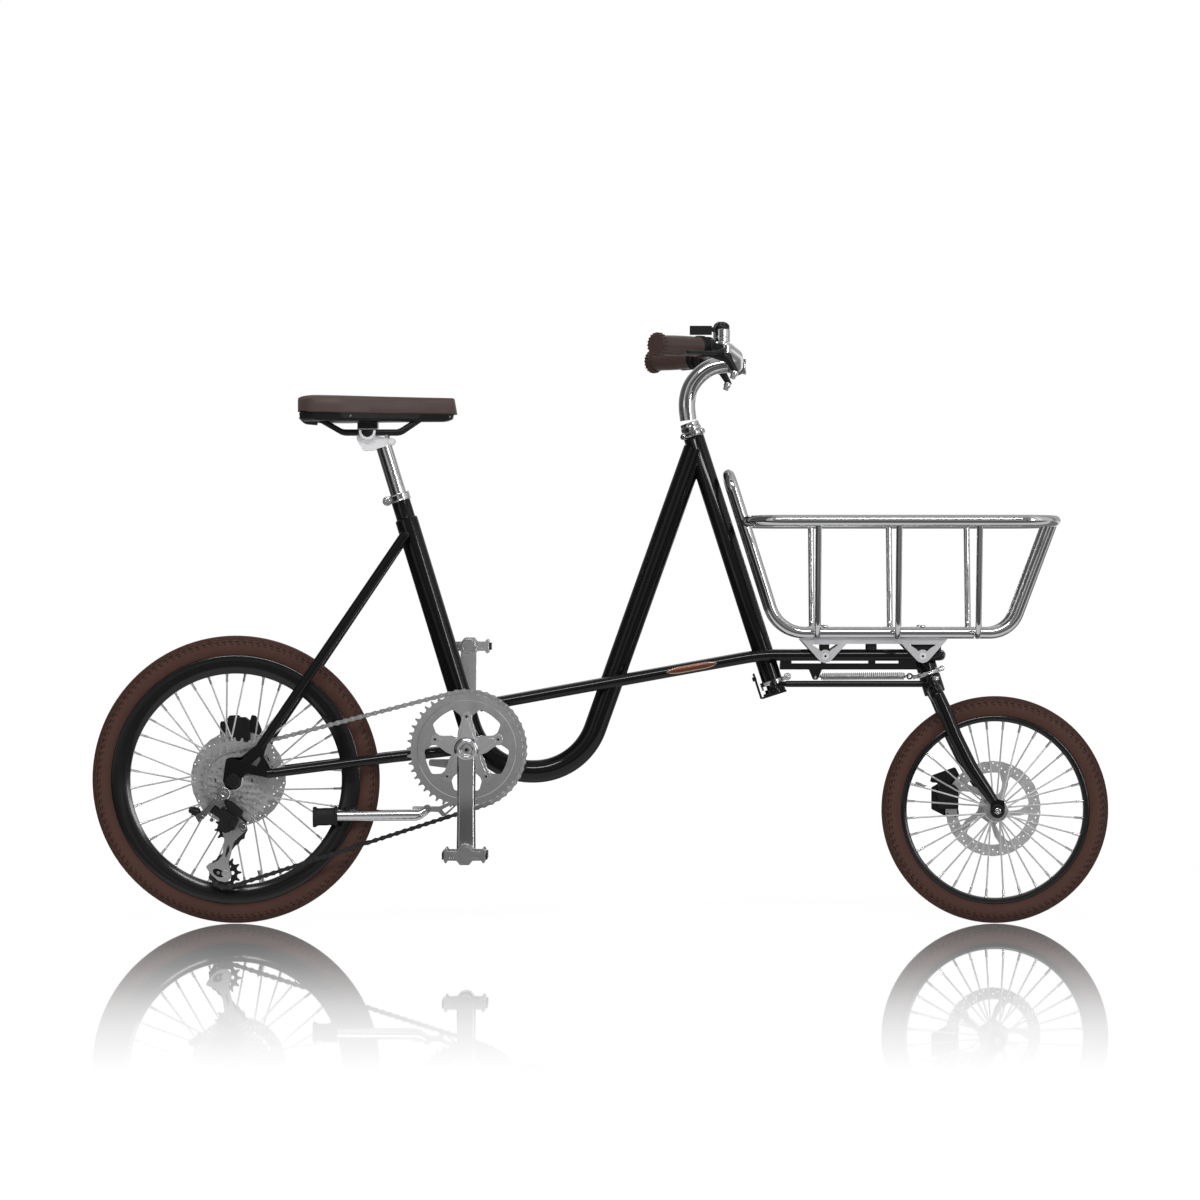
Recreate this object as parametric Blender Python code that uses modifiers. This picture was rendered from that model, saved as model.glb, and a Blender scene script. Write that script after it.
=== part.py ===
"""A cargo bicycle: a bent main tube, a long head tube, a small front wheel steered
through a link rod, and a wire basket held by the frame in front of the rider.

Metres. X points forward, Y to the rider's left, Z up. The origin is on the ground,
below the middle of the bike. The drive side is the rider's right, at -Y.
"""

import math

import bmesh
import bpy
from mathutils import Matrix, Vector

# Wheels
REAR_AXLE = (-0.60825, 0.2400)
REAR_RADIUS = 0.2400
FRONT_AXLE = (0.65875, 0.1895)
FRONT_RADIUS = 0.1895
TYRE_HALF_WIDTH = 0.0185
TYRE_HEIGHT = 0.0345
RIM_DEPTH_REAR = 0.0290
RIM_DEPTH_FRONT = 0.0150
SHALLOW_RIM = 0.0200
SPOKES = 28
SPOKE_RADIUS = 0.0012
WHEEL_STEPS = 28
ROTOR_RADIUS = 0.0800
REAR_ROTOR_Y = 0.0520
FRONT_ROTOR_Y = 0.0370
REAR_DROPOUT_Y = 0.0700
FRONT_DROPOUT_Y = 0.0530
AXLE_RADIUS = 0.0050

# Main tubes, as (X, Z) points of the mid-plane
SEAT_TILT = math.radians(17.04)
SEAT_MARK = (-0.2930, 0.5728)
TUBE_RADIUS = 0.01905
SLEEVE_RADIUS = 0.0159
POST_RADIUS = 0.0136
GAP = 0.0003
BEND_RADIUS = 0.1100
BEND_REAR = (-0.1950, 0.2532)
BEND_FRONT = (-0.0343, 0.2532)
HEAD_TILT = math.radians(17.85)
HEAD_RADIUS = 0.01725
HEAD_FOOT = (0.2935, 0.3841)
HEAD_JOINT = (0.1602, 0.7981)
HEAD_TOP_H = 0.4492
STEERER_RADIUS = 0.0127
FORK_MARK = (0.5480, 0.4177)
BOTTOM_BRACKET = (-0.2220, 0.2910)
SHELL_RADIUS = 0.0205
SHELL_HALF = 0.0340

# Cargo rails and the basket
RAIL_RADIUS = 0.0095
RAIL_Y = 0.0289
RAIL_REAR = (-0.2010, 0.3629)
RAIL_BEND = (0.2666, 0.4476)
RAIL_Z = 0.4476
BAR_Z = 0.4285
RIM_TUBE = 0.0095
RIM_Z = 0.6700
RIM_HALF = 0.1450
RIM_FRONT = 0.7511
RIM_REAR = 0.2563
RIM_CORNER = 0.0600
CRADLE_RADIUS = 0.0100
CRADLE_Y = 0.0420
CRADLE_Z = 0.4850
CRADLE_TOP = (0.2125, 0.7540)
HOOP_RADIUS = 0.0052
HOOP_STATIONS = (0.3580, 0.4904, 0.6226)
HOOP_FLOOR_HALF = 0.1070
HOOP_FLOOR_Z = 0.4800

# Drivetrain
PITCH = 0.0127
CHAIN_Y = -0.0450
CHAIN_PITCHES = 114
CHAIN_HALF_WIDTH = 0.0035
CHAIN_SLOT_HALF = 0.0016
CHAIN_HALF_HEIGHT = 0.0040
CHAIN_WAIST = 0.0027
CHAIN_SLOT_HEIGHT = 0.0034
ROLLER_HALF = 0.0028
RING_TEETH = 48
DRIVEN_TEETH = 24
PULLEY_TEETH = 12
SPROCKETS = (34, 28, 24, 20, 16, 13, 11)
LEAST_TOOTHED = 20
FIRST_SPROCKET_Y = -0.0350
SPROCKET_STEP = 0.0050
SPROCKET_THICKNESS = 0.0018
UPPER_PULLEY = (-0.6140, 0.1610)
PULLEY_SPACING = 0.0754
PULLEY_PIN = 0.0040
CRANK_LENGTH = 0.1700
RING_BOLT_REACH = 0.0550
RING_BOLT_RADIUS = 0.0036
RING_WINDOW_RADIUS = 0.0695
RING_BOLTS = 5
RIGHT_ARM_HALF = 0.0160
LEFT_ARM_HALF = 0.0135
ARM_THICKNESS = 0.0120
SPIDER_Y = -0.0483
SPIDER_ROOT = 0.0270
SPINDLE_RADIUS = 0.0100
ARM_CHAMFER = 0.0025
PEDAL_Y = 0.1330

# Cockpit and saddle
BAR_RADIUS = 0.0127
BAR_CLAMP = (0.2300, 0.9285)
BAR_BEND = Vector((0.1860, 0.1800, 0.9520))
BAR_TIP = Vector((0.0920, 0.2750, 0.9510))
BAR_WALL_RADIUS = 0.0109
GRIP_START = 0.0275
GRIP_LENGTH = 0.1110
CLAMP_START = 0.0175
CAP_RADIUS = 0.0187
CAP_NOTCHES = 18
CAP_THICKNESS = 0.0080
CAP_BORE = 0.0135
SPRING_LUG = (0.3591, 0.4113)
SPRING_EYE = (0.5168, 0.4125)
SPRING_CURLS = 14
SPRING_RADIUS = 0.0056
SPRING_WIRE = 0.0009

BLACK = (0.007, 0.007, 0.008)
SOFT_BLACK = (0.020, 0.020, 0.021)
BRIGHT = (0.80, 0.80, 0.81)
STEEL = (0.55, 0.55, 0.56)
BRACKET_GREY = (0.40, 0.40, 0.41)
TYRE_BROWN = (0.085, 0.034, 0.023)
GRIP_BROWN = (0.110, 0.050, 0.032)
SADDLE_BROWN = (0.062, 0.030, 0.023)


for thing in list(bpy.data.objects):
    bpy.data.objects.remove(thing)
PARTS = bpy.data.collections.new("cargo_bicycle")
CUTTERS = bpy.data.collections.new("cutters")
bpy.context.scene.collection.children.link(PARTS)
bpy.context.scene.collection.children.link(CUTTERS)


# Materials


def material(name, colour, metallic, roughness):
    made = bpy.data.materials.new(name)
    made.use_nodes = True
    shader = made.node_tree.nodes["Principled BSDF"]
    shader.inputs["Base Color"].default_value = (*colour, 1.0)
    shader.inputs["Metallic"].default_value = metallic
    shader.inputs["Roughness"].default_value = roughness
    return made


LOOKS = {
    "paint": (BLACK, 0.0, 0.15),
    "plastic": (SOFT_BLACK, 0.0, 0.45),
    "chrome": (BRIGHT, 1.0, 0.08),
    "alloy": (BRIGHT, 1.0, 0.25),
    "steel": (STEEL, 1.0, 0.32),
    "bracket": (BRACKET_GREY, 0.6, 0.40),
    "tyre": (TYRE_BROWN, 0.0, 0.70),
    "grip": (GRIP_BROWN, 0.0, 0.50),
    "leather": (SADDLE_BROWN, 0.0, 0.45),
}


# Shape helpers

FLAT_ANGLE = math.radians(0.2)


def mesh_object(name, mesh):
    made = bpy.data.objects.new(name, mesh)
    CUTTERS.objects.link(made)
    return made


def cleaned(mesh):
    work = bmesh.new()
    work.from_mesh(mesh)
    bmesh.ops.remove_doubles(work, verts=work.verts, dist=0.00001)
    bmesh.ops.dissolve_limit(work, angle_limit=FLAT_ANGLE, verts=work.verts, edges=work.edges)
    bmesh.ops.recalc_face_normals(work, faces=work.faces)
    work.to_mesh(mesh)
    work.free()
    return mesh


def baked(thing):
    """The evaluated shape of an object, as a welded mesh object; the first object is removed."""
    graph = bpy.context.evaluated_depsgraph_get()
    mesh = bpy.data.meshes.new_from_object(thing.evaluated_get(graph))
    mesh.transform(thing.matrix_world)
    bpy.data.objects.remove(thing)
    return mesh_object("shape", cleaned(mesh))


def combined(base, others, operation):
    for other in others:
        step = base.modifiers.new(operation, "BOOLEAN")
        step.operation = operation
        step.solver = "EXACT"
        step.object = other
    result = baked(base)
    for other in others:
        bpy.data.objects.remove(other)
    return result


def union(base, *others):
    return combined(base, others, "UNION")


def cut(base, *others):
    return combined(base, others, "DIFFERENCE")


def together(shapes):
    """Shapes that don't touch, as one operand for a Boolean."""
    work = bmesh.new()
    for shape in shapes:
        work.from_mesh(shape.data)
        bpy.data.objects.remove(shape)
    mesh = bpy.data.meshes.new("shapes")
    work.to_mesh(mesh)
    work.free()
    return mesh_object("shapes", mesh)


def turn_to(direction):
    return Vector(direction).to_track_quat("Z", "Y").to_matrix().to_4x4()


def cylinder(radius, start, end, sides=16, end_radius=None):
    start = Vector(start)
    end = Vector(end)
    work = bmesh.new()
    bmesh.ops.create_cone(
        work,
        cap_ends=True,
        segments=sides,
        radius1=radius,
        radius2=radius if end_radius is None else end_radius,
        depth=(end - start).length,
        matrix=Matrix.Translation((start + end) / 2) @ turn_to(end - start),
    )
    mesh = bpy.data.meshes.new("cylinder")
    work.to_mesh(mesh)
    work.free()
    return mesh_object("cylinder", mesh)


def box(size, centre, tilt=0.0):
    """A box turned by tilt about Y."""
    work = bmesh.new()
    place = Matrix.Translation(centre) @ Matrix.Rotation(tilt, 4, "Y") @ Matrix.Diagonal((*size, 1.0))
    bmesh.ops.create_cube(work, size=1.0, matrix=place)
    mesh = bpy.data.meshes.new("box")
    work.to_mesh(mesh)
    work.free()
    return mesh_object("box", mesh)


def tube(points, radius, resolution=2, radii=None, closed=False):
    curve = bpy.data.curves.new("tube", "CURVE")
    curve.dimensions = "3D"
    curve.bevel_depth = radius
    curve.bevel_resolution = resolution
    curve.use_fill_caps = not closed
    line = curve.splines.new("POLY")
    line.points.add(len(points) - 1)
    line.use_cyclic_u = closed
    for number, point in enumerate(points):
        line.points[number].co = (*point, 1.0)
        if radii:
            line.points[number].radius = radii[number] / radius
    return baked(mesh_object("tube", curve))


def plate(outline, thickness, y, holes=()):
    """A flat piece across Y: (X, Z) outline and holes."""
    curve = bpy.data.curves.new("plate", "CURVE")
    curve.dimensions = "2D"
    curve.fill_mode = "BOTH"
    curve.extrude = thickness / 2
    for loop in (outline, *holes):
        line = curve.splines.new("POLY")
        line.points.add(len(loop) - 1)
        line.use_cyclic_u = True
        for number, (x, z) in enumerate(loop):
            line.points[number].co = (x, z, 0.0, 1.0)
    made = mesh_object("plate", curve)
    made.matrix_world = Matrix.Translation((0, y, 0)) @ Matrix.Rotation(math.pi / 2, 4, "X")
    bpy.context.view_layer.update()
    return baked(made)


def turned(profile, centre, direction, steps=16, ring=False):
    """A profile of (radius, height) points turned about a line. A ring is a closed profile."""
    work = bmesh.new()
    points = [work.verts.new((radius, 0, height)) for radius, height in profile]
    pairs = list(zip(points, points[1:]))
    if ring:
        pairs.append((points[-1], points[0]))
    for first, second in pairs:
        work.edges.new((first, second))
    mesh = bpy.data.meshes.new("turned")
    work.to_mesh(mesh)
    work.free()
    made = mesh_object("turned", mesh)
    screw = made.modifiers.new("turn", "SCREW")
    screw.steps = steps
    screw.render_steps = steps
    screw.use_merge_vertices = True
    screw.merge_threshold = 0.00001
    made.matrix_world = Matrix.Translation(centre) @ turn_to(direction)
    bpy.context.view_layer.update()
    return baked(made)


def bore_radius(radius, sides):
    """The corner radius of a faceted bore whose flats clear a shaft of the given radius."""
    return (radius + GAP) / math.cos(math.pi / sides)


def circle(centre, radius, count, phase=0.0):
    return [
        (
            centre[0] + radius * math.cos(phase + math.tau * number / count),
            centre[1] + radius * math.sin(phase + math.tau * number / count),
        )
        for number in range(count)
    ]


def polar(centre, angle, reach, across=0.0):
    """The (X, Z) point at a reach along the angle from the centre, and so far across it."""
    return (
        centre[0] + reach * math.cos(angle) - across * math.sin(angle),
        centre[1] + reach * math.sin(angle) + across * math.cos(angle),
    )


def rounded(corners, radii, steps=5, closed=False):
    """A path with each inner corner replaced by an arc of the given radius."""
    points = [Vector(corner) for corner in corners]
    count = len(points)
    path = []
    for number, corner in enumerate(points):
        if not closed and number in (0, count - 1):
            path.append(corner)
            continue
        before = (points[number - 1] - corner).normalized()
        after = (points[(number + 1) % count] - corner).normalized()
        half = before.angle(after) / 2
        radius = radii[number] if isinstance(radii, (list, tuple)) else radii
        reach = radius / math.tan(half)
        centre = corner + (before + after).normalized() * radius / math.sin(half)
        start = corner + before * reach - centre
        end = corner + after * reach - centre
        sweep = start.angle(end)
        for step in range(steps + 1):
            part = step / steps
            weight = math.sin((1 - part) * sweep), math.sin(part * sweep)
            path.append(centre + (start * weight[0] + end * weight[1]) / math.sin(sweep))
    return path


def in_plane(points, y=0.0):
    return [Vector((x, y, z)) for x, z in points]


def pivot(name, place):
    made = bpy.data.objects.new(name, None)
    made.location = place
    PARTS.objects.link(made)
    return made


def part(name, shape, look, parent=None):
    """Names a finished shape, gives it its own material and hangs it from its joint."""
    shape.name = name
    shape.data.name = name
    shape.data.materials.clear()
    shape.data.materials.append(material(name, *LOOKS[look]))
    shape.data.shade_smooth()
    shape.data.set_sharp_from_angle(angle=math.radians(35))
    CUTTERS.objects.unlink(shape)
    PARTS.objects.link(shape)
    if parent is not None:
        shape.parent = parent
        shape.matrix_parent_inverse = Matrix.Translation(parent.location).inverted()
    return shape


# Places on the slanted tubes

SEAT_UP = Vector((-math.sin(SEAT_TILT), 0, math.cos(SEAT_TILT)))
HEAD_UP = Vector((-math.sin(HEAD_TILT), 0, math.cos(HEAD_TILT)))


def on_seat(height, y=0.0):
    return Vector((SEAT_MARK[0], y, SEAT_MARK[1])) + SEAT_UP * height


def on_head(height, y=0.0):
    return Vector((HEAD_FOOT[0], y, HEAD_FOOT[1])) + HEAD_UP * height


def on_fork(height, y=0.0):
    return Vector((FORK_MARK[0], y, FORK_MARK[1])) + HEAD_UP * height


SEAT_BASE_H = -0.2505
SEAT_STEP_H = 0.1070
SEAT_TOP_H = 0.1500
POST_FOOT_H = -0.0900


# Main frame tubes


def seat_tube():
    shape = union(
        cylinder(TUBE_RADIUS, on_seat(SEAT_BASE_H), on_seat(SEAT_STEP_H), 12),
        cylinder(SLEEVE_RADIUS, on_seat(SEAT_STEP_H - 0.01), on_seat(SEAT_TOP_H), 12),
    )
    bore = cylinder(POST_RADIUS + GAP, on_seat(POST_FOOT_H - 0.0750), on_seat(SEAT_TOP_H + 0.01), 12)
    return part("seat_tube", cut(shape, bore), "paint")


def down_tube():
    foot = on_seat(SEAT_BASE_H - GAP)
    corners = [foot, *in_plane((BEND_REAR, BEND_FRONT, HEAD_JOINT))]
    shape = tube(rounded(corners, BEND_RADIUS - 0.001, 5), TUBE_RADIUS, 3)
    head = cylinder(bore_radius(HEAD_RADIUS, 16), on_head(0.30), on_head(0.50), 16)
    x, z = BOTTOM_BRACKET
    shell = cylinder(SHELL_RADIUS + GAP, (x, -0.05, z), (x, 0.05, z), 20)
    forward = Vector((HEAD_UP.z, 0, -HEAD_UP.x))
    ahead = box((0.0600, 0.0600, 0.2000), on_head(0.42) + forward * 0.0300, -HEAD_TILT)
    return part("down_tube", cut(shape, head, shell, ahead), "paint")


RING_H = 0.0128


def head_tube():
    shape = turned(
        [
            (HEAD_RADIUS, RING_H + 0.0040),
            (HEAD_RADIUS, HEAD_TOP_H),
            (bore_radius(STEERER_RADIUS, 14), HEAD_TOP_H),
            (bore_radius(STEERER_RADIUS, 14), RING_H + 0.0040),
        ],
        on_head(0),
        HEAD_UP,
        14,
        ring=True,
    )
    return part("head_tube", shape, "paint")


def bottom_bracket_shell():
    x, z = BOTTOM_BRACKET
    shape = cylinder(SHELL_RADIUS, (x, -SHELL_HALF, z), (x, SHELL_HALF, z), 16)
    hanger = [
        (-0.2340, 0.2780), (-0.2340, 0.2130), (-0.2530, 0.2020), (-0.2680, 0.1955), (-0.3135, 0.1955),
        (-0.3135, 0.1875), (-0.2700, 0.1860), (-0.2640, 0.1790), (-0.2590, 0.1790), (-0.2380, 0.1985),
        (-0.2120, 0.2080), (-0.2120, 0.2760),
    ]
    window = [(-0.2640, 0.1900), (-0.2500, 0.1975), (-0.2445, 0.1960), (-0.2590, 0.1840)]
    mount = plate(hanger, 0.0080, -0.0140, [window])
    bridge = box((0.0560, 0.0240, 0.0120), (-0.2580, 0, 0.2680))
    tab = cylinder(0.0090, (-0.2880, -0.0180, 0.1920), (-0.2880, 0.0050, 0.1920), 12)
    bore = cylinder(bore_radius(SPINDLE_RADIUS, 10), (x, -0.05, z), (x, 0.05, z), 10)
    return part("bottom_bracket_shell", cut(union(shape, mount, bridge, tab), bore), "paint")


def cargo_rails():
    rear = (RAIL_REAR[0], -RAIL_Y, RAIL_REAR[1])
    bend = (RAIL_BEND[0], -RAIL_Y, RAIL_BEND[1])
    front = on_fork((RAIL_Z - FORK_MARK[1]) / HEAD_UP.z).x
    right = rounded([rear, bend, (front, -RAIL_Y, RAIL_Z)], 0.20, 2)
    turn = [
        Vector((front + RAIL_Y * math.sin(angle), -RAIL_Y * math.cos(angle), RAIL_Z))
        for angle in (math.pi * number / 8 for number in range(1, 8))
    ]
    left = [Vector((point.x, -point.y, point.z)) for point in reversed(right)]
    return part("cargo_rails", tube(right + turn + left, RAIL_RADIUS, 2), "paint")


def front_head_tube():
    profile = [(0.0, 0.0510), (0.0090, 0.0510), (HEAD_RADIUS, 0.0470), (HEAD_RADIUS, 0.0045), (0.0, 0.0045)]
    shape = turned(profile, on_fork(0), HEAD_UP, 12)
    middle = on_fork((RAIL_Z - FORK_MARK[1]) / HEAD_UP.z)
    weld = box((0.0120, 2 * (RAIL_Y - RAIL_RADIUS) - 0.0008, 0.0060), middle - Vector((0.0070, 0, 0)))
    rear_x = on_head((BAR_Z - HEAD_FOOT[1]) / HEAD_UP.z).x + (HEAD_RADIUS + 0.0020) / HEAD_UP.z
    front_x = on_fork((BAR_Z - FORK_MARK[1]) / HEAD_UP.z).x - 0.0140
    bar = box((front_x - rear_x, 0.0160, 0.0105), ((front_x + rear_x) / 2, 0, BAR_Z))
    x, z = SPRING_LUG
    lug = plate(
        [(x - 0.0102, BAR_Z), (x - 0.0030, z - 0.0030), (x, z - 0.0055), (x + 0.0045, z - 0.0030),
         (x + 0.0102, BAR_Z)],
        0.0050,
        0,
    )
    bolt = cylinder(0.0026, (x, -0.0060, z), (x, 0.0060, z), 6)
    bore = cylinder(bore_radius(STEERER_RADIUS, 12), on_fork(0), on_fork(0.0440), 12)
    return part("front_head_tube", cut(union(shape, weld, bar, lug, bolt), bore), "paint")


# Rear triangle

STAY_TOP = (-0.3254, 0.6482)
SEAT_STAY_END = (-0.5615, 0.2988)
CHAIN_STAY_END = (-0.5501, 0.2518)
CHAIN_STAY_MIDDLE = (-0.3578, 0.2762)
SEAT_STAY_RADIUS = 0.00795
CHAIN_STAY_RADIUS = 0.0088
DROPOUT_THICKNESS = 0.0050


def dropout(side):
    axle = REAR_AXLE
    outline = [
        (-0.6224, 0.2600),
        (-0.6195, 0.2760),
        (-0.6136, 0.2787),
        (-0.5949, 0.2795),
        (-0.5618, 0.3052),
        (-0.5502, 0.3010),
        (-0.5578, 0.2818),
        (-0.5464, 0.2616),
        (-0.5527, 0.2451),
        (-0.5857, 0.2527),
        (-0.5933, 0.2440),
    ]
    lower = circle(axle, 0.0155, 10)
    if side < 0:
        outline += lower[9:7:-1] + [(-0.6140, 0.2140), (-0.6220, 0.2110), (-0.6300, 0.2150), (-0.6310, 0.2230)]
    else:
        outline += lower[9:5:-1]
    outline.append((axle[0] - 0.0165, axle[1]))
    slot = [(-0.5790, 0.2670), (-0.5640, 0.2800), (-0.5620, 0.2760), (-0.5690, 0.2640)]
    hole = circle(axle, bore_radius(AXLE_RADIUS, 8), 8)
    return plate(outline, DROPOUT_THICKNESS, side * REAR_DROPOUT_Y, [slot, hole])


def seat_stay(name, side):
    top = Vector((STAY_TOP[0], side * (TUBE_RADIUS + SEAT_STAY_RADIUS + 0.0004), STAY_TOP[1]))
    foot = Vector((SEAT_STAY_END[0] - 0.0020, side * 0.0670, SEAT_STAY_END[1] - 0.0030))
    middle = foot + (top - foot) * 0.12
    middle.y = side * 0.0640
    shape = tube([foot, middle, top], SEAT_STAY_RADIUS, 2)
    plate_space = box((0.09, DROPOUT_THICKNESS + 0.0006, 0.09), (-0.5900, side * REAR_DROPOUT_Y, 0.2620))
    return part(name, cut(shape, plate_space), "paint")


def chain_stay(name, side):
    x, z = BOTTOM_BRACKET
    end = (CHAIN_STAY_END[0], side * 0.0660, CHAIN_STAY_END[1])
    middle = (CHAIN_STAY_MIDDLE[0], side * 0.0310, CHAIN_STAY_MIDDLE[1])
    front = (x - 0.0100, side * 0.0240, z - 0.0010)
    shape = tube(rounded([end, middle, front], 0.25, 3), CHAIN_STAY_RADIUS, 2)
    shell = cylinder(SHELL_RADIUS + GAP, (x, -0.05, z), (x, 0.05, z), 20)
    corners = [on_seat(-0.15), (BEND_REAR[0], 0, BEND_REAR[1]), (0, 0, BEND_REAR[1])]
    main = tube(rounded(corners, BEND_RADIUS, 6), TUBE_RADIUS + GAP, 3)
    return part(name, cut(union(shape, dropout(side)), shell, main), "paint")


def seat_clamp():
    low = 0.1376
    high = 0.1507
    inner = bore_radius(SLEEVE_RADIUS, 12)
    profile = [(0.0185, low), (0.0185, high), (inner, high), (inner, low)]
    ring = turned(profile, on_seat(0), SEAT_UP, 12, ring=True)
    middle = on_seat((low + high) / 2)
    back = middle - Vector((SEAT_UP.z, 0, -SEAT_UP.x)) * 0.0225
    ear = box((0.0130, 0.0130, high - low - 0.002), back, -SEAT_TILT)
    bolt = cylinder(0.0045, back + Vector((-0.001, -0.0110, 0)), back + Vector((-0.001, 0.0110, 0)), 10)
    return part("seat_clamp", union(ring, ear, bolt), "chrome")


def headset_upper():
    base = HEAD_TOP_H + GAP
    ring = turned(
        [
            (0.0185, base),
            (0.0205, base + 0.0020),
            (0.0205, base + 0.0075),
            (0.0180, base + 0.0100),
            (bore_radius(STEERER_RADIUS, 12), base + 0.0100),
            (bore_radius(STEERER_RADIUS, 12), base),
        ],
        on_head(0), HEAD_UP, 12, ring=True,
    )
    bolts = []
    for number in range(3):
        angle = math.radians(-90 + 50 * (number - 1))
        out = Vector((math.cos(angle) * HEAD_UP.z, math.sin(angle), -math.cos(angle) * HEAD_UP.x))
        centre = on_head(base + 0.0048)
        bolts.append(cylinder(0.0028, centre + out * 0.0190, centre + out * 0.0235, 5))
    return part("headset_upper", union(ring, together(bolts)), "chrome")


# Basket


def basket_rim():
    corners = [
        (RIM_REAR, -RIM_HALF, RIM_Z),
        (RIM_FRONT, -RIM_HALF, RIM_Z),
        (RIM_FRONT, RIM_HALF, RIM_Z),
        (RIM_REAR, RIM_HALF, RIM_Z),
    ]
    loop = rounded(corners, RIM_CORNER, 2, closed=True)
    return part("basket_rim", tube(loop, RIM_TUBE, 2, closed=True), "chrome")


def cradle_loop():
    front_top = Vector((RIM_FRONT, -CRADLE_Y, RIM_Z))
    front_foot = Vector((0.6815, -CRADLE_Y, CRADLE_Z))
    rear_foot = Vector((0.2965, -CRADLE_Y, CRADLE_Z))
    rear_top = Vector((CRADLE_TOP[0], -CRADLE_Y, CRADLE_TOP[1]))
    right = [front_top, front_foot, rear_foot, rear_top]
    left = [Vector((point.x, -point.y, point.z)) for point in reversed(right)]
    radii = [0, 0.050, 0.060, 0.028, 0.028, 0.060, 0.050, 0]
    return tube(rounded(right + left, radii, 2), CRADLE_RADIUS, 2)


def hoop(x):
    top = RIM_Z - RIM_TUBE + 0.0030
    corners = [
        (x, -RIM_HALF, top),
        (x, -HOOP_FLOOR_HALF - 0.0050, HOOP_FLOOR_Z),
        (x, HOOP_FLOOR_HALF + 0.0050, HOOP_FLOOR_Z),
        (x, RIM_HALF, top),
    ]
    return tube(rounded(corners, 0.030, 2), HOOP_RADIUS, 1)


def basket_frame():
    shape = union(cradle_loop(), together([hoop(x) for x in HOOP_STATIONS]))
    corners = [
        (RIM_REAR, -RIM_HALF, RIM_Z),
        (RIM_FRONT, -RIM_HALF, RIM_Z),
        (RIM_FRONT, RIM_HALF, RIM_Z),
        (RIM_REAR, RIM_HALF, RIM_Z),
    ]
    space = tube(rounded(corners, RIM_CORNER, 2, closed=True), RIM_TUBE + GAP, 2, closed=True)
    return part("basket_frame", cut(shape, space), "chrome")


BRACKET_TOP = 0.4746
BRACKET_X = (0.3280, 0.5760)
BRACKET_BOLTS = ((0.3737, 0.4460), (0.5357, 0.4460))


def basket_bracket():
    low = 0.4640
    outer = 0.0420
    sheet = 0.0028
    middle = (BRACKET_X[0] + BRACKET_X[1]) / 2
    top = box((BRACKET_X[1] - BRACKET_X[0] - 0.012, 2 * outer - sheet, sheet), (middle, 0, BRACKET_TOP - sheet))
    sides = []
    bolts = []
    windows = []
    for side in (-1, 1):
        outline = [(BRACKET_X[1] - 0.004, BRACKET_TOP), (BRACKET_X[0] + 0.004, BRACKET_TOP)]
        outline.append((BRACKET_X[0], low + 0.004))
        for (x, z), rise in zip(BRACKET_BOLTS, ((0.0014, 0.0), (0.0, 0.0014))):
            outline += [(x - 0.0310, low + rise[0]), (x - 0.0110, z - 0.0060)]
            outline += [(x - 0.0050, z - 0.0105), (x + 0.0050, z - 0.0105)]
            outline += [(x + 0.0110, z - 0.0060), (x + 0.0310, low + rise[1])]
        outline.append((BRACKET_X[1], low + 0.004))
        for x, z in BRACKET_BOLTS:
            window = [(x - 0.0150, low - 0.0008), (x - 0.0075, z + 0.0085), (x + 0.0075, z + 0.0085)]
            windows.append(plate(window + [(x + 0.0150, low - 0.0008)], 0.0060, side * outer))
            bolts.append(cylinder(0.0062, (x, side * (outer - 0.0032), z), (x, side * (outer + 0.0035), z), 8))
        sides.append(plate(outline, sheet, side * (outer - sheet / 2 + 0.0001)))
    shape = cut(union(top, together(sides), together(bolts)), together(windows))
    return part("basket_bracket", shape, "bracket")


# Centring spring


def steering_spring():
    """A helix drawn in to a straight end on each side, along the line from lug to eye."""
    start = Vector((SPRING_LUG[0] + 0.0060, 0, SPRING_LUG[1]))
    end = Vector((SPRING_EYE[0], 0, SPRING_EYE[1]))
    along = (end - start).normalized()
    up = Vector((-along.z, 0, along.x))
    side = Vector((0, 1, 0))
    tail = 0.0040
    ramp = 1.0
    per_curl = 8
    length = (end - start).length - 2 * tail
    count = SPRING_CURLS * per_curl
    points = [start, start + along * (2 * SPRING_WIRE)]
    for number in range(count + 1):
        turns = number / per_curl
        grow = min(1.0, turns / ramp, (SPRING_CURLS - turns) / ramp)
        if grow <= 0.0:
            continue
        angle = math.tau * turns
        out = up * math.cos(angle) + side * math.sin(angle)
        points.append(start + along * (tail + length * number / count) + out * SPRING_RADIUS * grow)
    points += [end - along * (2 * SPRING_WIRE), end]
    least = min(
        (points[first] - points[second]).length
        for first in range(len(points))
        for second in range(first + 6, min(first + 12, len(points)))
    )
    print("least gap of the spring to itself, mm:", round(1000 * (least - 2 * SPRING_WIRE), 2))
    return part("steering_spring", tube(points, SPRING_WIRE, 1), "chrome")


# Wheels


def tyre(name, axle, radius, parent):
    base = radius - TYRE_HEIGHT + 0.0003
    half = [(radius, 0.0), (radius - 0.0055, 0.0130), (radius - 0.0190, TYRE_HALF_WIDTH), (base, 0.0125)]
    profile = half + [(r, -y) for r, y in reversed(half[1:])]
    shape = turned(profile, (axle[0], 0, axle[1]), (0, 1, 0), WHEEL_STEPS, ring=True)
    return part(name, shape, "tyre", parent)


def rim(name, axle, radius, depth, parent):
    outer = radius - TYRE_HEIGHT
    inner = outer - depth
    half = [(outer, 0.0125), (outer - depth * 0.45, 0.0118), (inner, 0.0060)]
    if depth < SHALLOW_RIM:
        half.pop(1)
    profile = half + [(r, -y) for r, y in reversed(half)]
    shape = turned(profile, (axle[0], 0, axle[1]), (0, 1, 0), WHEEL_STEPS, ring=True)
    return part(name, shape, "plastic", parent)


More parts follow.
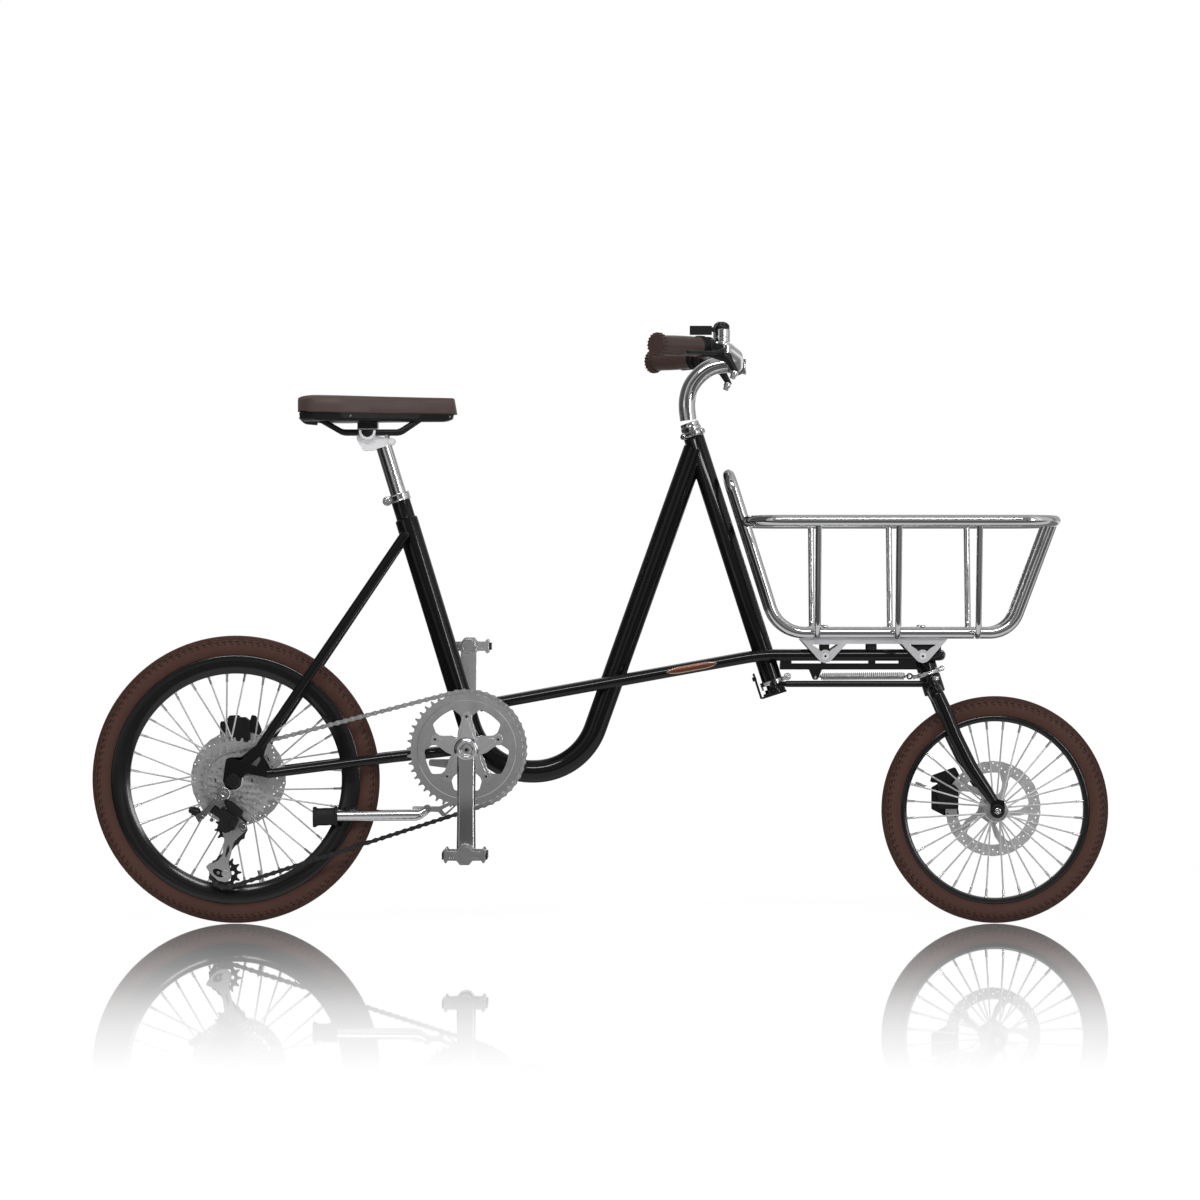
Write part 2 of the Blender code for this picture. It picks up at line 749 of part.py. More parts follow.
def spoke(axle, start, end):
    points = []
    for radius, angle, y in (start, end):
        points.append((axle[0] + radius * math.cos(angle), y, axle[1] + radius * math.sin(angle)))
    return cylinder(SPOKE_RADIUS, points[0], points[1], 3)


def laced(axle, flange_radius, flange_ys, rim_radius, lead, offset):
    """Spokes that leave each flange on alternate sides, by the offset.
    The lead is how far each runs ahead of its rim hole."""
    spokes = []
    for number in range(SPOKES):
        rim_angle = math.tau * (number + 0.5) / SPOKES
        side = number % 2
        way = 1 if number % 4 < 2 else -1
        y = flange_ys[side] + way * offset
        rim_y = 0.0025 if side else -0.0025
        spokes.append(spoke(axle, (flange_radius, rim_angle + way * lead, y), (rim_radius, rim_angle, rim_y)))
    return spokes


def hub(name, axle, profile, lacing, parent):
    centre = (axle[0], 0, axle[1])
    shape = turned(profile, centre, (0, 1, 0), 11, ring=True)
    for one in laced(axle, *lacing):
        shape = union(shape, one)
    return part(name, shape, "alloy", parent)


def rear_hub(parent):
    profile = [
        (0.0056, -0.0310),
        (0.0240, -0.0310),
        (0.0240, -0.0265),
        (0.0135, -0.0235),
        (0.0135, 0.0295),
        (0.0240, 0.0325),
        (0.0240, 0.0370),
        (0.0140, 0.0390),
        (0.0140, 0.0545),
        (0.0056, 0.0545),
    ]
    rim_radius = (REAR_RADIUS - TYRE_HEIGHT - RIM_DEPTH_REAR) * math.cos(math.pi / WHEEL_STEPS) - 2 * GAP
    return hub("rear_hub", REAR_AXLE, profile, (0.0214, (-0.0288, 0.0348), rim_radius, 1.05, 0.0013), parent)


def front_hub(parent):
    profile = [
        (0.0056, -0.0380),
        (0.0200, -0.0370),
        (0.0200, -0.0325),
        (0.0110, -0.0295),
        (0.0110, 0.0185),
        (0.0200, 0.0215),
        (0.0200, 0.0260),
        (0.0140, 0.0280),
        (0.0140, 0.0395),
        (0.0056, 0.0395),
    ]
    rim_radius = (FRONT_RADIUS - TYRE_HEIGHT - RIM_DEPTH_FRONT) * math.cos(math.pi / WHEEL_STEPS) - 2 * GAP
    return hub("front_hub", FRONT_AXLE, profile, (0.0172, (-0.0348, 0.0238), rim_radius, 0.20, 0.0008), parent)


def rotor(name, axle, y, parent):
    arms = 5
    windows = []
    for number in range(arms):
        start = math.tau * (number + 0.10) / arms
        end = math.tau * (number + 0.90) / arms
        lean = 0.30
        window = []
        for radius, first, last, steps in ((0.0660, start, end, 3), (0.0250, end - lean, start - lean, 2)):
            for step in range(steps):
                angle = first + (last - first) * step / (steps - 1)
                window.append((axle[0] + radius * math.cos(angle), axle[1] + radius * math.sin(angle)))
        windows.append(window)
    bore = circle(axle, 0.0147, 10)
    outer = circle(axle, ROTOR_RADIUS, 18)
    return part(name, plate(outer, 0.0018, y, windows + [bore]), "steel", parent)


def axle_rod(name, axle, half, cap, parent=None):
    """An axle with a cap nut outside each dropout."""
    x, z = axle
    rod = cylinder(AXLE_RADIUS, (x, -half - 0.0060, z), (x, half + 0.0060, z), 8)
    nuts = []
    for side in (-1, 1):
        face = half + DROPOUT_THICKNESS / 2 + GAP
        nuts.append(cylinder(cap, (x, side * face, z), (x, side * (face + 0.0080), z), 12, cap * 0.85))
    return part(name, union(rod, together(nuts)), "plastic", parent)


# Chain path and toothed wheels


def pitch_radius(teeth):
    return PITCH / (2 * math.sin(math.pi / teeth))


def tangent(first, second):
    """Where a run leaves one wheel and meets the next; each wheel is (centre, teeth, way)."""
    (centre, teeth, way), (other, other_teeth, other_way) = first, second
    radius = way * pitch_radius(teeth)
    other_radius = other_way * pitch_radius(other_teeth)
    dx = other[0] - centre[0]
    dz = other[1] - centre[1]
    gap = math.hypot(dx, dz)
    angle = math.atan2(dz, dx) - math.acos((radius - other_radius) / gap)
    out = (math.cos(angle), math.sin(angle))
    return (
        (centre[0] + radius * out[0], centre[1] + radius * out[1]),
        (other[0] + other_radius * out[0], other[1] + other_radius * out[1]),
    )


def chain_wheels(cage_angle):
    lower = (
        UPPER_PULLEY[0] + PULLEY_SPACING * math.cos(cage_angle),
        UPPER_PULLEY[1] + PULLEY_SPACING * math.sin(cage_angle),
    )
    return [
        (BOTTOM_BRACKET, RING_TEETH, 1),
        (REAR_AXLE, DRIVEN_TEETH, 1),
        (UPPER_PULLEY, PULLEY_TEETH, -1),
        (lower, PULLEY_TEETH, 1),
    ]


def chain_path(wheels):
    """Stretches of the loop as (pitches, kind, data), arcs and straight runs in turn."""
    runs = [tangent(wheels[number], wheels[(number + 1) % len(wheels)]) for number in range(len(wheels))]
    stretches = []
    for number, (centre, teeth, way) in enumerate(wheels):
        arrive = runs[number - 1][1]
        leave = runs[number][0]
        start = math.atan2(arrive[1] - centre[1], arrive[0] - centre[0])
        end = math.atan2(leave[1] - centre[1], leave[0] - centre[0])
        sweep = (way * (end - start)) % math.tau
        stretches.append((sweep * teeth / math.tau, "arc", (centre, pitch_radius(teeth), start, way * sweep)))
        stretches.append((math.dist(*runs[number]) / PITCH, "run", runs[number]))
    return stretches


def chain_point(stretches, where):
    for pitches, kind, data in stretches:
        if where <= pitches:
            part_way = where / pitches
            if kind == "arc":
                centre, radius, start, sweep = data
                angle = start + sweep * part_way
                return centre[0] + radius * math.cos(angle), centre[1] + radius * math.sin(angle)
            (x, z), (end_x, end_z) = data
            return x + (end_x - x) * part_way, z + (end_z - z) * part_way
        where -= pitches
    return chain_point(stretches, 0.0)


def solved_cage_angle():
    low = math.radians(240)
    high = math.radians(275)
    for _ in range(60):
        middle = (low + high) / 2
        if sum(stretch[0] for stretch in chain_path(chain_wheels(middle))) > CHAIN_PITCHES:
            low = middle
        else:
            high = middle
    return (low + high) / 2


CAGE_ANGLE = solved_cage_angle()
WHEELS = chain_wheels(CAGE_ANGLE)
LOWER_PULLEY = WHEELS[3][0]
STRETCHES = chain_path(WHEELS)


def first_pin_angle(number):
    """The angle, about a wheel, of the first chain pin that lies on it."""
    before = sum(stretch[0] for stretch in STRETCHES[: 2 * number])
    x, z = chain_point(STRETCHES, math.ceil(before))
    centre = WHEELS[number][0]
    return math.atan2(z - centre[1], x - centre[0])


def chain_corners(work, centre, out, half_width, half_height):
    """Four corners of a cut across the chain, in order round it."""
    corners = []
    for height, y in ((-1, -1), (1, -1), (1, 1), (-1, 1)):
        spot = centre + out * half_height * height
        corners.append(work.verts.new((spot.x, CHAIN_Y + half_width * y, spot.y)))
    return corners


def meshed_pitches():
    """The pitches that a tooth reaches into, which run on past each wheel's arc a little."""
    found = set()
    start = 0.0
    for pitches, kind, data in STRETCHES:
        if kind == "arc":
            more = 1 if data[0] in (UPPER_PULLEY, LOWER_PULLEY) else 2
            found.update(range(math.floor(start) - more, math.ceil(start + pitches) + more))
        start += pitches
    return {number % CHAIN_PITCHES for number in found}


def chain():
    """A band that is tall at each pin and waisted between, slotted where teeth reach into it."""
    pins = [Vector(chain_point(STRETCHES, number)) for number in range(CHAIN_PITCHES)]
    meshed = meshed_pitches()
    work = bmesh.new()
    at_pins = []
    waists = {}
    slots = {}
    for number, pin in enumerate(pins):
        after = pins[(number + 1) % CHAIN_PITCHES]
        along = (after - pins[number - 1]).normalized()
        square = Vector((-along.y, along.x))
        at_pins.append(chain_corners(work, pin, square, CHAIN_HALF_WIDTH, CHAIN_HALF_HEIGHT))
        way = (after - pin).normalized()
        out = Vector((-way.y, way.x))
        if number in meshed:
            ends = (pin + way * ROLLER_HALF, after - way * ROLLER_HALF)
            slots[number] = [chain_corners(work, end, out, CHAIN_SLOT_HALF, CHAIN_SLOT_HEIGHT) for end in ends]
        else:
            waists[number] = chain_corners(work, (pin + after) / 2, out, CHAIN_HALF_WIDTH, CHAIN_WAIST)
    for number, near in enumerate(at_pins):
        far = at_pins[(number + 1) % CHAIN_PITCHES]
        if number in waists:
            waist = waists[number]
            for low in range(4):
                high = (low + 1) % 4
                work.faces.new((near[low], near[high], waist[high], waist[low]))
                work.faces.new((waist[low], waist[high], far[high], far[low]))
            continue
        start, end = slots[number]
        work.faces.new(start)
        work.faces.new(end)
        for low, high in ((0, 1), (2, 3)):
            work.faces.new((near[low], near[high], far[high], far[low]))
            work.faces.new((start[low], start[high], end[high], end[low]))
        for low, high in ((1, 2), (3, 0)):
            work.faces.new((near[low], near[high], start[high], start[low]))
            work.faces.new((far[low], far[high], end[high], end[low]))
            for corner in (low, high):
                work.faces.new((near[corner], start[corner], end[corner], far[corner]))
    mesh = bpy.data.meshes.new("chain")
    work.to_mesh(mesh)
    work.free()
    return part("chain", mesh_object("chain", cleaned(mesh)), "steel")


def toothed(centre, teeth, pin_angle, plain=False):
    """An outline whose teeth stand midway between the chain's pins."""
    middle = pitch_radius(teeth)
    root = middle - 0.0046
    tip = middle + (0.0022 if plain else 0.0024)
    half_base = 0.0026 / root
    outline = []
    for number in range(teeth):
        angle = pin_angle + math.tau * (number + 0.5) / teeth
        marks = ((root, -half_base), (tip, 0.0), (root, half_base))
        if plain:
            marks = ((root, -math.pi / teeth), (tip, 0.0))
        outline += [polar(centre, angle + offset, radius) for radius, offset in marks]
    return outline


def cassette(parent):
    x, z = REAR_AXLE
    body = cylinder(0.0165, (x, -0.0336, z), (x, -0.0669, z), 7)
    plates = []
    for number, teeth in enumerate(SPROCKETS):
        y = FIRST_SPROCKET_Y - number * SPROCKET_STEP
        pin_angle = first_pin_angle(1) if teeth == DRIVEN_TEETH else 0.0
        outline = toothed(REAR_AXLE, teeth, pin_angle, teeth != DRIVEN_TEETH)
        if teeth < LEAST_TOOTHED:
            outline = circle(REAR_AXLE, pitch_radius(teeth), 14)
        plates.append(plate(outline, SPROCKET_THICKNESS, y))
    bore = cylinder(bore_radius(AXLE_RADIUS, 7), (x, -0.02, z), (x, -0.08, z), 7)
    return part("cassette", cut(union(body, together(plates)), bore), "chrome", parent)


def chainring(parent):
    """A toothed ring whose five tabs reach in to the spider's bolts, with rounded windows between."""
    centre = BOTTOM_BRACKET
    tab = ((0.0670, -0.0200), (0.0570, -0.0115), (0.0480, -0.0060))
    tab += tuple((reach, -across) for reach, across in reversed(tab))
    inner = []
    for number in range(RING_BOLTS):
        angle = math.pi / 2 + math.tau * number / RING_BOLTS
        inner += [polar(centre, angle, reach, across) for reach, across in tab]
        inner += [polar(centre, angle + math.radians(turn), RING_WINDOW_RADIUS) for turn in (28, 36, 44)]
    holes = [inner]
    for spot in circle(centre, RING_BOLT_REACH, RING_BOLTS, math.pi / 2):
        holes.append(circle(spot, bore_radius(RING_BOLT_RADIUS, 6), 6))
    shape = plate(toothed(centre, RING_TEETH, first_pin_angle(0)), 0.0020, CHAIN_Y, holes)
    return part("chainring", shape, "alloy", parent)


def pulley(name, number, parent):
    centre = WHEELS[number][0]
    hole = circle(centre, bore_radius(PULLEY_PIN, 8), 8)
    shape = plate(toothed(centre, PULLEY_TEETH, first_pin_angle(number)), 0.0020, CHAIN_Y, [hole])
    return part(name, shape, "plastic", parent)


# Cranks and pedals


def crank_spindle(parent):
    x, z = BOTTOM_BRACKET
    shape = cylinder(SPINDLE_RADIUS, (x, -0.0620, z), (x, 0.0620, z), 10)
    cups = []
    for side in (-1, 1):
        faces = SHELL_HALF + GAP, SHELL_HALF + 0.0045
        cups.append(cylinder(0.0165, (x, side * faces[0], z), (x, side * faces[1], z), 8))
    return part("crank_spindle", union(shape, together(cups)), "alloy", parent)


def chamfered(shape, width):
    edge = shape.modifiers.new("edges", "BEVEL")
    edge.width = width
    edge.segments = 1
    return baked(shape)


def arm(side, reach, half):
    """A flat crank arm with chamfered edges that runs outward in Y towards its pedal."""
    x, z = BOTTOM_BRACKET
    inner = side * 0.0560
    outer = side * 0.0760
    blade = chamfered(box((2 * half, ARM_THICKNESS, abs(reach)), (x, 0, z + reach / 2)), ARM_CHAMFER)
    slant = math.atan((outer - inner) / reach)
    lean = Matrix.Translation((0, inner, z)) @ Matrix.Rotation(-slant, 4, "X") @ Matrix.Translation((0, 0, -z))
    blade.data.transform(lean)
    boss = cylinder(half + 0.0015, (x, inner - side * 0.0080, z), (x, inner + side * 0.0100, z), 14)
    eye = cylinder(half, (x, outer - side * 0.0065, z + reach), (x, outer + side * 0.0065, z + reach), 14)
    return union(boss, blade, eye)


def crank_arm_right(parent):
    x, z = BOTTOM_BRACKET
    star = []
    bolts = []
    half_spider = ((0.0300, 0.0150), (0.0470, 0.0095), (0.0600, 0.0070), (0.0630, 0.0030))
    for number in range(RING_BOLTS):
        angle = math.pi / 2 + math.tau * number / RING_BOLTS
        star += [polar(BOTTOM_BRACKET, angle, reach, -half) for reach, half in half_spider]
        star += [polar(BOTTOM_BRACKET, angle, reach, half) for reach, half in reversed(half_spider)]
        star.append(polar(BOTTOM_BRACKET, angle + math.pi / RING_BOLTS, SPIDER_ROOT))
        bolt_x, bolt_z = polar(BOTTOM_BRACKET, angle, RING_BOLT_REACH)
        bolts.append(cylinder(RING_BOLT_RADIUS, (bolt_x, -0.0518, bolt_z), (bolt_x, -0.0432, bolt_z), 6))
    spider = plate(star, 0.0040, SPIDER_Y)
    hub_disc = cylinder(0.0215, (x, -0.0475, z), (x, -0.0530, z), 12)
    shape = union(arm(-1, -CRANK_LENGTH, RIGHT_ARM_HALF), hub_disc, spider, together(bolts))
    bore = cylinder(bore_radius(SPINDLE_RADIUS, 10), (x, -0.0300, z), (x, -0.0630, z), 10)
    return part("crank_arm_right", cut(shape, bore), "chrome", parent)


def crank_arm_left(parent):
    x, z = BOTTOM_BRACKET
    bore = cylinder(bore_radius(SPINDLE_RADIUS, 10), (x, 0.0300, z), (x, 0.0630, z), 10)
    return part("crank_arm_left", cut(arm(1, CRANK_LENGTH, LEFT_ARM_HALF), bore), "chrome", parent)


def pedal(name, side, parent):
    """A cage pedal: a spindle barrel, bowed plates at both ends, and front and rear plates between them."""
    x = BOTTOM_BRACKET[0]
    z = BOTTOM_BRACKET[1] + side * CRANK_LENGTH
    y = side * PEDAL_Y
    barrel = cylinder(0.0115, (x, side * 0.0832, z), (x, side * (PEDAL_Y + 0.0420), z), 8)
    frames = []
    for offset in (-0.0345, 0.0345):
        frames.append(box((0.0060, 0.0860, 0.0190), (x + offset, y, z)))
    bow = [(0.0335, 0.0130), (0.0300, 0.0130), (0.0280, 0.0075), (0.0130, 0.0080), (0.0070, 0.0150)]
    bow += [(-reach, height) for reach, height in reversed(bow)]
    bow += [(reach, -height) for reach, height in reversed(bow)]
    outline = [(x + reach, z + height) for reach, height in bow]
    ends = [plate(outline, 0.0070, y + offset) for offset in (-0.0410, 0.0410)]
    return part(name, union(barrel, ends[0], ends[1], *frames), "alloy", parent)


# Fork

FORK_LEG = (
    ((0.5605, 0.3824), 0.0360, 0.0105),
    ((0.5720, 0.3570), 0.0395, 0.0105),
    ((0.5898, 0.3123), 0.0440, 0.0102),
    ((0.6153, 0.2605), 0.0480, 0.0092),
    ((0.6415, 0.2221), 0.0510, 0.0078),
    ((0.6530, 0.2050), 0.0525, 0.0070),
)
LINK_Z = 0.4000
LINK_Y = -0.0400
ARM_DROP = 0.0108


def link_arm(reach_h, centre_of):
    """A flat arm out to the link rod's pin, square to the steering axis."""
    low = centre_of(reach_h)
    arm_box = box((0.0120, 0.0480, 0.0036), low + Vector((0, LINK_Y / 2 - 0.0010, 0)), -HEAD_TILT)
    pin = cylinder(0.0030, centre_of(reach_h, LINK_Y), centre_of(reach_h + ARM_DROP + 0.0060, LINK_Y), 8)
    return arm_box, pin


def fork(parent):
    arm_h = (LINK_Z - FORK_MARK[1]) / HEAD_UP.z - ARM_DROP
    column = cylinder(STEERER_RADIUS, on_fork(-0.02), on_fork(0.0430), 12)
    crown = cylinder(0.0178, on_fork(-0.0360), on_fork(-0.0040), 10)
    (top_x, top_z), top_y, _ = FORK_LEG[0]
    bridge = [Vector((top_x, side * top_y, top_z - 0.0040)) for side in (-1, 1)]
    bridge[1:1] = [on_fork(-0.0320, -0.0200), on_fork(-0.0300), on_fork(-0.0320, 0.0200)]
    shoulders = tube(bridge, 0.0125, 2)
    legs = []
    for side in (-1, 1):
        points = [Vector((x, side * y, z)) for (x, z), y, _ in FORK_LEG]
        radii = [radius for _, _, radius in FORK_LEG]
        legs.append(tube(points, radii[0], 2, radii=radii))
        below = circle(FRONT_AXLE, 0.0120, 10, math.radians(-200))[:6]
        legs.append(plate([(0.6590, 0.2095), (0.6475, 0.2125), *below, (0.6712, 0.1950)],
                          DROPOUT_THICKNESS, side * FRONT_DROPOUT_Y))
    arm_box, pin = link_arm(arm_h, on_fork)
    shape = union(column, crown, shoulders, *legs, arm_box, pin)
    x, z = FRONT_AXLE
    hole = cylinder(bore_radius(AXLE_RADIUS, 8), (x, -0.07, z), (x, 0.07, z), 8)
    return part("fork", cut(shape, hole), "paint", parent)


def ring_clamp(name, centre_of, height, ear_way, parent, eye=None):
    """A chrome ring round a head tube, with an ear on one side."""
    inner = bore_radius(STEERER_RADIUS, 12)
    low = height - 0.0032
    high = height + 0.0032
    profile = [(0.0205, low), (0.0205, high), (inner, high), (inner, low)]
    ring = turned(profile, centre_of(0), HEAD_UP, 12, ring=True)
    out = Vector((HEAD_UP.z, 0, -HEAD_UP.x)) * ear_way
    ear = box((0.0120, 0.0060, 0.0060), centre_of(height) + out * 0.0240, -HEAD_TILT)
    pieces = [ear]
    if eye:
        x, z = eye
        pieces.append(cylinder(0.0042, (x + 0.0048, -0.0030, z), (x + 0.0048, 0.0030, z), 10))
        pieces.append(cylinder(0.0018, (x + 0.0060, 0, z), centre_of(height) + out * 0.0230, 8))
    else:
        centre = centre_of(height) + out * 0.0265
        pieces.append(cylinder(0.0055, centre + Vector((0, -0.0070, 0)), centre + Vector((0, 0.0070, 0)), 12))
    return part(name, union(ring, *pieces), "chrome", parent)


def caliper(axle, centre, rotor_y, foot):
    """A body straddling the rotor, with an adapter that reaches its mount."""
    x, z = centre
    body = box((0.0340, 0.0300, 0.0420), (x, rotor_y, z))
    top = cylinder(0.0120, (x, rotor_y, z), (x, rotor_y + 0.0210, z), 12)
    faces = rotor_y - 0.0018, rotor_y + 0.0018
    slot = cylinder(ROTOR_RADIUS + 0.0030, (axle[0], faces[0], axle[1]), (axle[0], faces[1], axle[1]), 32)
    adapter = plate(
        [(x - 0.0130, z + 0.0100), (foot[0], foot[1] + 0.0080), (foot[0], foot[1] - 0.0080),
         (x - 0.0100, z - 0.0120)],
        0.0050, rotor_y + 0.0110,
    )
    return cut(union(body, top, adapter), slot)


# Steering column and cockpit


def steerer_tube(parent):
    arm_h = (LINK_Z - HEAD_FOOT[1]) / HEAD_UP.z - ARM_DROP
    column = cylinder(STEERER_RADIUS, on_head(0.0060), on_head(HEAD_TOP_H + 0.0240), 12)
    foot = cylinder(HEAD_RADIUS, on_head(0.0), on_head(RING_H - 0.0036), 12)
    nut = cylinder(0.0170, on_head(HEAD_TOP_H + 0.0108), on_head(HEAD_TOP_H + 0.0250), 12)
    back = Vector((-HEAD_UP.z, 0, HEAD_UP.x))
    toe = box((0.0430, 0.0260, 0.0032), on_head(-0.0010) + back * 0.0040, -HEAD_TILT)
    heel = box((0.0036, 0.0260, 0.0460), on_head(0.0210) + back * 0.0265, -HEAD_TILT)
    arm_box, pin = link_arm(arm_h, on_head)
    return part("steerer_tube", union(column, foot, nut, toe, heel, arm_box, pin), "paint", parent)


def link_rod(parent):
    eyes = []
    for centre_of, mark in ((on_head, HEAD_FOOT), (on_fork, FORK_MARK)):
        height = (LINK_Z - mark[1]) / HEAD_UP.z
        eyes.append(cylinder(0.0066, centre_of(height - 0.0040, LINK_Y), centre_of(height + 0.0040, LINK_Y), 9))
    start = on_head((LINK_Z - HEAD_FOOT[1]) / HEAD_UP.z, LINK_Y)
    end = on_fork((LINK_Z - FORK_MARK[1]) / HEAD_UP.z, LINK_Y)
    ends = [start, start + Vector((0.0120, 0, 0)), end - Vector((0.0120, 0, 0)), end]
    rod = tube(ends, 0.00425, 1, radii=[0.0030, 0.00425, 0.00425, 0.0030])
    holes = []
    for centre_of, mark in ((on_head, HEAD_FOOT), (on_fork, FORK_MARK)):
        height = (LINK_Z - mark[1]) / HEAD_UP.z
        ends = centre_of(height - 0.02, LINK_Y), centre_of(height + 0.02, LINK_Y)
        holes.append(cylinder(bore_radius(0.0030, 9), *ends, 9))
    return part("link_rod", cut(union(rod, *eyes), *holes), "paint", parent)


STEM_PATH = ((0.1470, 0.8393), (0.1435, 0.8640), (0.1462, 0.8835), (0.1520, 0.8990),
             (0.1650, 0.9155), (0.1861, 0.9310), (0.2160, 0.9335))


def stem(parent):
    x, z = BAR_CLAMP
    neck = tube(in_plane(STEM_PATH), 0.0140, 2)
    clamp = cylinder(0.0185, (x, -0.0225, z), (x, 0.0225, z), 14)
    face = box((0.0140, 0.0380, 0.0300), (x + 0.0150, 0, z))
    bore = cylinder(BAR_RADIUS + GAP, (x, -0.05, z), (x, 0.05, z), 12)
    return part("stem", cut(union(neck, clamp, face), bore), "chrome", parent)


def on_bar(side, reach):
    """A point on the straight end of the handlebar, reach beyond its last bend."""
    spot = BAR_BEND + (BAR_TIP - BAR_BEND).normalized() * reach
    return Vector((spot.x, side * spot.y, spot.z))


def handlebar(parent):
    x, z = BAR_CLAMP
    right = [
        Vector((x, 0, z)),
        Vector((x, -0.0400, z)),
        Vector((x - 0.0050, -0.0800, z + 0.0150)),
        Vector((x - 0.0220, -0.1350, z + 0.0240)),
        on_bar(-1, 0.0),
        on_bar(-1, (BAR_TIP - BAR_BEND).length),
    ]
    right = [right[0]] + rounded(right[1:], 0.05, 2)
    left = [Vector((point.x, -point.y, point.z)) for point in right[1:]]
    return part("handlebar", tube(list(reversed(left)) + right, BAR_WALL_RADIUS, 2), "chrome", parent)


def grip(name, side, parent):
    sides = 9
    bore = bore_radius(BAR_WALL_RADIUS, sides)
    length = GRIP_LENGTH
    depth = (BAR_TIP - BAR_BEND).length - GRIP_START + 0.0010
    profile = [(0.0, depth), (bore, depth), (bore, 0.0), (0.0178, 0.0), (0.0178, 0.0120), (0.0158, 0.0130)]
    profile += [(0.0164, length * 0.5), (0.0160, length - 0.0060), (0.0150, length), (0.0, length)]
    start = on_bar(side, GRIP_START)
    along = on_bar(side, GRIP_START + length) - start
    core = turned(profile, start, along, sides)
    notches = circle((0, 0), CAP_RADIUS, 2 * CAP_NOTCHES)
    notches = [(x * 0.93, y * 0.93) if number % 2 else (x, y) for number, (x, y) in enumerate(notches)]
    cap = plate(notches, CAP_THICKNESS, 0, [circle((0, 0), CAP_BORE, sides)])
    middle = on_bar(side, GRIP_START + length - 0.0010 - CAP_THICKNESS / 2)
    cap.data.transform(Matrix.Translation(middle) @ turn_to(along) @ Matrix.Rotation(math.pi / 2, 4, "X"))
    return part(name, union(core, cap), "grip", parent)


LEVER_SLOT = 0.0048
LEVER_PIN = 0.0022


def bar_frame(side):
    """The brake clamp's centre on the bar, the bar's outward direction and the forward one."""
    centre = on_bar(side, CLAMP_START)
    along = (on_bar(side, GRIP_START) - centre).normalized()
    return centre, along, Vector((side * along.y, -side * along.x, 0)).normalized()


def lever_pivot(side):
    centre, along, ahead = bar_frame(side)
    return centre + ahead * 0.0330 - along * 0.0100 - Vector((0, 0, 0.0040))


def slab(outline, thickness, z):
    """A flat piece with an (X, Y) outline, level at height z."""
    made = plate(outline, thickness, 0)
    made.data.transform(Matrix.Translation((0, 0, z)) @ Matrix.Rotation(-math.pi / 2, 4, "X"))
    return made


def brake_mount(name, side, parent):
    """A clamp on the bar, with a slotted nose that holds the lever's pin."""
    centre, along, ahead = bar_frame(side)
    place = lever_pivot(side)
    clamp = cylinder(0.0165, centre - along * 0.0065, centre + along * 0.0065, 10)
    nose = tube([centre + ahead * 0.0130, place - ahead * 0.0050, place + ahead * 0.0050], 0.0090, 1)
    bore = cylinder(bore_radius(BAR_WALL_RADIUS, 10), centre - along * 0.03, centre + along * 0.03, 10)
    slot = cylinder(0.0130, place - Vector((0, 0, LEVER_SLOT / 2)), place + Vector((0, 0, LEVER_SLOT / 2)), 8)
    pin = cylinder(LEVER_PIN, place - Vector((0, 0, 0.0060)), place + Vector((0, 0, 0.0060)), 6)
    return part(name, union(cut(union(clamp, nose), bore, slot), pin), "chrome", parent)


def brake_lever(name, side, parent):
    """A flat blade that runs outward in front of the grip."""
    centre, along, ahead = bar_frame(side)
    place = lever_pivot(side)
    stations = ((-0.0060, 0.0, 0.0060), (0.0120, 0.0060, 0.0065), (0.0350, 0.0090, 0.0050),
                (0.0750, 0.0080, 0.0045), (0.0980, 0.0100, 0.0060))
    near = [place + along * reach + ahead * (out - half) for reach, out, half in stations]
    far = [place + along * reach + ahead * (out + half) for reach, out, half in stations]
    outline = [(spot.x, spot.y) for spot in near + far[::-1]]
    blade = slab(outline, LEVER_SLOT - 0.0008, place.z)
    hole = cylinder(LEVER_PIN + GAP, place - Vector((0, 0, 0.01)), place + Vector((0, 0, 0.01)), 8)
    return part(name, cut(blade, hole), "chrome", parent)


def shifter_housing(parent):
    body = turned(
        [(0.0, 0.9975), (0.0080, 0.9965), (0.0130, 0.9915), (0.0140, 0.9850), (0.0140, 0.9640), (0.0, 0.9640)],
        (0.1980, -0.1700, 0), (0, 0, 1), 14,
    )
    return part("shifter_housing", body, "chrome", parent)


def shift_lever(parent):
    pad = box((0.0360, 0.0120, 0.0150), (0.1637, -0.1900, 0.9805))
    neck = tube([Vector((0.1750, -0.1880, 0.9805)), Vector((0.1868, -0.1793, 0.9810))], 0.0040, 1)
    return part("shift_lever", union(pad, neck), "plastic", parent)


# Saddle

SADDLE_CLAMP = (-0.3880, 0.8195)
SADDLE_CLAMP_RADIUS = 0.0120
SADDLE_RAIL = 0.0042


def seatpost(parent):
    post = cylinder(POST_RADIUS, on_seat(POST_FOOT_H), on_seat(0.2400), 12)
    head = plate(
        [(-0.4050, 0.8185), (-0.4065, 0.8075), (-0.3960, 0.7885), (-0.3810, 0.7890), (-0.3500, 0.7980),
         (-0.3480, 0.8090), (-0.3720, 0.8130)],
        0.0300, 0,
    )
    x, z = SADDLE_CLAMP
    cradle = cylinder(bore_radius(SADDLE_CLAMP_RADIUS, 14), (x, -0.03, z), (x, 0.03, z), 14)
    bolt = cylinder(0.0060, (-0.3480, -0.0190, 0.8040), (-0.3480, 0.0190, 0.8040), 10)
    return part("seatpost", cut(union(post, head, bolt), cradle), "alloy", parent)


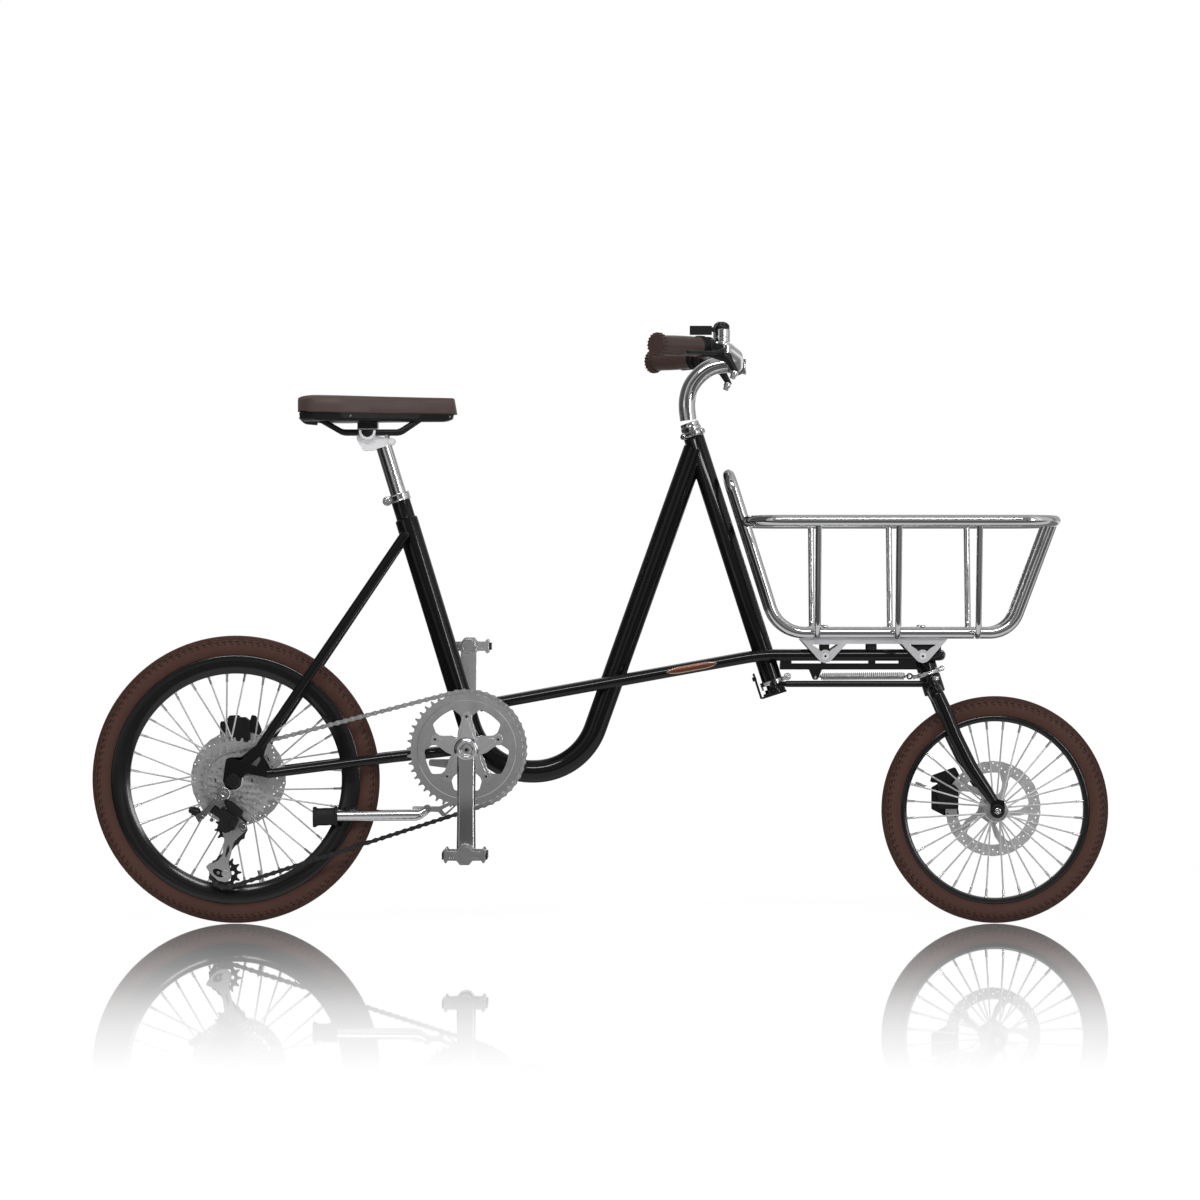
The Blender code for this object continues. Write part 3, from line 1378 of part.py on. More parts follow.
def saddle_cushion(parent):
    """A crowned top, wide at the back, from a coarse half cage mirrored and subdivided."""
    stations = (
        (-0.5050, 0.0500, 0.8760, 0.8530),
        (-0.4850, 0.0820, 0.8800, 0.8500),
        (-0.4300, 0.0830, 0.8790, 0.8480),
        (-0.3650, 0.0520, 0.8770, 0.8480),
        (-0.3000, 0.0270, 0.8760, 0.8490),
        (-0.2410, 0.0190, 0.8720, 0.8510),
    )
    work = bmesh.new()
    rings = []
    for x, half, top, low in stations:
        ring = [(0, top), (half * 0.60, top - 0.0010), (half, top - 0.0110)]
        ring += [(half, low), (half * 0.55, low), (0, low)]
        rings.append([work.verts.new((x, y, z)) for y, z in ring])
    for first, second in zip(rings, rings[1:]):
        for number in range(len(first) - 1):
            work.faces.new((first[number], first[number + 1], second[number + 1], second[number]))
    work.faces.new(rings[0])
    work.faces.new(list(reversed(rings[-1])))
    mesh = bpy.data.meshes.new("cushion")
    work.to_mesh(mesh)
    work.free()
    made = mesh_object("cushion", mesh)
    mirror = made.modifiers.new("mirror", "MIRROR")
    mirror.use_axis = (False, True, False)
    mirror.merge_threshold = 0.0001
    smooth = made.modifiers.new("smooth", "SUBSURF")
    smooth.levels = 1
    smooth.render_levels = 1
    return part("saddle_cushion", baked(made), "leather", parent)


def saddle_base(parent):
    """The dark shell under the cushion, with its two rails."""
    outline = [(-0.4960, 0.0), (-0.4930, 0.0560), (-0.4700, 0.0720), (-0.4300, 0.0730), (-0.3700, 0.0440),
               (-0.3000, 0.0200), (-0.2500, 0.0120)]
    loop = outline + [(x, -y) for x, y in reversed(outline[1:])]
    work = bmesh.new()
    for z, scale in ((0.8465, 1.0), (0.8370, 0.86)):
        for x, y in loop:
            work.verts.new((-0.40 + (x + 0.40) * scale, y * scale, z))
    work.verts.ensure_lookup_table()
    count = len(loop)
    for number in range(count):
        after = (number + 1) % count
        work.faces.new([work.verts[spot] for spot in (number, after, count + after, count + number)])
    work.faces.new(work.verts[:count])
    work.faces.new(work.verts[count:])
    mesh = bpy.data.meshes.new("shell")
    work.to_mesh(mesh)
    work.free()
    shell = mesh_object("shell", cleaned(mesh))
    rails = []
    for side in (-1, 1):
        corners = [(-0.4700, side * 0.0300, 0.8420), (-0.4300, side * 0.0220, 0.8190),
                   (-0.3350, side * 0.0220, 0.8190), (-0.3000, side * 0.0120, 0.8420)]
        rails.append(tube(rounded(corners, 0.020, 1), SADDLE_RAIL, 1))
    x, z = SADDLE_CLAMP
    clamp = cylinder(SADDLE_CLAMP_RADIUS, (x, -0.0280, z), (x, 0.0280, z), 12)
    return part("saddle_base", union(shell, together(rails), clamp), "plastic", parent)


# Derailleur and kickstand


def derailleur_body():
    x, z = -0.6219, 0.2191
    bolt = cylinder(0.0075, (x, -0.0730, z), (x, -0.0900, z), 8)
    outline = [(0.0060, 0.0060), (-0.0260, 0.0020), (-0.0280, -0.0160), (-0.0080, -0.0200), (0.0080, -0.0040)]
    link = plate([(x + out, z + up) for out, up in outline], 0.0070, -0.0800)
    corners = [(-0.6430, 0.2090), (-0.6250, 0.2060), (-0.5860, 0.1850), (-0.5860, 0.1620),
               (-0.6080, 0.1500), (-0.6440, 0.1800)]
    body = plate(corners, 0.0180, -0.0730)
    profile = [(0.0, 0.0), (0.0040, 0.0), (0.0040, 0.0120), (0.0070, 0.0140), (0.0050, 0.0300),
               (0.0, 0.0300)]
    barrel = turned(profile, (-0.6500, -0.0800, 0.1930), (-1.0, 0, 0.0), 8)
    neck = cylinder(0.0040, (-0.6380, -0.0800, 0.1930), (-0.6520, -0.0800, 0.1930), 6)
    x, z = UPPER_PULLEY
    knuckle = cylinder(0.0090, (x, -0.0680, z), (x, CHAIN_Y - 0.0094, z), 8)
    return part("derailleur_body", union(link, bolt, body, neck, barrel, knuckle), "plastic")


def derailleur_cage(parent):
    outline = [(-0.0140, 0.0100), (0.0200, 0.0130), (0.0880, 0.0090), (0.0900, -0.0070), (0.0300, -0.0050),
               (-0.0140, -0.0100)]
    slot = [(0.0240, 0.0060), (0.0560, 0.0060), (0.0560, 0.0000), (0.0240, 0.0000)]
    edge = [polar(UPPER_PULLEY, CAGE_ANGLE, along, across) for along, across in outline]
    hole = [polar(UPPER_PULLEY, CAGE_ANGLE, along, across) for along, across in slot]
    shapes = [plate(edge, 0.0020, CHAIN_Y + offset, [hole]) for offset in (-0.0065, 0.0065)]
    pins = []
    for centre in (UPPER_PULLEY, LOWER_PULLEY):
        start = (centre[0], CHAIN_Y - 0.0090, centre[1])
        end = (centre[0], CHAIN_Y + 0.0090, centre[1])
        pins.append(cylinder(PULLEY_PIN, start, end, 8))
    return part("derailleur_cage", union(shapes[0], *pins, shapes[1]), "alloy", parent)


def kickstand_leg(parent):
    y = -0.0305
    leg = cylinder(0.0096, (-0.2990, y, 0.1815), (-0.4370, y, 0.1805), 12)
    end = cylinder(0.0070, (-0.2880, y - 0.0060, 0.1920), (-0.2880, y + 0.0118, 0.1920), 12)
    neck = box((0.0300, 0.0120, 0.0120), (-0.2960, y, 0.1875), math.radians(-25))
    return part("kickstand_leg", union(leg, end, neck), "alloy", parent)


def kickstand_foot(parent):
    y = -0.0300
    shape = plate(
        [(-0.4375, 0.1690), (-0.4600, 0.1665), (-0.4760, 0.1620), (-0.4785, 0.1650), (-0.4785, 0.1940),
         (-0.4760, 0.1970), (-0.4600, 0.1955), (-0.4375, 0.1920)],
        0.0205, y,
    )
    return part("kickstand_foot", shape, "plastic", parent)


# Assembly


def frame():
    seat_tube()
    down_tube()
    head_tube()
    bottom_bracket_shell()
    cargo_rails()
    front_head_tube()
    for side, word in ((-1, "right"), (1, "left")):
        seat_stay("seat_stay_" + word, side)
        chain_stay("chain_stay_" + word, side)
    seat_clamp()
    headset_upper()
    axle_rod("rear_axle", REAR_AXLE, REAR_DROPOUT_Y, 0.0130)
    shape = caliper(REAR_AXLE, (-0.6050, 0.3220), REAR_ROTOR_Y, (-0.5600, 0.3250))
    part("rear_brake_caliper", shape, "plastic")
    basket_rim()
    basket_frame()
    basket_bracket()
    steering_spring()


def wheels(front_parent):
    rear = pivot("rear_wheel_pivot", (REAR_AXLE[0], 0, REAR_AXLE[1]))
    tyre("rear_tyre", REAR_AXLE, REAR_RADIUS, rear)
    rim("rear_rim", REAR_AXLE, REAR_RADIUS, RIM_DEPTH_REAR, rear)
    rear_hub(rear)
    rotor("rear_brake_rotor", REAR_AXLE, REAR_ROTOR_Y, rear)
    front = pivot("front_wheel_pivot", (FRONT_AXLE[0], 0, FRONT_AXLE[1]))
    tyre("front_tyre", FRONT_AXLE, FRONT_RADIUS, front)
    rim("front_rim", FRONT_AXLE, FRONT_RADIUS, RIM_DEPTH_FRONT, front)
    front_hub(front)
    rotor("front_brake_rotor", FRONT_AXLE, FRONT_ROTOR_Y, front)


def drivetrain():
    crank = pivot("crank_pivot", (BOTTOM_BRACKET[0], 0, BOTTOM_BRACKET[1]))
    crank_spindle(crank)
    chainring(crank)
    crank_arm_right(crank)
    crank_arm_left(crank)
    for side, word in ((-1, "right"), (1, "left")):
        x, z = BOTTOM_BRACKET
        spot = pivot("pedal_pivot_" + word, (x, side * PEDAL_Y, z + side * CRANK_LENGTH))
        pedal("pedal_" + word, side, spot)
    cassette(pivot("cassette_pivot", (REAR_AXLE[0], CHAIN_Y, REAR_AXLE[1])))
    derailleur_body()
    cage = pivot("cage_pivot", (UPPER_PULLEY[0], CHAIN_Y, UPPER_PULLEY[1]))
    derailleur_cage(cage)
    pulley("jockey_upper", 2, cage)
    pulley("jockey_lower", 3, pivot("lower_pulley_pivot", (LOWER_PULLEY[0], CHAIN_Y, LOWER_PULLEY[1])))
    chain()


def steering():
    column = pivot("steering_pivot", on_head(0))
    steerer_tube(column)
    ring_clamp("steerer_ring", on_head, RING_H, 1, column)
    stem(column)
    handlebar(column)
    for side, word in ((-1, "right"), (1, "left")):
        grip("grip_" + word, side, column)
        brake_mount("brake_mount_" + word, side, column)
        brake_lever("brake_lever_" + word, side, pivot("brake_lever_pivot_" + word, lever_pivot(side)))
    shifter_housing(column)
    shift_lever(pivot("shift_pivot", (0.1980, -0.1700, 0.9800)))
    link_rod(pivot("link_pivot", on_head((LINK_Z - HEAD_FOOT[1]) / HEAD_UP.z, LINK_Y)))
    turn = pivot("fork_pivot", on_fork(0))
    fork(turn)
    ring_clamp("fork_ring", on_fork, 0.0, -1, turn, SPRING_EYE)
    axle_rod("front_axle", FRONT_AXLE, FRONT_DROPOUT_Y, 0.0110, turn)
    shape = caliper(FRONT_AXLE, (0.5830, 0.2100), FRONT_ROTOR_Y, (0.6050, 0.2470))
    part("front_brake_caliper", shape, "plastic", turn)
    return turn


def contact():
    saddle = pivot("saddle_pivot", on_seat(SEAT_TOP_H))
    seatpost(saddle)
    saddle_cushion(saddle)
    saddle_base(saddle)
    stand = pivot("kickstand_pivot", (-0.2880, -0.0305, 0.1920))
    kickstand_leg(stand)
    kickstand_foot(stand)


frame()
wheels(steering())
drivetrain()
contact()
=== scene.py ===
"""A black compact cargo bicycle with a plated basket, brown tyres, grips and saddle.

The file follows the bicycle as it is put together. Metres, X forward, Y to the rider's
left, Z up, origin on the ground below the middle.
"""

import math

import bmesh
import bpy
import numpy as np
from mathutils.geometry import tessellate_polygon
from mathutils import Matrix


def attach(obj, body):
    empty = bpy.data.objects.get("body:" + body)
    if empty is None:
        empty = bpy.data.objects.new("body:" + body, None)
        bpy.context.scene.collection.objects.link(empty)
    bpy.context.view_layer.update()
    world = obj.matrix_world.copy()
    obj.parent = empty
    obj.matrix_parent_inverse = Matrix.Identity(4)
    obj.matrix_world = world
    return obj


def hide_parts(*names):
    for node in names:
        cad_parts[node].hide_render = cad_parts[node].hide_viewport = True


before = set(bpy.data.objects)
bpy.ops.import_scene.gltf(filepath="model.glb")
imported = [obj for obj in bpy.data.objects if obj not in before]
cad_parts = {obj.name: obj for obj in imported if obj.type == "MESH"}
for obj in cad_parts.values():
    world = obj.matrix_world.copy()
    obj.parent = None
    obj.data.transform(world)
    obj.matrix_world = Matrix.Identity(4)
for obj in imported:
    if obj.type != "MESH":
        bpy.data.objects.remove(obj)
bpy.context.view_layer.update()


# The studio: a long lens eight metres off on the chain side, at half the bicycle's height.
# A white floor that mirrors the bicycle and fades towards the camera, soft lamps, a white room,
# and grey boards and ground tones that only reflections on the bicycle see. They darken the metals.

camera = bpy.data.objects.new("camera", bpy.data.cameras.new("camera"))
camera.data.lens = 143.7
camera.data.sensor_width = 36.0
camera.data.clip_end = 60.0
camera.location = (-0.0006, -8.0, 0.5394)
camera.rotation_euler = (math.radians(90), 0, 0)
bpy.context.scene.collection.objects.link(camera)
bpy.context.scene.camera = camera
bpy.context.scene.view_settings.view_transform = "Standard"


def seen_rays(tree):
    """1 for rays of the camera, of reflections and through clear things, 0 for light on the object."""
    rays = tree.nodes.new("ShaderNodeLightPath")
    first = tree.nodes.new("ShaderNodeMath")
    second = tree.nodes.new("ShaderNodeMath")
    first.operation = second.operation = "MAXIMUM"
    tree.links.new(rays.outputs["Is Camera Ray"], first.inputs[0])
    tree.links.new(rays.outputs["Is Glossy Ray"], first.inputs[1])
    tree.links.new(first.outputs["Value"], second.inputs[0])
    tree.links.new(rays.outputs["Is Transmission Ray"], second.inputs[1])
    return second.outputs["Value"]


def stage_sheet(name, quads, look):
    """Flat four-cornered sheets, each given by its corners in turn."""
    mesh = bpy.data.meshes.new(name)
    corners = [corner for quad in quads for corner in quad]
    mesh.from_pydata(corners, [], [tuple(range(4 * number, 4 * number + 4)) for number in range(len(quads))])
    mesh.materials.append(look)
    sheet = bpy.data.objects.new(name, mesh)
    bpy.context.scene.collection.objects.link(sheet)
    return sheet


floor_look = bpy.data.materials.new("pale_floor")
floor_look.use_nodes = True
tree = floor_look.node_tree
tree.nodes.clear()
pale = tree.nodes.new("ShaderNodeBsdfDiffuse")
pale.inputs["Color"].default_value = (0.82, 0.82, 0.82, 1)
shaded = tree.nodes.new("ShaderNodeBsdfDiffuse")
shaded.inputs["Color"].default_value = (0.08, 0.08, 0.08, 1)
white = tree.nodes.new("ShaderNodeEmission")
lit = tree.nodes.new("ShaderNodeAddShader")
mirror = tree.nodes.new("ShaderNodeBsdfGlossy")
mirror.inputs["Roughness"].default_value = 0.015
mirror.inputs["Color"].default_value = (1, 1, 1, 1)
sheen = tree.nodes.new("ShaderNodeMixShader")
choice = tree.nodes.new("ShaderNodeMixShader")
place = tree.nodes.new("ShaderNodeTexCoord")
split = tree.nodes.new("ShaderNodeSeparateXYZ")
near = tree.nodes.new("ShaderNodeMath")
near.operation = "ABSOLUTE"
fade = tree.nodes.new("ShaderNodeValToRGB")
fade.color_ramp.elements[0].position = 0.0
fade.color_ramp.elements[0].color = (0, 0, 0, 1)
fade.color_ramp.elements[1].position = 0.95
fade.color_ramp.elements[1].color = (0, 0, 0, 1)
for spot, strength in ((0.08, 0.045), (0.24, 0.20), (0.33, 0.33), (0.43, 0.53), (0.55, 0.71), (0.68, 0.84),
                       (0.84, 0.92)):
    stop = fade.color_ramp.elements.new(spot)
    stop.color = (strength, strength, strength, 1)
reach = tree.nodes.new("ShaderNodeMapRange")
reach.inputs["From Min"].default_value = -2.7
reach.inputs["From Max"].default_value = 0.5
rise = tree.nodes.new("ShaderNodeMapRange")
rise.inputs["From Min"].default_value = 1.8
rise.inputs["From Max"].default_value = 4.5
rise.inputs["To Min"].default_value = 0.90
rise.inputs["To Max"].default_value = 1.0
ground_reach = tree.nodes.new("ShaderNodeMapRange")
ground_reach.inputs["From Min"].default_value = -12.0
ground_reach.inputs["From Max"].default_value = 3.0
ground_tone = tree.nodes.new("ShaderNodeValToRGB")
for spot, tone in ((0.20, 0.40), (0.34, 0.34), (0.41, 0.20), (0.51, 0.12), (0.535, 0.03), (0.64, 0.03), (0.66, 0.20),
                   (0.70, 0.20), (0.71, 0.10), (0.753, 0.10),
                   (0.757, 0.70), (0.804, 0.70), (0.807, 0.22), (0.90, 0.22)):
    stop = ground_tone.color_ramp.elements.new(spot)
    stop.color = (tone, tone, tone, 1)
ground_tone.color_ramp.elements[0].color = (0.55, 0.55, 0.55, 1)
ends = tree.nodes.new("ShaderNodeMapRange")
ends.inputs["From Min"].default_value = -1.15
ends.inputs["From Max"].default_value = -0.95
ends.inputs["To Min"].default_value = 0.16
ground = tree.nodes.new("ShaderNodeEmission")
rays = tree.nodes.new("ShaderNodeLightPath")
mirrored = tree.nodes.new("ShaderNodeMixShader")
out = tree.nodes.new("ShaderNodeOutputMaterial")
tree.links.new(place.outputs["Object"], split.inputs["Vector"])
tree.links.new(split.outputs["Y"], ground_reach.inputs["Value"])
tree.links.new(ground_reach.outputs["Result"], ground_tone.inputs["Fac"])
tree.links.new(split.outputs["X"], ends.inputs["Value"])
tree.links.new(ground_tone.outputs["Color"], ground.inputs["Color"])
tree.links.new(ends.outputs["Result"], ground.inputs["Strength"])
tree.links.new(split.outputs["Y"], near.inputs[0])
tree.links.new(split.outputs["Y"], reach.inputs["Value"])
tree.links.new(reach.outputs["Result"], fade.inputs["Fac"])
tree.links.new(near.outputs["Value"], rise.inputs["Value"])
tree.links.new(rise.outputs["Result"], white.inputs["Strength"])
tree.links.new(white.outputs["Emission"], lit.inputs[0])
tree.links.new(shaded.outputs["BSDF"], lit.inputs[1])
tree.links.new(fade.outputs["Color"], sheen.inputs["Fac"])
tree.links.new(lit.outputs["Shader"], sheen.inputs[1])
tree.links.new(mirror.outputs["BSDF"], sheen.inputs[2])
tree.links.new(seen_rays(tree), choice.inputs["Fac"])
tree.links.new(pale.outputs["BSDF"], choice.inputs[1])
tree.links.new(rays.outputs["Is Glossy Ray"], mirrored.inputs["Fac"])
tree.links.new(sheen.outputs["Shader"], mirrored.inputs[1])
tree.links.new(ground.outputs["Emission"], mirrored.inputs[2])
tree.links.new(mirrored.outputs["Shader"], choice.inputs[2])
tree.links.new(choice.outputs["Shader"], out.inputs["Surface"])
floor = stage_sheet("floor", [[(-16, -14, 0), (16, -14, 0), (16, 16, 0), (-16, 16, 0)]], floor_look)
floor.location.z = -0.0006

world = bpy.data.worlds.new("studio")
world.use_nodes = True
bpy.context.scene.world = world
tree = world.node_tree
tree.nodes["Background"].inputs["Color"].default_value = (0.80, 0.80, 0.81, 1)
tree.nodes["Background"].inputs["Strength"].default_value = 0.62
backdrop = tree.nodes.new("ShaderNodeBackground")
backdrop.inputs["Color"].default_value = (1, 1, 1, 1)
choice = tree.nodes.new("ShaderNodeMixShader")
tree.links.new(seen_rays(tree), choice.inputs["Fac"])
tree.links.new(tree.nodes["Background"].outputs["Background"], choice.inputs[1])
tree.links.new(backdrop.outputs["Background"], choice.inputs[2])
tree.links.new(choice.outputs["Shader"], tree.nodes["World Output"].inputs["Surface"])

for name, place, aim, size, power in (
    ("key_lamp", (-0.2, -4.4, 3.9), (0.0, 0.0, 0.5), (3.4, 0.7), 120.0),
    ("side_lamp", (3.5, -4.0, 1.6), (0.0, 0.0, 0.5), (0.35, 2.6), 55.0),
    ("far_side_lamp", (-4.6, -2.6, 1.8), (0.0, 0.0, 0.5), (0.5, 2.6), 55.0),
    ("top_lamp", (0.0, 1.2, 3.8), (0.0, 0.0, 0.4), (3.6, 0.8), 80.0),
    ("back_lamp", (-1.5, 3.8, 2.4), (0.0, 0.0, 0.4), (2.0, 1.4), 50.0),
):
    lamp = bpy.data.objects.new(name, bpy.data.lights.new(name, "AREA"))
    lamp.data.shape = "RECTANGLE"
    lamp.data.size, lamp.data.size_y = size
    lamp.data.energy = power
    lamp.location = place
    way = np.array(aim) - np.array(place)
    lamp.rotation_euler = (math.acos(-way[2] / np.linalg.norm(way)), 0, math.atan2(way[1], way[0]) - math.pi / 2)
    lamp.visible_glossy = name in ("key_lamp", "side_lamp")
    bpy.context.scene.collection.objects.link(lamp)


FLOOR_REACH = 0.002


def board(side_from, side_to, low, high, reach=11.0):
    """Corners of a board from two angles round the bike (0 is the camera's) and two heights in degrees."""
    corners = []
    for turn, rise in ((side_from, low), (side_to, low), (side_to, high), (side_from, high)):
        turn, rise = math.radians(turn), math.radians(rise)
        corners.append((reach * math.sin(turn) * math.cos(rise), -reach * math.cos(turn) * math.cos(rise),
                        0.5 + reach * math.sin(rise)))
    return corners


def strip(near_y, near_z, far_y, far_z, half=8.0):
    """Corners of a long board that runs along the bicycle, from one edge to the other across it."""
    return [(-half, near_y, near_z), (half, near_y, near_z), (half, far_y, far_z), (-half, far_y, far_z)]


for name, level, quads in (
    ("dark_boards", 0.10, [board(-115, -52, -3, 70), board(20, 27, -3, 8), board(-30, 20, 2.2, 8)]),
    ("low_grey_boards", 0.24, [board(-160, -115, -3, 60), board(104, 116, -3, 60), strip(-11, 2.1, -11, 11.6),
                               strip(-11, 11.6, -6.5, 11.6)]),
    ("grey_boards", 0.48, [board(-52, 8, -3, 2.2), board(-52, -40, 8, 70), board(40, 52, 8, 70),
                           board(116, 160, -3, 60), strip(-6.5, 11.6, 14, 11.6)]),
    ("pale_boards", 0.66, [board(8, 20, -3, 2.2), board(27, 42, -3, 8), board(66, 104, -3, 70)]),
):
    grey = bpy.data.materials.new(name)
    grey.use_nodes = True
    tree = grey.node_tree
    tree.nodes.clear()
    glow = tree.nodes.new("ShaderNodeEmission")
    glow.inputs["Color"].default_value = (level, level, level, 1)
    white = tree.nodes.new("ShaderNodeEmission")
    white.inputs["Color"].default_value = (1, 1, 1, 1)
    # a ray that started on the floor finds white here, so that the floor mirrors only the bicycle
    place = tree.nodes.new("ShaderNodeNewGeometry")
    light_path = tree.nodes.new("ShaderNodeLightPath")
    start = tree.nodes.new("ShaderNodeVectorMath")
    start.operation = "MULTIPLY_ADD"
    tree.links.new(place.outputs["Incoming"], start.inputs[0])
    tree.links.new(light_path.outputs["Ray Length"], start.inputs[1])
    tree.links.new(place.outputs["Position"], start.inputs[2])
    split = tree.nodes.new("ShaderNodeSeparateXYZ")
    tree.links.new(start.outputs["Vector"], split.inputs["Vector"])
    from_floor = tree.nodes.new("ShaderNodeMath")
    from_floor.operation = "LESS_THAN"
    from_floor.inputs[1].default_value = FLOOR_REACH
    tree.links.new(split.outputs["Z"], from_floor.inputs[0])
    chosen = tree.nodes.new("ShaderNodeMixShader")
    tree.links.new(from_floor.outputs["Value"], chosen.inputs[0])
    tree.links.new(glow.outputs["Emission"], chosen.inputs[1])
    tree.links.new(white.outputs["Emission"], chosen.inputs[2])
    out = tree.nodes.new("ShaderNodeOutputMaterial")
    tree.links.new(chosen.outputs["Shader"], out.inputs["Surface"])
    boards = stage_sheet(name, quads, grey)
    boards.visible_camera = boards.visible_diffuse = boards.visible_shadow = False
    boards.visible_transmission = boards.visible_volume_scatter = False


# Main frame tubes: drawn steel, bent cold and brazed, under a deep black enamel with a
# clear coat. One tube runs from the seat tube's foot under the bottom bracket and up to
# the head tube; two thin rails carry on forward as one tube bent round the small head tube.

SEAT_TILT = math.radians(17.04)
HEAD_TILT = math.radians(17.85)
SEAT_UP = np.array((-math.sin(SEAT_TILT), 0, math.cos(SEAT_TILT)))
HEAD_UP = np.array((-math.sin(HEAD_TILT), 0, math.cos(HEAD_TILT)))
HEAD_OUT = np.array((math.cos(HEAD_TILT), 0, math.sin(HEAD_TILT)))
SEAT_OUT = np.array((math.cos(SEAT_TILT), 0, math.sin(SEAT_TILT)))
ALONG = np.array((1.0, 0.0, 0.0))
ACROSS = np.array((0.0, 1.0, 0.0))
UP = np.array((0.0, 0.0, 1.0))
SEAT_MARK = np.array((-0.2930, 0, 0.5728))
HEAD_FOOT = np.array((0.2935, 0, 0.3841))
FORK_MARK = np.array((0.5480, 0, 0.4177))
BOTTOM_BRACKET = np.array((-0.2220, 0, 0.2910))
RAIL_Y = 0.0289
RAIL_RADIUS = 0.0095


def on_seat(height, out=0.0, y=0.0):
    return SEAT_MARK + SEAT_UP * height + SEAT_OUT * out + ACROSS * y


def on_head(height, out=0.0, y=0.0):
    return HEAD_FOOT + HEAD_UP * height + HEAD_OUT * out + ACROSS * y


def on_fork(height, out=0.0, y=0.0):
    return FORK_MARK + HEAD_UP * height + HEAD_OUT * out + ACROSS * y


def bent_path(corners, radii, step=0.006):
    """Straight runs joined by arcs: each inner corner gives way to an arc of its radius, which
    starts radius / tan(half the angle) before it; the points lie about one step apart."""
    corners = [np.array(corner, float) for corner in corners]
    path = [corners[0][None]]
    for number in range(1, len(corners) - 1):
        corner = corners[number]
        before = corners[number - 1] - corner
        after = corners[number + 1] - corner
        before /= np.linalg.norm(before)
        after /= np.linalg.norm(after)
        half_angle = math.acos(np.clip(before @ after, -1, 1)) / 2
        radius = radii[number] if np.ndim(radii) else radii
        middle = corner + (before + after) / np.linalg.norm(before + after) * radius / math.sin(half_angle)
        start = corner + before * radius / math.tan(half_angle) - middle
        end = corner + after * radius / math.tan(half_angle) - middle
        sweep = math.pi - 2 * half_angle
        share = np.linspace(0, 1, max(4, int(radius * sweep / step) + 1))[:, None]
        path.append(middle + (start * np.sin((1 - share) * sweep) + end * np.sin(share * sweep)) / math.sin(sweep))
    path.append(corners[-1][None])
    return np.concatenate(path)


def skin(grid, closed_rows=False, ends=True):
    """Quads over a grid of points, whose columns close round it; open rows end in flat lids."""
    rows, columns = grid.shape[:2]
    number = np.arange(rows * columns).reshape(rows, columns)
    if closed_rows:
        number = np.concatenate([number, number[:1]])
    low, high = number[:-1], number[1:]
    quads = np.stack([low, high, np.roll(high, -1, 1), np.roll(low, -1, 1)], -1).reshape(-1, 4)
    faces = quads.tolist()
    if ends and not closed_rows:
        faces += [number[0].tolist(), number[-1][::-1].tolist()]
    return grid.reshape(-1, 3), faces


def carried(path, section, across=None, closed=False):
    """A section of (side, up) points carried along a path: each point is the path's plus side and
    up times two directions square to it, which turn as little as they can from row to row."""
    path = np.asarray(path, float)
    if closed:
        way = np.roll(path, -1, 0) - np.roll(path, 1, 0)
    else:
        way = np.gradient(path, axis=0)
    way /= np.linalg.norm(way, axis=1)[:, None]
    side = np.empty_like(path)
    first = np.array(across if across is not None else (0.0, 1.0, 0.0))
    if abs(first @ way[0]) > 0.95:
        first = np.array((0.3, 0.2, 0.93))
    for row, ahead in enumerate(way):
        first = first - ahead * (first @ ahead)
        first /= np.linalg.norm(first)
        side[row] = first
    up = np.cross(way, side)
    section = np.asarray(section, float)
    if section.ndim == 2:
        section = np.broadcast_to(section, (len(path), *section.shape))
    return skin(path[:, None] + section[..., :1] * side[:, None] + section[..., 1:] * up[:, None], closed)


def ring(sides):
    angle = np.arange(sides) * math.tau / sides
    return np.stack([np.cos(angle), np.sin(angle)], -1)


def tube(path, radius, sides=28, closed=False):
    """A circle carried along the path; radius may be one number or one for each point."""
    radius = np.broadcast_to(np.asarray(radius, float), (len(path),))
    return carried(path, ring(sides)[None] * radius[:, None, None], closed=closed)


def turned(profile, centre, axis, steps=72):
    """A profile of (radius, height) turned about an axis: centre + height along it + radius round it."""
    profile = np.array(profile, float)
    axis = np.array(axis, float) / np.linalg.norm(axis)
    first = np.cross(axis, (0.13, 0.99, 0.05) if abs(axis[1]) < 0.9 else (1.0, 0, 0))
    first /= np.linalg.norm(first)
    second = np.cross(axis, first)
    turn = ring(steps)
    round_it = turn[:, :1] * first + turn[:, 1:] * second
    grid = centre + profile[None, :, 1:] * axis + profile[None, :, :1] * round_it[:, None]
    return skin(grid, closed_rows=True)


def rod(start, end, radius, sides=20, edge=0.0006):
    """A straight round bar with a small chamfer at each end."""
    start = np.array(start, float)
    length = np.linalg.norm(np.array(end) - start)
    edge = min(edge, radius * 0.4, length * 0.3)
    profile = [(0, 0), (radius - edge, 0), (radius, edge), (radius, length - edge), (radius - edge, length),
               (0, length)]
    return turned(profile, start, np.array(end) - start, sides)


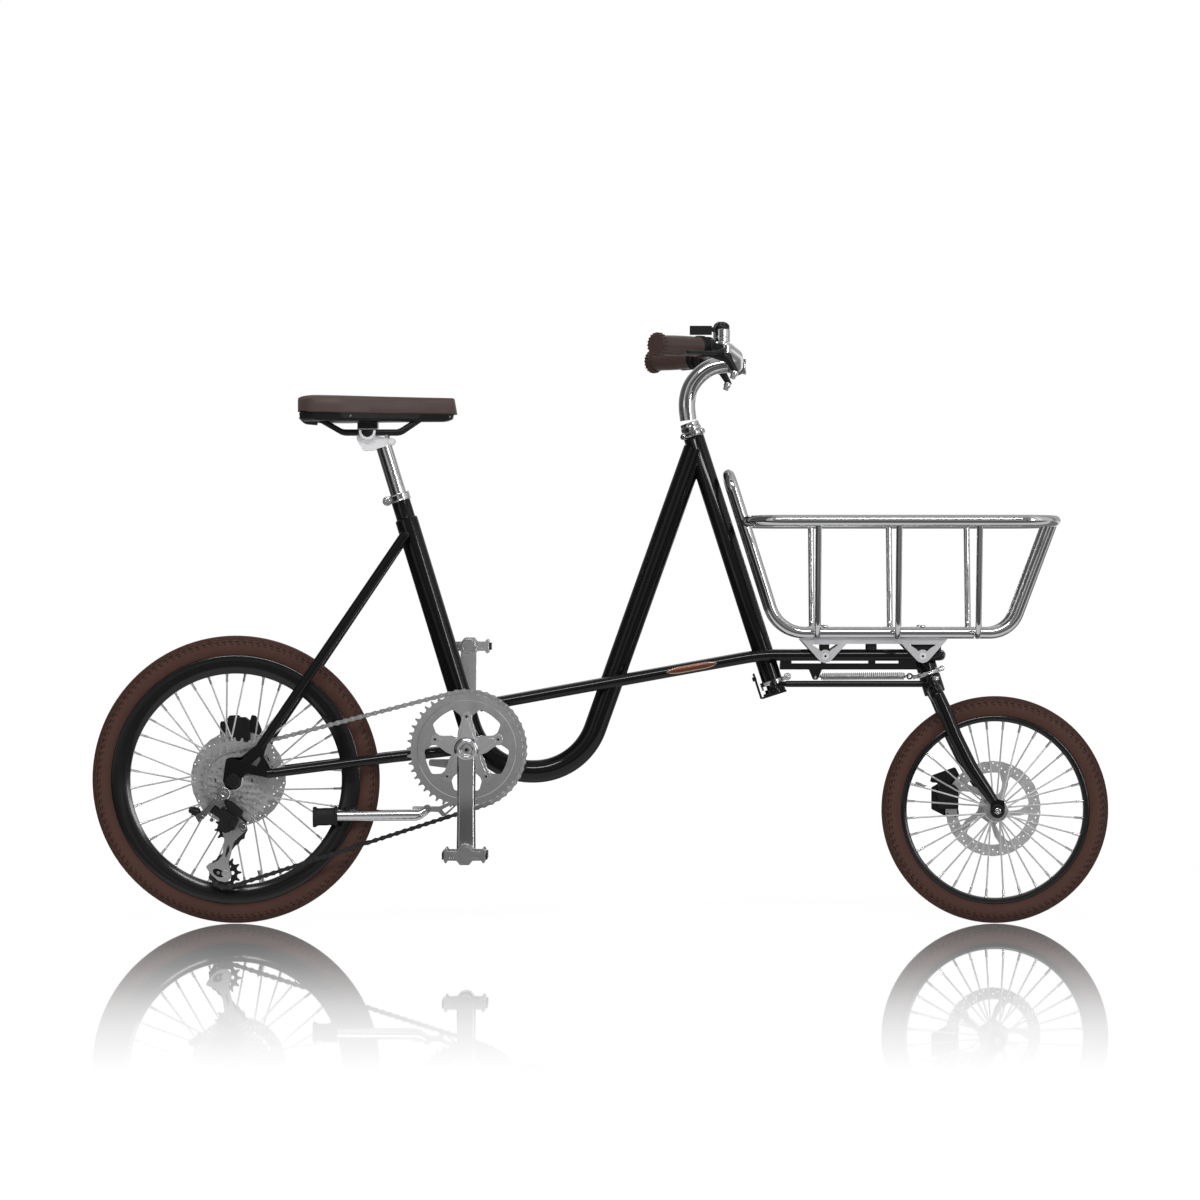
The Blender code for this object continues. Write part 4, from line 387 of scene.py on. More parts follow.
def piece(name, shapes, look, body, slot, *nodes, crease=40.0, edge=0.0):
    """Joins shapes into one smooth-shaded mesh, which rides on a body and stands for CAD nodes."""
    points = []
    faces = []
    count = 0
    for more_points, more_faces in shapes:
        points.append(more_points)
        faces += [[corner + count for corner in face] for face in more_faces]
        count += len(more_points)
    mesh = bpy.data.meshes.new(name)
    mesh.from_pydata(np.concatenate(points), [], faces)
    work = bmesh.new()
    work.from_mesh(mesh)
    bmesh.ops.remove_doubles(work, verts=work.verts, dist=0.000002)
    bmesh.ops.recalc_face_normals(work, faces=work.faces)
    work.to_mesh(mesh)
    work.free()
    mesh.shade_smooth()
    mesh.set_sharp_from_angle(angle=math.radians(crease))
    mesh.materials.append(look)
    made = bpy.data.objects.new(name, mesh)
    bpy.context.scene.collection.objects.link(made)
    if edge:
        rounding = made.modifiers.new("rounded_edges", "BEVEL")
        rounding.width = edge
        rounding.segments = 2
        rounding.limit_method = "ANGLE"
        rounding.angle_limit = math.radians(40)
    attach(made, body)
    if nodes:
        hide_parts(*nodes)
    return made


def surface_wear_group():
    """Two noises: a slow one shifts the colour and the gloss a little, a fine one gives the height."""
    group = bpy.data.node_groups.new("surface_wear", "ShaderNodeTree")
    face = group.interface
    colour_in = face.new_socket("Colour", in_out="INPUT", socket_type="NodeSocketColor")
    colour_in.default_value = (0.5, 0.5, 0.5, 1)
    for label, value in (("Gloss", 0.3), ("Mottle", 0.1), ("Slow Scale", 25.0), ("Fine Scale", 900.0),
                         ("Stretch", 1.0)):
        face.new_socket(label, in_out="INPUT", socket_type="NodeSocketFloat").default_value = value
    face.new_socket("Colour", in_out="OUTPUT", socket_type="NodeSocketColor")
    face.new_socket("Roughness", in_out="OUTPUT", socket_type="NodeSocketFloat")
    face.new_socket("Height", in_out="OUTPUT", socket_type="NodeSocketFloat")
    inner = group.nodes
    wire = group.links
    taken = inner.new("NodeGroupInput")
    given = inner.new("NodeGroupOutput")
    place = inner.new("ShaderNodeTexCoord")
    slow = inner.new("ShaderNodeTexNoise")
    slow.inputs["Detail"].default_value = 4.0
    fine = inner.new("ShaderNodeTexNoise")
    fine.inputs["Detail"].default_value = 3.0
    stretched = inner.new("ShaderNodeVectorMath")
    stretched.operation = "MULTIPLY"
    sizes = inner.new("ShaderNodeCombineXYZ")
    sizes.inputs["Y"].default_value = 1.0
    sizes.inputs["Z"].default_value = 1.0
    spread = inner.new("ShaderNodeMapRange")
    spread.inputs["To Min"].default_value = 1.0
    shade = inner.new("ShaderNodeMath")
    shade.operation = "SUBTRACT"
    shade.inputs[0].default_value = 1.0
    tint = inner.new("ShaderNodeVectorMath")
    tint.operation = "SCALE"
    duller = inner.new("ShaderNodeMath")
    duller.operation = "MULTIPLY_ADD"
    wire.new(place.outputs["Object"], slow.inputs["Vector"])
    wire.new(taken.outputs["Slow Scale"], slow.inputs["Scale"])
    wire.new(taken.outputs["Stretch"], sizes.inputs["X"])
    wire.new(place.outputs["Object"], stretched.inputs[0])
    wire.new(sizes.outputs["Vector"], stretched.inputs[1])
    wire.new(stretched.outputs["Vector"], fine.inputs["Vector"])
    wire.new(taken.outputs["Fine Scale"], fine.inputs["Scale"])
    wire.new(taken.outputs["Mottle"], shade.inputs[1])
    wire.new(slow.outputs["Fac"], spread.inputs["Value"])
    wire.new(shade.outputs["Value"], spread.inputs["To Max"])
    wire.new(taken.outputs["Colour"], tint.inputs[0])
    wire.new(spread.outputs["Result"], tint.inputs["Scale"])
    wire.new(slow.outputs["Fac"], duller.inputs[0])
    wire.new(taken.outputs["Mottle"], duller.inputs[1])
    wire.new(taken.outputs["Gloss"], duller.inputs[2])
    wire.new(tint.outputs["Vector"], given.inputs["Colour"])
    wire.new(duller.outputs["Value"], given.inputs["Roughness"])
    wire.new(fine.outputs["Fac"], given.inputs["Height"])
    return group


SURFACE_WEAR = surface_wear_group()


def finish(name, colour, metallic, gloss, mottle, slow, fine, bump, stretch=1.0, coat=0.0, shine=0.25):
    """A maker's finish: colour and gloss vary slowly, and a fine height catches the light."""
    made = bpy.data.materials.new(name)
    made.use_nodes = True
    tree = made.node_tree
    principled = tree.nodes["Principled BSDF"]
    principled.inputs["Metallic"].default_value = metallic
    principled.inputs["Coat Weight"].default_value = coat
    principled.inputs["Coat Roughness"].default_value = 0.04
    principled.inputs["Specular IOR Level"].default_value = 0.5 if metallic > 0.5 else shine
    wear = tree.nodes.new("ShaderNodeGroup")
    wear.node_tree = SURFACE_WEAR
    wear.inputs["Colour"].default_value = (*colour, 1)
    wear.inputs["Gloss"].default_value = gloss
    wear.inputs["Mottle"].default_value = mottle
    wear.inputs["Slow Scale"].default_value = slow
    wear.inputs["Fine Scale"].default_value = fine
    wear.inputs["Stretch"].default_value = stretch
    relief = tree.nodes.new("ShaderNodeBump")
    relief.inputs["Strength"].default_value = 1.0
    relief.inputs["Distance"].default_value = bump
    tree.links.new(wear.outputs["Colour"], principled.inputs["Base Color"])
    tree.links.new(wear.outputs["Roughness"], principled.inputs["Roughness"])
    tree.links.new(wear.outputs["Height"], relief.inputs["Height"])
    tree.links.new(relief.outputs["Normal"], principled.inputs["Normal"])
    return made


BLACK_ENAMEL = finish("black_enamel", (0.0035, 0.0035, 0.0040), 0.0, 0.10, 0.08, 30, 300, 0.000002, coat=0.22,
                      shine=0.22)

seat_profile = [(0, -0.2505), (0.01905, -0.2505), (0.01905, 0.1040), (0.0186, 0.1062), (0.0163, 0.1080)]
seat_profile += [(0.0159, 0.1090), (0.0159, 0.1500), (0.0140, 0.1500), (0.0140, 0.1440), (0, 0.1440)]
piece("seat_tube_skin", [turned(seat_profile, SEAT_MARK, SEAT_UP)], BLACK_ENAMEL, "frame", "black_paint", "seat_tube")

down_corners = [on_seat(-0.2300), (-0.1950, 0, 0.2532), (-0.0343, 0, 0.2532), (0.1602, 0, 0.7981)]
down_path = bent_path(down_corners, 0.109)
down_path[-1] = (0.1580, 0, 0.7919)
piece("down_tube_skin", [tube(down_path, 0.01905, 36)], BLACK_ENAMEL, "frame", "black_paint", "down_tube")

head_profile = [(0, 0.0168), (0.0166, 0.0168), (0.01725, 0.0175), (0.01725, 0.4486), (0.0168, 0.4492), (0, 0.4492)]
head_shapes = [turned(head_profile, HEAD_FOOT, HEAD_UP)]
for height in (0.352, 0.292, 0.204):
    stud = on_head(height, 0.0130, -0.0112)
    head_shapes.append(turned([(0, 0.0016), (0.0018, 0.0014), (0.0026, 0.0), (0, 0)], stud, (0.76, -0.65, 0.2), 20))
piece("head_tube_skin", head_shapes, BLACK_ENAMEL, "frame", "black_paint", "head_tube")

front_x = on_fork((0.4476 - 0.4177) / HEAD_UP[2])[0]
rail_half = bent_path([(-0.2010, -RAIL_Y, 0.3629), (0.2666, -RAIL_Y, 0.4476), (front_x, -RAIL_Y, 0.4476)], 0.30, 0.01)
rail_turn = np.linspace(0, math.pi, 25)[1:-1, None]
rail_bend = np.concatenate([front_x + RAIL_Y * np.sin(rail_turn), -RAIL_Y * np.cos(rail_turn), 0.4476 + 0 * rail_turn],
                           1)
rail_path = np.concatenate([rail_half, rail_bend, rail_half[::-1] * (1, -1, 1)])
piece("cargo_rails_skin", [tube(rail_path, RAIL_RADIUS)], BLACK_ENAMEL, "frame", "black_paint", "cargo_rails")


# Front head tube: a short steel tube with a domed cap between the rails, and the flat lower
# bar that ties it to the long head tube, welded on short standoffs, with the spring's lug.


def plate(outline, thickness, y, *holes, origin=(0, 0, 0), along=ALONG, up=UP):
    """A flat sheet: the outline less its holes, filled with triangles on both faces, with a wall round each
    edge; a point is origin + across * y + along * u + up * v, half the thickness to either side."""
    loops = [np.array(outline, float)] + [np.array(hole, float) for hole in holes]
    triangles = tessellate_polygon([[(u, v, 0.0) for u, v in loop] for loop in loops])
    flat = np.concatenate(loops)
    across = np.cross(up, along)
    middle = np.array(origin, float) + flat[:, :1] * np.array(along) + flat[:, 1:] * np.array(up)
    count = len(flat)
    points = np.concatenate([middle + across * (y - thickness / 2), middle + across * (y + thickness / 2)])
    faces = [list(corners) for corners in triangles]
    faces += [[corner + count for corner in reversed(corners)] for corners in triangles]
    first = 0
    for loop in loops:
        number = np.arange(len(loop)) + first
        after = np.roll(number, -1)
        faces += np.stack([number, after, after + count, number + count], -1).tolist()
        first += len(loop)
    return points, faces


def eased(corners, radius, steps=4):
    """An outline whose corners give way to arcs; radius may be one number or one for each corner."""
    corners = np.array(corners, float)
    radii = np.broadcast_to(np.asarray(radius, float), (len(corners),))
    outline = []
    for number, corner in enumerate(corners):
        before = corners[number - 1] - corner
        after = corners[(number + 1) % len(corners)] - corner
        reach_before, reach_after = np.linalg.norm(before), np.linalg.norm(after)
        half = math.acos(np.clip(before @ after / reach_before / reach_after, -1, 1)) / 2
        cut = min(radii[number] / max(math.tan(half), 1e-6), reach_before * 0.48, reach_after * 0.48)
        if cut < 1e-5 or half > 1.55:
            outline.append(corner)
            continue
        start, end = corner + before / reach_before * cut, corner + after / reach_after * cut
        share = np.linspace(0, 1, steps + 1)[:, None]
        outline += list((1 - share) ** 2 * start + 2 * share * (1 - share) * corner + share ** 2 * end)
    return np.array(outline)


def disc(centre, radius, count=24, phase=0.0):
    return np.array(centre) + radius * ring(count) @ np.array(((math.cos(phase), math.sin(phase)),
            (-math.sin(phase), math.cos(phase))))


def block(size, centre, along=ALONG, up=UP):
    """A box as a plate: half its length and height to either side of the centre."""
    half_u, half_v = size[0] / 2, size[2] / 2
    outline = [(-half_u, -half_v), (half_u, -half_v), (half_u, half_v), (-half_u, half_v)]
    return plate(outline, size[1], 0, origin=centre, along=along, up=up)


fork_head = [(0, 0.0512), (0.0080, 0.0510), (0.0150, 0.0490), (0.01725, 0.0462), (0.01725, 0.0050), (0.0166, 0.0045),
             (0, 0.0045)]
bar_rear = on_head((0.4285 - 0.3841) / HEAD_UP[2])[0] + 0.0192 / HEAD_UP[2]
bar_front = on_fork((0.4285 - 0.4177) / HEAD_UP[2])[0] - 0.0140
bar_outline = [(bar_rear, 0.4233), (0.3480, 0.4233), (0.3540, 0.4085), (0.3560, 0.4062), (0.3620, 0.4062),
               (0.3640, 0.4085), (0.3700, 0.4233), (bar_front, 0.4233), (bar_front, 0.4337), (bar_rear, 0.4337)]
lug_hole = disc((0.3591, 0.4113), 0.0016, 12)
head_shapes = [turned(fork_head, FORK_MARK, HEAD_UP),
               plate([(bar_rear, 0.4233), (bar_front, 0.4233), (bar_front, 0.4337), (bar_rear, 0.4337)], 0.0160, 0),
               plate(eased(bar_outline, 0.002), 0.0050, 0, lug_hole)]
for start, end in ((bar_rear + 0.0004, 0.3190), (0.3680, 0.3760), (0.4470, 0.4590), (0.4975, bar_front)):
    head_shapes.append(block((end - start, 0.0150, 0.0100), ((start + end) / 2, 0, 0.4370)))
for side in (-1, 1):
    for x in (0.3200, 0.4420, 0.5060):
        head_shapes.append(block((0.0120, 0.0150, 0.0060), (x, side * 0.0145, 0.4440)))
    head_shapes.append(rod((0.4420, side * 0.0370, 0.4480), (0.4420, side * 0.0386, 0.4480), 0.0026, 12))
piece("front_head_tube_skin", head_shapes, BLACK_ENAMEL, "frame", "black_paint", "front_head_tube", edge=0.0005)


# Bottom bracket: a steel shell brazed to both tubes, faced at its ends, with a small bridge
# to the chain stays. The stand hangs from it on a bright cast bracket.

CHROME = finish("chrome_plate", (0.70, 0.70, 0.71), 1.0, 0.060, 0.08, 35, 260, 0.00002)
SATIN_ALLOY = finish("satin_alloy", (0.66, 0.66, 0.67), 1.0, 0.26, 0.14, 40, 1500, 0.00001)

shell_profile = [(0.0102, -0.0340), (0.0197, -0.0340), (0.0205, -0.0332), (0.0205, 0.0332), (0.0197, 0.0340),
                 (0.0102, 0.0340)]
bridge = plate(eased([(-0.2860, 0.2630), (-0.2640, 0.2600), (-0.2300, 0.2560), (-0.2300, 0.2740), (-0.2860, 0.2730)],
                     0.003), 0.0240, 0)
piece("bracket_shell_skin", [turned(shell_profile, BOTTOM_BRACKET, ACROSS)], BLACK_ENAMEL, "frame",
      "black_paint", "bottom_bracket_shell")
hanger = [(-0.2340, 0.2780), (-0.2340, 0.2130), (-0.2530, 0.2020), (-0.2680, 0.1955), (-0.3135, 0.1955),
          (-0.3135, 0.1875), (-0.2700, 0.1860), (-0.2640, 0.1790), (-0.2590, 0.1790), (-0.2380, 0.1985),
          (-0.2120, 0.2080), (-0.2120, 0.2760)]
hanger_window = [(-0.2640, 0.1900), (-0.2500, 0.1975), (-0.2445, 0.1960), (-0.2590, 0.1840)]
hanger_shapes = [bridge, plate(eased(hanger, 0.003), 0.0080, -0.0140, eased(hanger_window, 0.001)),
                 rod((-0.2880, -0.0180, 0.1920), (-0.2880, 0.0050, 0.1920), 0.0065, 24),
                 rod((-0.2880, 0.0040, 0.1920), (-0.2880, 0.0080, 0.1920), 0.0055, 6)]
piece("stand_hanger", hanger_shapes, SATIN_ALLOY, "frame", "bare_alloy", edge=0.0006)


# Seat stays and chain stays: thin round steel tubes, drawn in to the wheel, with pressed
# dropouts brazed on and ground smooth. The right one carries the gear's hanger.

for side, name in ((-1, "right"), (1, "left")):
    stay_top = np.array((-0.3254, side * 0.0274, 0.6482))
    stay_foot = np.array((-0.5635, side * 0.0670, 0.2958))
    stay_middle = stay_foot + (stay_top - stay_foot) * 0.12
    stay_middle[1] = side * 0.0640
    stay_path = bent_path([stay_foot, stay_middle, stay_top], 0.20)
    stay_shapes = [tube(stay_path, 0.00795),
                   turned([(0, 0.0068), (0.0040, 0.0060), (0.0068, 0.0030), (0.00795, 0), (0, 0)], stay_top,
                          stay_top - stay_middle, 28)]
    piece(f"seat_stay_{name}_skin", stay_shapes, BLACK_ENAMEL, "frame", "black_paint", f"seat_stay_{name}")
    chain_stay_path = bent_path([(-0.2320, side * 0.0240, 0.2900), (-0.3578, side * 0.0310, 0.2762),
                                 (-0.5501, side * 0.0660, 0.2518)], 0.25)
    share = np.linspace(0, 1, len(chain_stay_path))
    chain_stay_radius = 0.0088 - 0.0010 * np.clip((share - 0.8) / 0.2, 0, 1)
    lower = disc((-0.60825, 0.2400), 0.0155, 20)
    outline = [(-0.6224, 0.2600), (-0.6195, 0.2760), (-0.6136, 0.2787), (-0.5949, 0.2795), (-0.5618, 0.3052),
               (-0.5502, 0.3010), (-0.5578, 0.2818), (-0.5464, 0.2616), (-0.5527, 0.2451), (-0.5857, 0.2527),
               (-0.5933, 0.2440)]
    if side < 0:
        hook = [(-0.6170, 0.2380), (-0.6060, 0.2290), (-0.6120, 0.2150), (-0.6220, 0.2110), (-0.6300, 0.2150),
                (-0.6310, 0.2240), (-0.6240, 0.2360)]
        piece("gear_hook", [plate(eased(hook, 0.003), 0.0046, side * 0.0702)], SATIN_ALLOY, "frame", "bare_alloy",
              edge=0.0006)
    outline += [tuple(lower[number]) for number in (18, 16, 14, 12)]
    outline.append((-0.6247, 0.2400))
    slot = eased([(-0.5790, 0.2670), (-0.5640, 0.2800), (-0.5620, 0.2760), (-0.5690, 0.2640)], 0.0012)
    shapes = [tube(chain_stay_path, chain_stay_radius), plate(eased(outline, 0.0035, 3), 0.0050, side * 0.0700, slot)]
    shapes.append(rod((-0.5560, side * 0.0665, 0.2520), (-0.5400, side * 0.0640, 0.2540), 0.0080, 20, 0.003))
    piece(f"chain_stay_{name}_skin", shapes, BLACK_ENAMEL, "frame", "black_paint", f"chain_stay_{name}", edge=0.0006)


# Wheels: 36 spokes behind and 32 in front on turned alloy hubs, black box-section rims, and brown tyres
# whose tread is wavy blocks with dashes cut on the shoulders and smooth walls below.

TYRE_RUBBER = finish("brown_rubber", (0.060, 0.0265, 0.0195), 0.0, 0.56, 0.16, 14, 700, 0.00006, shine=0.16)
# Painted shade: where the groove value is high, the tyre's colour goes over to near black. This stands for the shade in
# the cut grooves.
tree = TYRE_RUBBER.node_tree
groove_shade = tree.nodes.new("ShaderNodeAttribute")
groove_shade.attribute_name = "groove_shade"
painted_shade_mix = tree.nodes.new("ShaderNodeMix")
painted_shade_mix.data_type = "RGBA"
painted_shade_mix.inputs["B"].default_value = (0.012, 0.0055, 0.0045, 1)
tree.links.new(groove_shade.outputs["Fac"], painted_shade_mix.inputs["Factor"])
tree.links.new(tree.nodes["Group"].outputs["Colour"], painted_shade_mix.inputs["A"])
tree.links.new(painted_shade_mix.outputs["Result"], tree.nodes["Principled BSDF"].inputs["Base Color"])
RIM_BLACK = finish("anodised_black", (0.006, 0.006, 0.0065), 0.0, 0.12, 0.15, 9, 600, 0.000004, coat=0.15, shine=0.35)
SPOKE_STEEL = finish("spoke_steel", (0.46, 0.46, 0.47), 0.35, 0.36, 0.10, 80, 900, 0.000004)
HUB_ALLOY = finish("hub_alloy", (0.72, 0.72, 0.73), 1.0, 0.17, 0.12, 50, 900, 0.00001)
ROTOR_STEEL = finish("rotor_steel", (0.72, 0.72, 0.73), 1.0, 0.32, 0.20, 70, 1600, 0.00001)


def repeated(shape, origin, first, second, third):
    """Copies of one small shape, a row each: origin + x * first + y * second + z * third."""
    points, faces = shape
    points = np.asarray(points)
    origin, first, second, third = (np.asarray(rows, float) for rows in (origin, first, second, third))
    placed = origin[:, None] + points[None, :, :1] * first[:, None]
    placed = placed + points[None, :, 1:2] * second[:, None] + points[None, :, 2:] * third[:, None]
    count = len(points)
    copies = [[corner + copy * count for corner in face] for copy in range(len(origin)) for face in faces]
    return placed.reshape(-1, 3), copies


def tyre_surface(centre, radius, waves):
    """Round the wheel by u, across the casing by v: the casing is a circle of 18.5 mm about the tyre's middle,
    less the depth of the grooves, each of which is a smooth dip about a line that waves or stops with u."""
    turn = np.linspace(0, math.tau, 840, endpoint=False)[:, None]
    lean = np.radians(np.linspace(-138, 138, 93))[None]
    wave = 1 - 2 * np.abs((turn * waves / math.tau) % 1 * 2 - 1)
    dash = np.clip(np.sin(turn * waves * 1.5) * 6 + 2.5, 0, 1)
    tick = np.clip(np.sin(turn * waves * 1.5 + 1.3) * 8 - 3, 0, 1)
    depth = np.zeros(np.broadcast_shapes(turn.shape, lean.shape))
    degree = math.pi / 180
    for middle, swing, width, deep, mask in ((11, 5, 2.2, 1.0, 1), (31, 6, 2.4, 1.2, 1), (47, 5, 2.0, 0.9, 1),
                                             (62, 0, 3.2, 1.1, dash), (76, 0, 3.0, 0.8, tick)):
        for side in (-1, 1):
            line = side * (middle + swing * wave) * degree
            depth = depth + 0.001 * deep * mask * np.exp(-((lean - line) / (width * degree)) ** 2)
    cast = 0.0185 - np.clip(depth, 0, 0.0014)
    reach = radius - 0.0185 + cast * np.cos(lean)
    y = cast * np.sin(lean) + 0 * turn
    grid = np.stack([centre[0] + reach * np.cos(turn), y, centre[2] + reach * np.sin(turn)], -1)
    return skin(grid, closed_rows=True)


def closed_turned(profile, centre, axis, steps):
    """A closed profile turned about an axis, for rings."""
    return turned(list(profile) + [profile[0]], centre, axis, steps)


def wheel(end, centre, radius, depth, hub_profile, flange, flange_ys, lead, offset, rotor_y, waves, spoke_count):
    centre = np.array((centre[0], 0.0, centre[1]))
    body = f"{end}_wheel"
    tyre = piece(f"{end}_tyre_skin", [tyre_surface(centre, radius, waves)], TYRE_RUBBER, body, "brown_tyre",
                 f"{end}_tyre", crease=60)
    # Painted shade: each point gets a groove value, which is 1 where the casing is cut 0.6 mm deep or more. The tyre's
    # material darkens these points.
    spots = np.empty(len(tyre.data.vertices) * 3)
    tyre.data.vertices.foreach_get("co", spots)
    spots = spots.reshape(-1, 3) - centre
    cast = np.hypot(np.hypot(spots[:, 0], spots[:, 2]) - radius + 0.0185, spots[:, 1])
    tyre.data.attributes.new("groove_shade", "FLOAT", "POINT").data.foreach_set("value",
            np.clip((0.0185 - cast) / 0.0006, 0, 1).astype(np.float32))
    outer = radius - 0.0345
    inner = outer - depth
    half = [(outer + 0.0030, 0.0108), (outer + 0.0012, 0.0121), (outer - 0.0010, 0.0125),
            (outer - depth * 0.30, 0.0124),
            (outer - depth * 0.62, 0.0116), (inner + depth * 0.14, 0.0080), (inner + 0.0006, 0.0062), (inner, 0.0045)]
    profile = half + [(reach, -y) for reach, y in reversed(half)]
    piece(f"{end}_rim_skin", [closed_turned(profile, centre, ACROSS, 180)], RIM_BLACK, body, "black_paint",
          f"{end}_rim", crease=32)
    number = np.arange(spoke_count)
    rim_angle = math.tau * (number + 0.5) / spoke_count
    flange_side = number % 2
    lean = np.where(number % 4 < 2, 1, -1)
    start_angle = rim_angle + lean * lead
    start_y = np.where(flange_side == 0, flange_ys[0], flange_ys[1]) + lean * offset
    rim_y = np.where(flange_side == 1, 0.0025, -0.0025)
    reach = inner + 0.0006
    starts = centre + np.stack([flange * np.cos(start_angle), start_y, flange * np.sin(start_angle)], -1)
    ends = centre + np.stack([reach * np.cos(rim_angle), rim_y, reach * np.sin(rim_angle)], -1)
    way = ends - starts
    length = np.linalg.norm(way, axis=1)[:, None]
    way = way / length
    side = np.cross(way, ACROSS)
    side /= np.linalg.norm(side, axis=1)[:, None]
    up = np.cross(way, side)
    spoke = turned([(0, 0), (0.00140, 0), (0.00140, 1), (0, 1)], np.zeros(3), ALONG, 8)
    nipple = turned([(0, -0.0145), (0.0013, -0.0145), (0.0021, -0.0135), (0.0021, -0.0022), (0.0030, -0.0010),
                     (0.0030, 0.0004), (0, 0.0004)], np.zeros(3), ALONG, 10)
    head = turned([(0, -0.0008), (0.0022, -0.0006), (0.0024, 0.0004), (0.0013, 0.0010), (0, 0.0010)], np.zeros(3),
                  ALONG, 8)
    outward = np.stack([0 * lean, lean, 0 * lean], -1).astype(float)
    spokes = repeated(spoke, starts, way * length, side, up)
    heads = repeated(head, starts + outward * 0.0004, outward, way, np.cross(outward, way))
    piece(f"{end}_spokes", [spokes, heads], SPOKE_STEEL, body, "bare_alloy")
    piece(f"{end}_nipples", [repeated(nipple, ends, way, side, up)], HUB_ALLOY, body, "bare_alloy")
    piece(f"{end}_hub_skin", [closed_turned(hub_profile, centre, ACROSS, 48)], HUB_ALLOY, body, "bare_alloy",
          f"{end}_hub", crease=30, edge=0.0004)
    windows = []
    for arm in range(5):
        first, last = math.tau * (arm + 0.10) / 5, math.tau * (arm + 0.90) / 5
        window = [(0.0605, angle) for angle in np.linspace(first, last, 9)]
        window += [(0.0470, last - 0.13), (0.0270, last - 0.32), (0.0270, first - 0.28), (0.0450, first - 0.16)]
        spots = np.array([(centre[0] + far * math.cos(angle), centre[2] + far * math.sin(angle)) for far,
                          angle in window])
        windows.append(eased(spots, 0.002, 2))
    for hole in range(60):
        angle = math.tau * hole / 60
        far = (0.0650, 0.0690, 0.0730, 0.0765)[hole % 4]
        windows.append(disc((centre[0] + far * math.cos(angle), centre[2] + far * math.sin(angle)), 0.0014, 8))
    windows.append(disc((centre[0], centre[2]), 0.0147, 24))
    outer_edge = np.array([(centre[0] + (0.0800 - 0.0006 * (math.cos(angle * 30) > 0)) * math.cos(angle),
                            centre[2] + (0.0800 - 0.0006 * (math.cos(angle * 30) > 0)) * math.sin(angle))
                           for angle in np.linspace(0, math.tau, 180, endpoint=False)])
    shapes = [plate(outer_edge, 0.0018, rotor_y, *windows)]
    for bolt in range(6):
        angle = math.tau * (bolt + 0.5) / 6
        spot = centre + np.array((0.0215 * math.cos(angle), rotor_y + 0.0008, 0.0215 * math.sin(angle)))
        shapes.append(turned([(0, 0.0020), (0.0020, 0.0020), (0.0034, 0.0010), (0.0034, 0), (0, 0)], spot, ACROSS, 14))
    piece(f"{end}_rotor_skin", shapes, ROTOR_STEEL, body, "dark_steel", f"{end}_brake_rotor", crease=30)


wheel("rear", (-0.60825, 0.2400), 0.2400, 0.0290,
      [(0.0056, -0.0310), (0.0232, -0.0310), (0.0240, -0.0302), (0.0240, -0.0273), (0.0232, -0.0265), (0.0160, -0.0255),
       (0.0135, -0.0225), (0.0125, 0.0000), (0.0135, 0.0285), (0.0160, 0.0315), (0.0232, 0.0325), (0.0240, 0.0333),
       (0.0240, 0.0362), (0.0232, 0.0370), (0.0150, 0.0385), (0.0140, 0.0400), (0.0140, 0.0545), (0.0056, 0.0545)],
      0.0214, (-0.0288, 0.0348), 1.05, 0.0013, 0.0520, 84, 36)
wheel("front", (0.65875, 0.1895), 0.1895, 0.0078,
      [(0.0056, -0.0380), (0.0192, -0.0370), (0.0200, -0.0362), (0.0200, -0.0333), (0.0192, -0.0325), (0.0130, -0.0315),
       (0.0110, -0.0285), (0.0100, -0.0050), (0.0110, 0.0175), (0.0130, 0.0205), (0.0192, 0.0215), (0.0200, 0.0223),
       (0.0200, 0.0252), (0.0192, 0.0260), (0.0150, 0.0275), (0.0140, 0.0290), (0.0140, 0.0395), (0.0056, 0.0395)],
      0.0172, (-0.0348, 0.0238), 0.20, 0.0008, 0.0370, 66, 32)

for name, body, centre, turn, far, near_end in (("front_valve", "front_wheel", (0.65875, 0.1895), 162, 0.1400, 0.1180),
                                                ("rear_valve", "rear_wheel", (-0.60825, 0.2400), -76, 0.1790, 0.1560)):
    way = np.array((math.cos(math.radians(turn)), 0, math.sin(math.radians(turn))))
    base = np.array((centre[0], 0, centre[1]))
    profile = [(0, 0), (0.0026, 0), (0.0030, 0.0010), (0.0030, 0.0110), (0.0040, 0.0120), (0.0040, far - near_end),
               (0, far - near_end)]
    piece(name, [turned(profile, base + way * near_end, way, 16)], CHROME, body, "chrome_trim")


# Axles: steel, with a black cap nut at each rear end and a bright nut in a black ring in front.

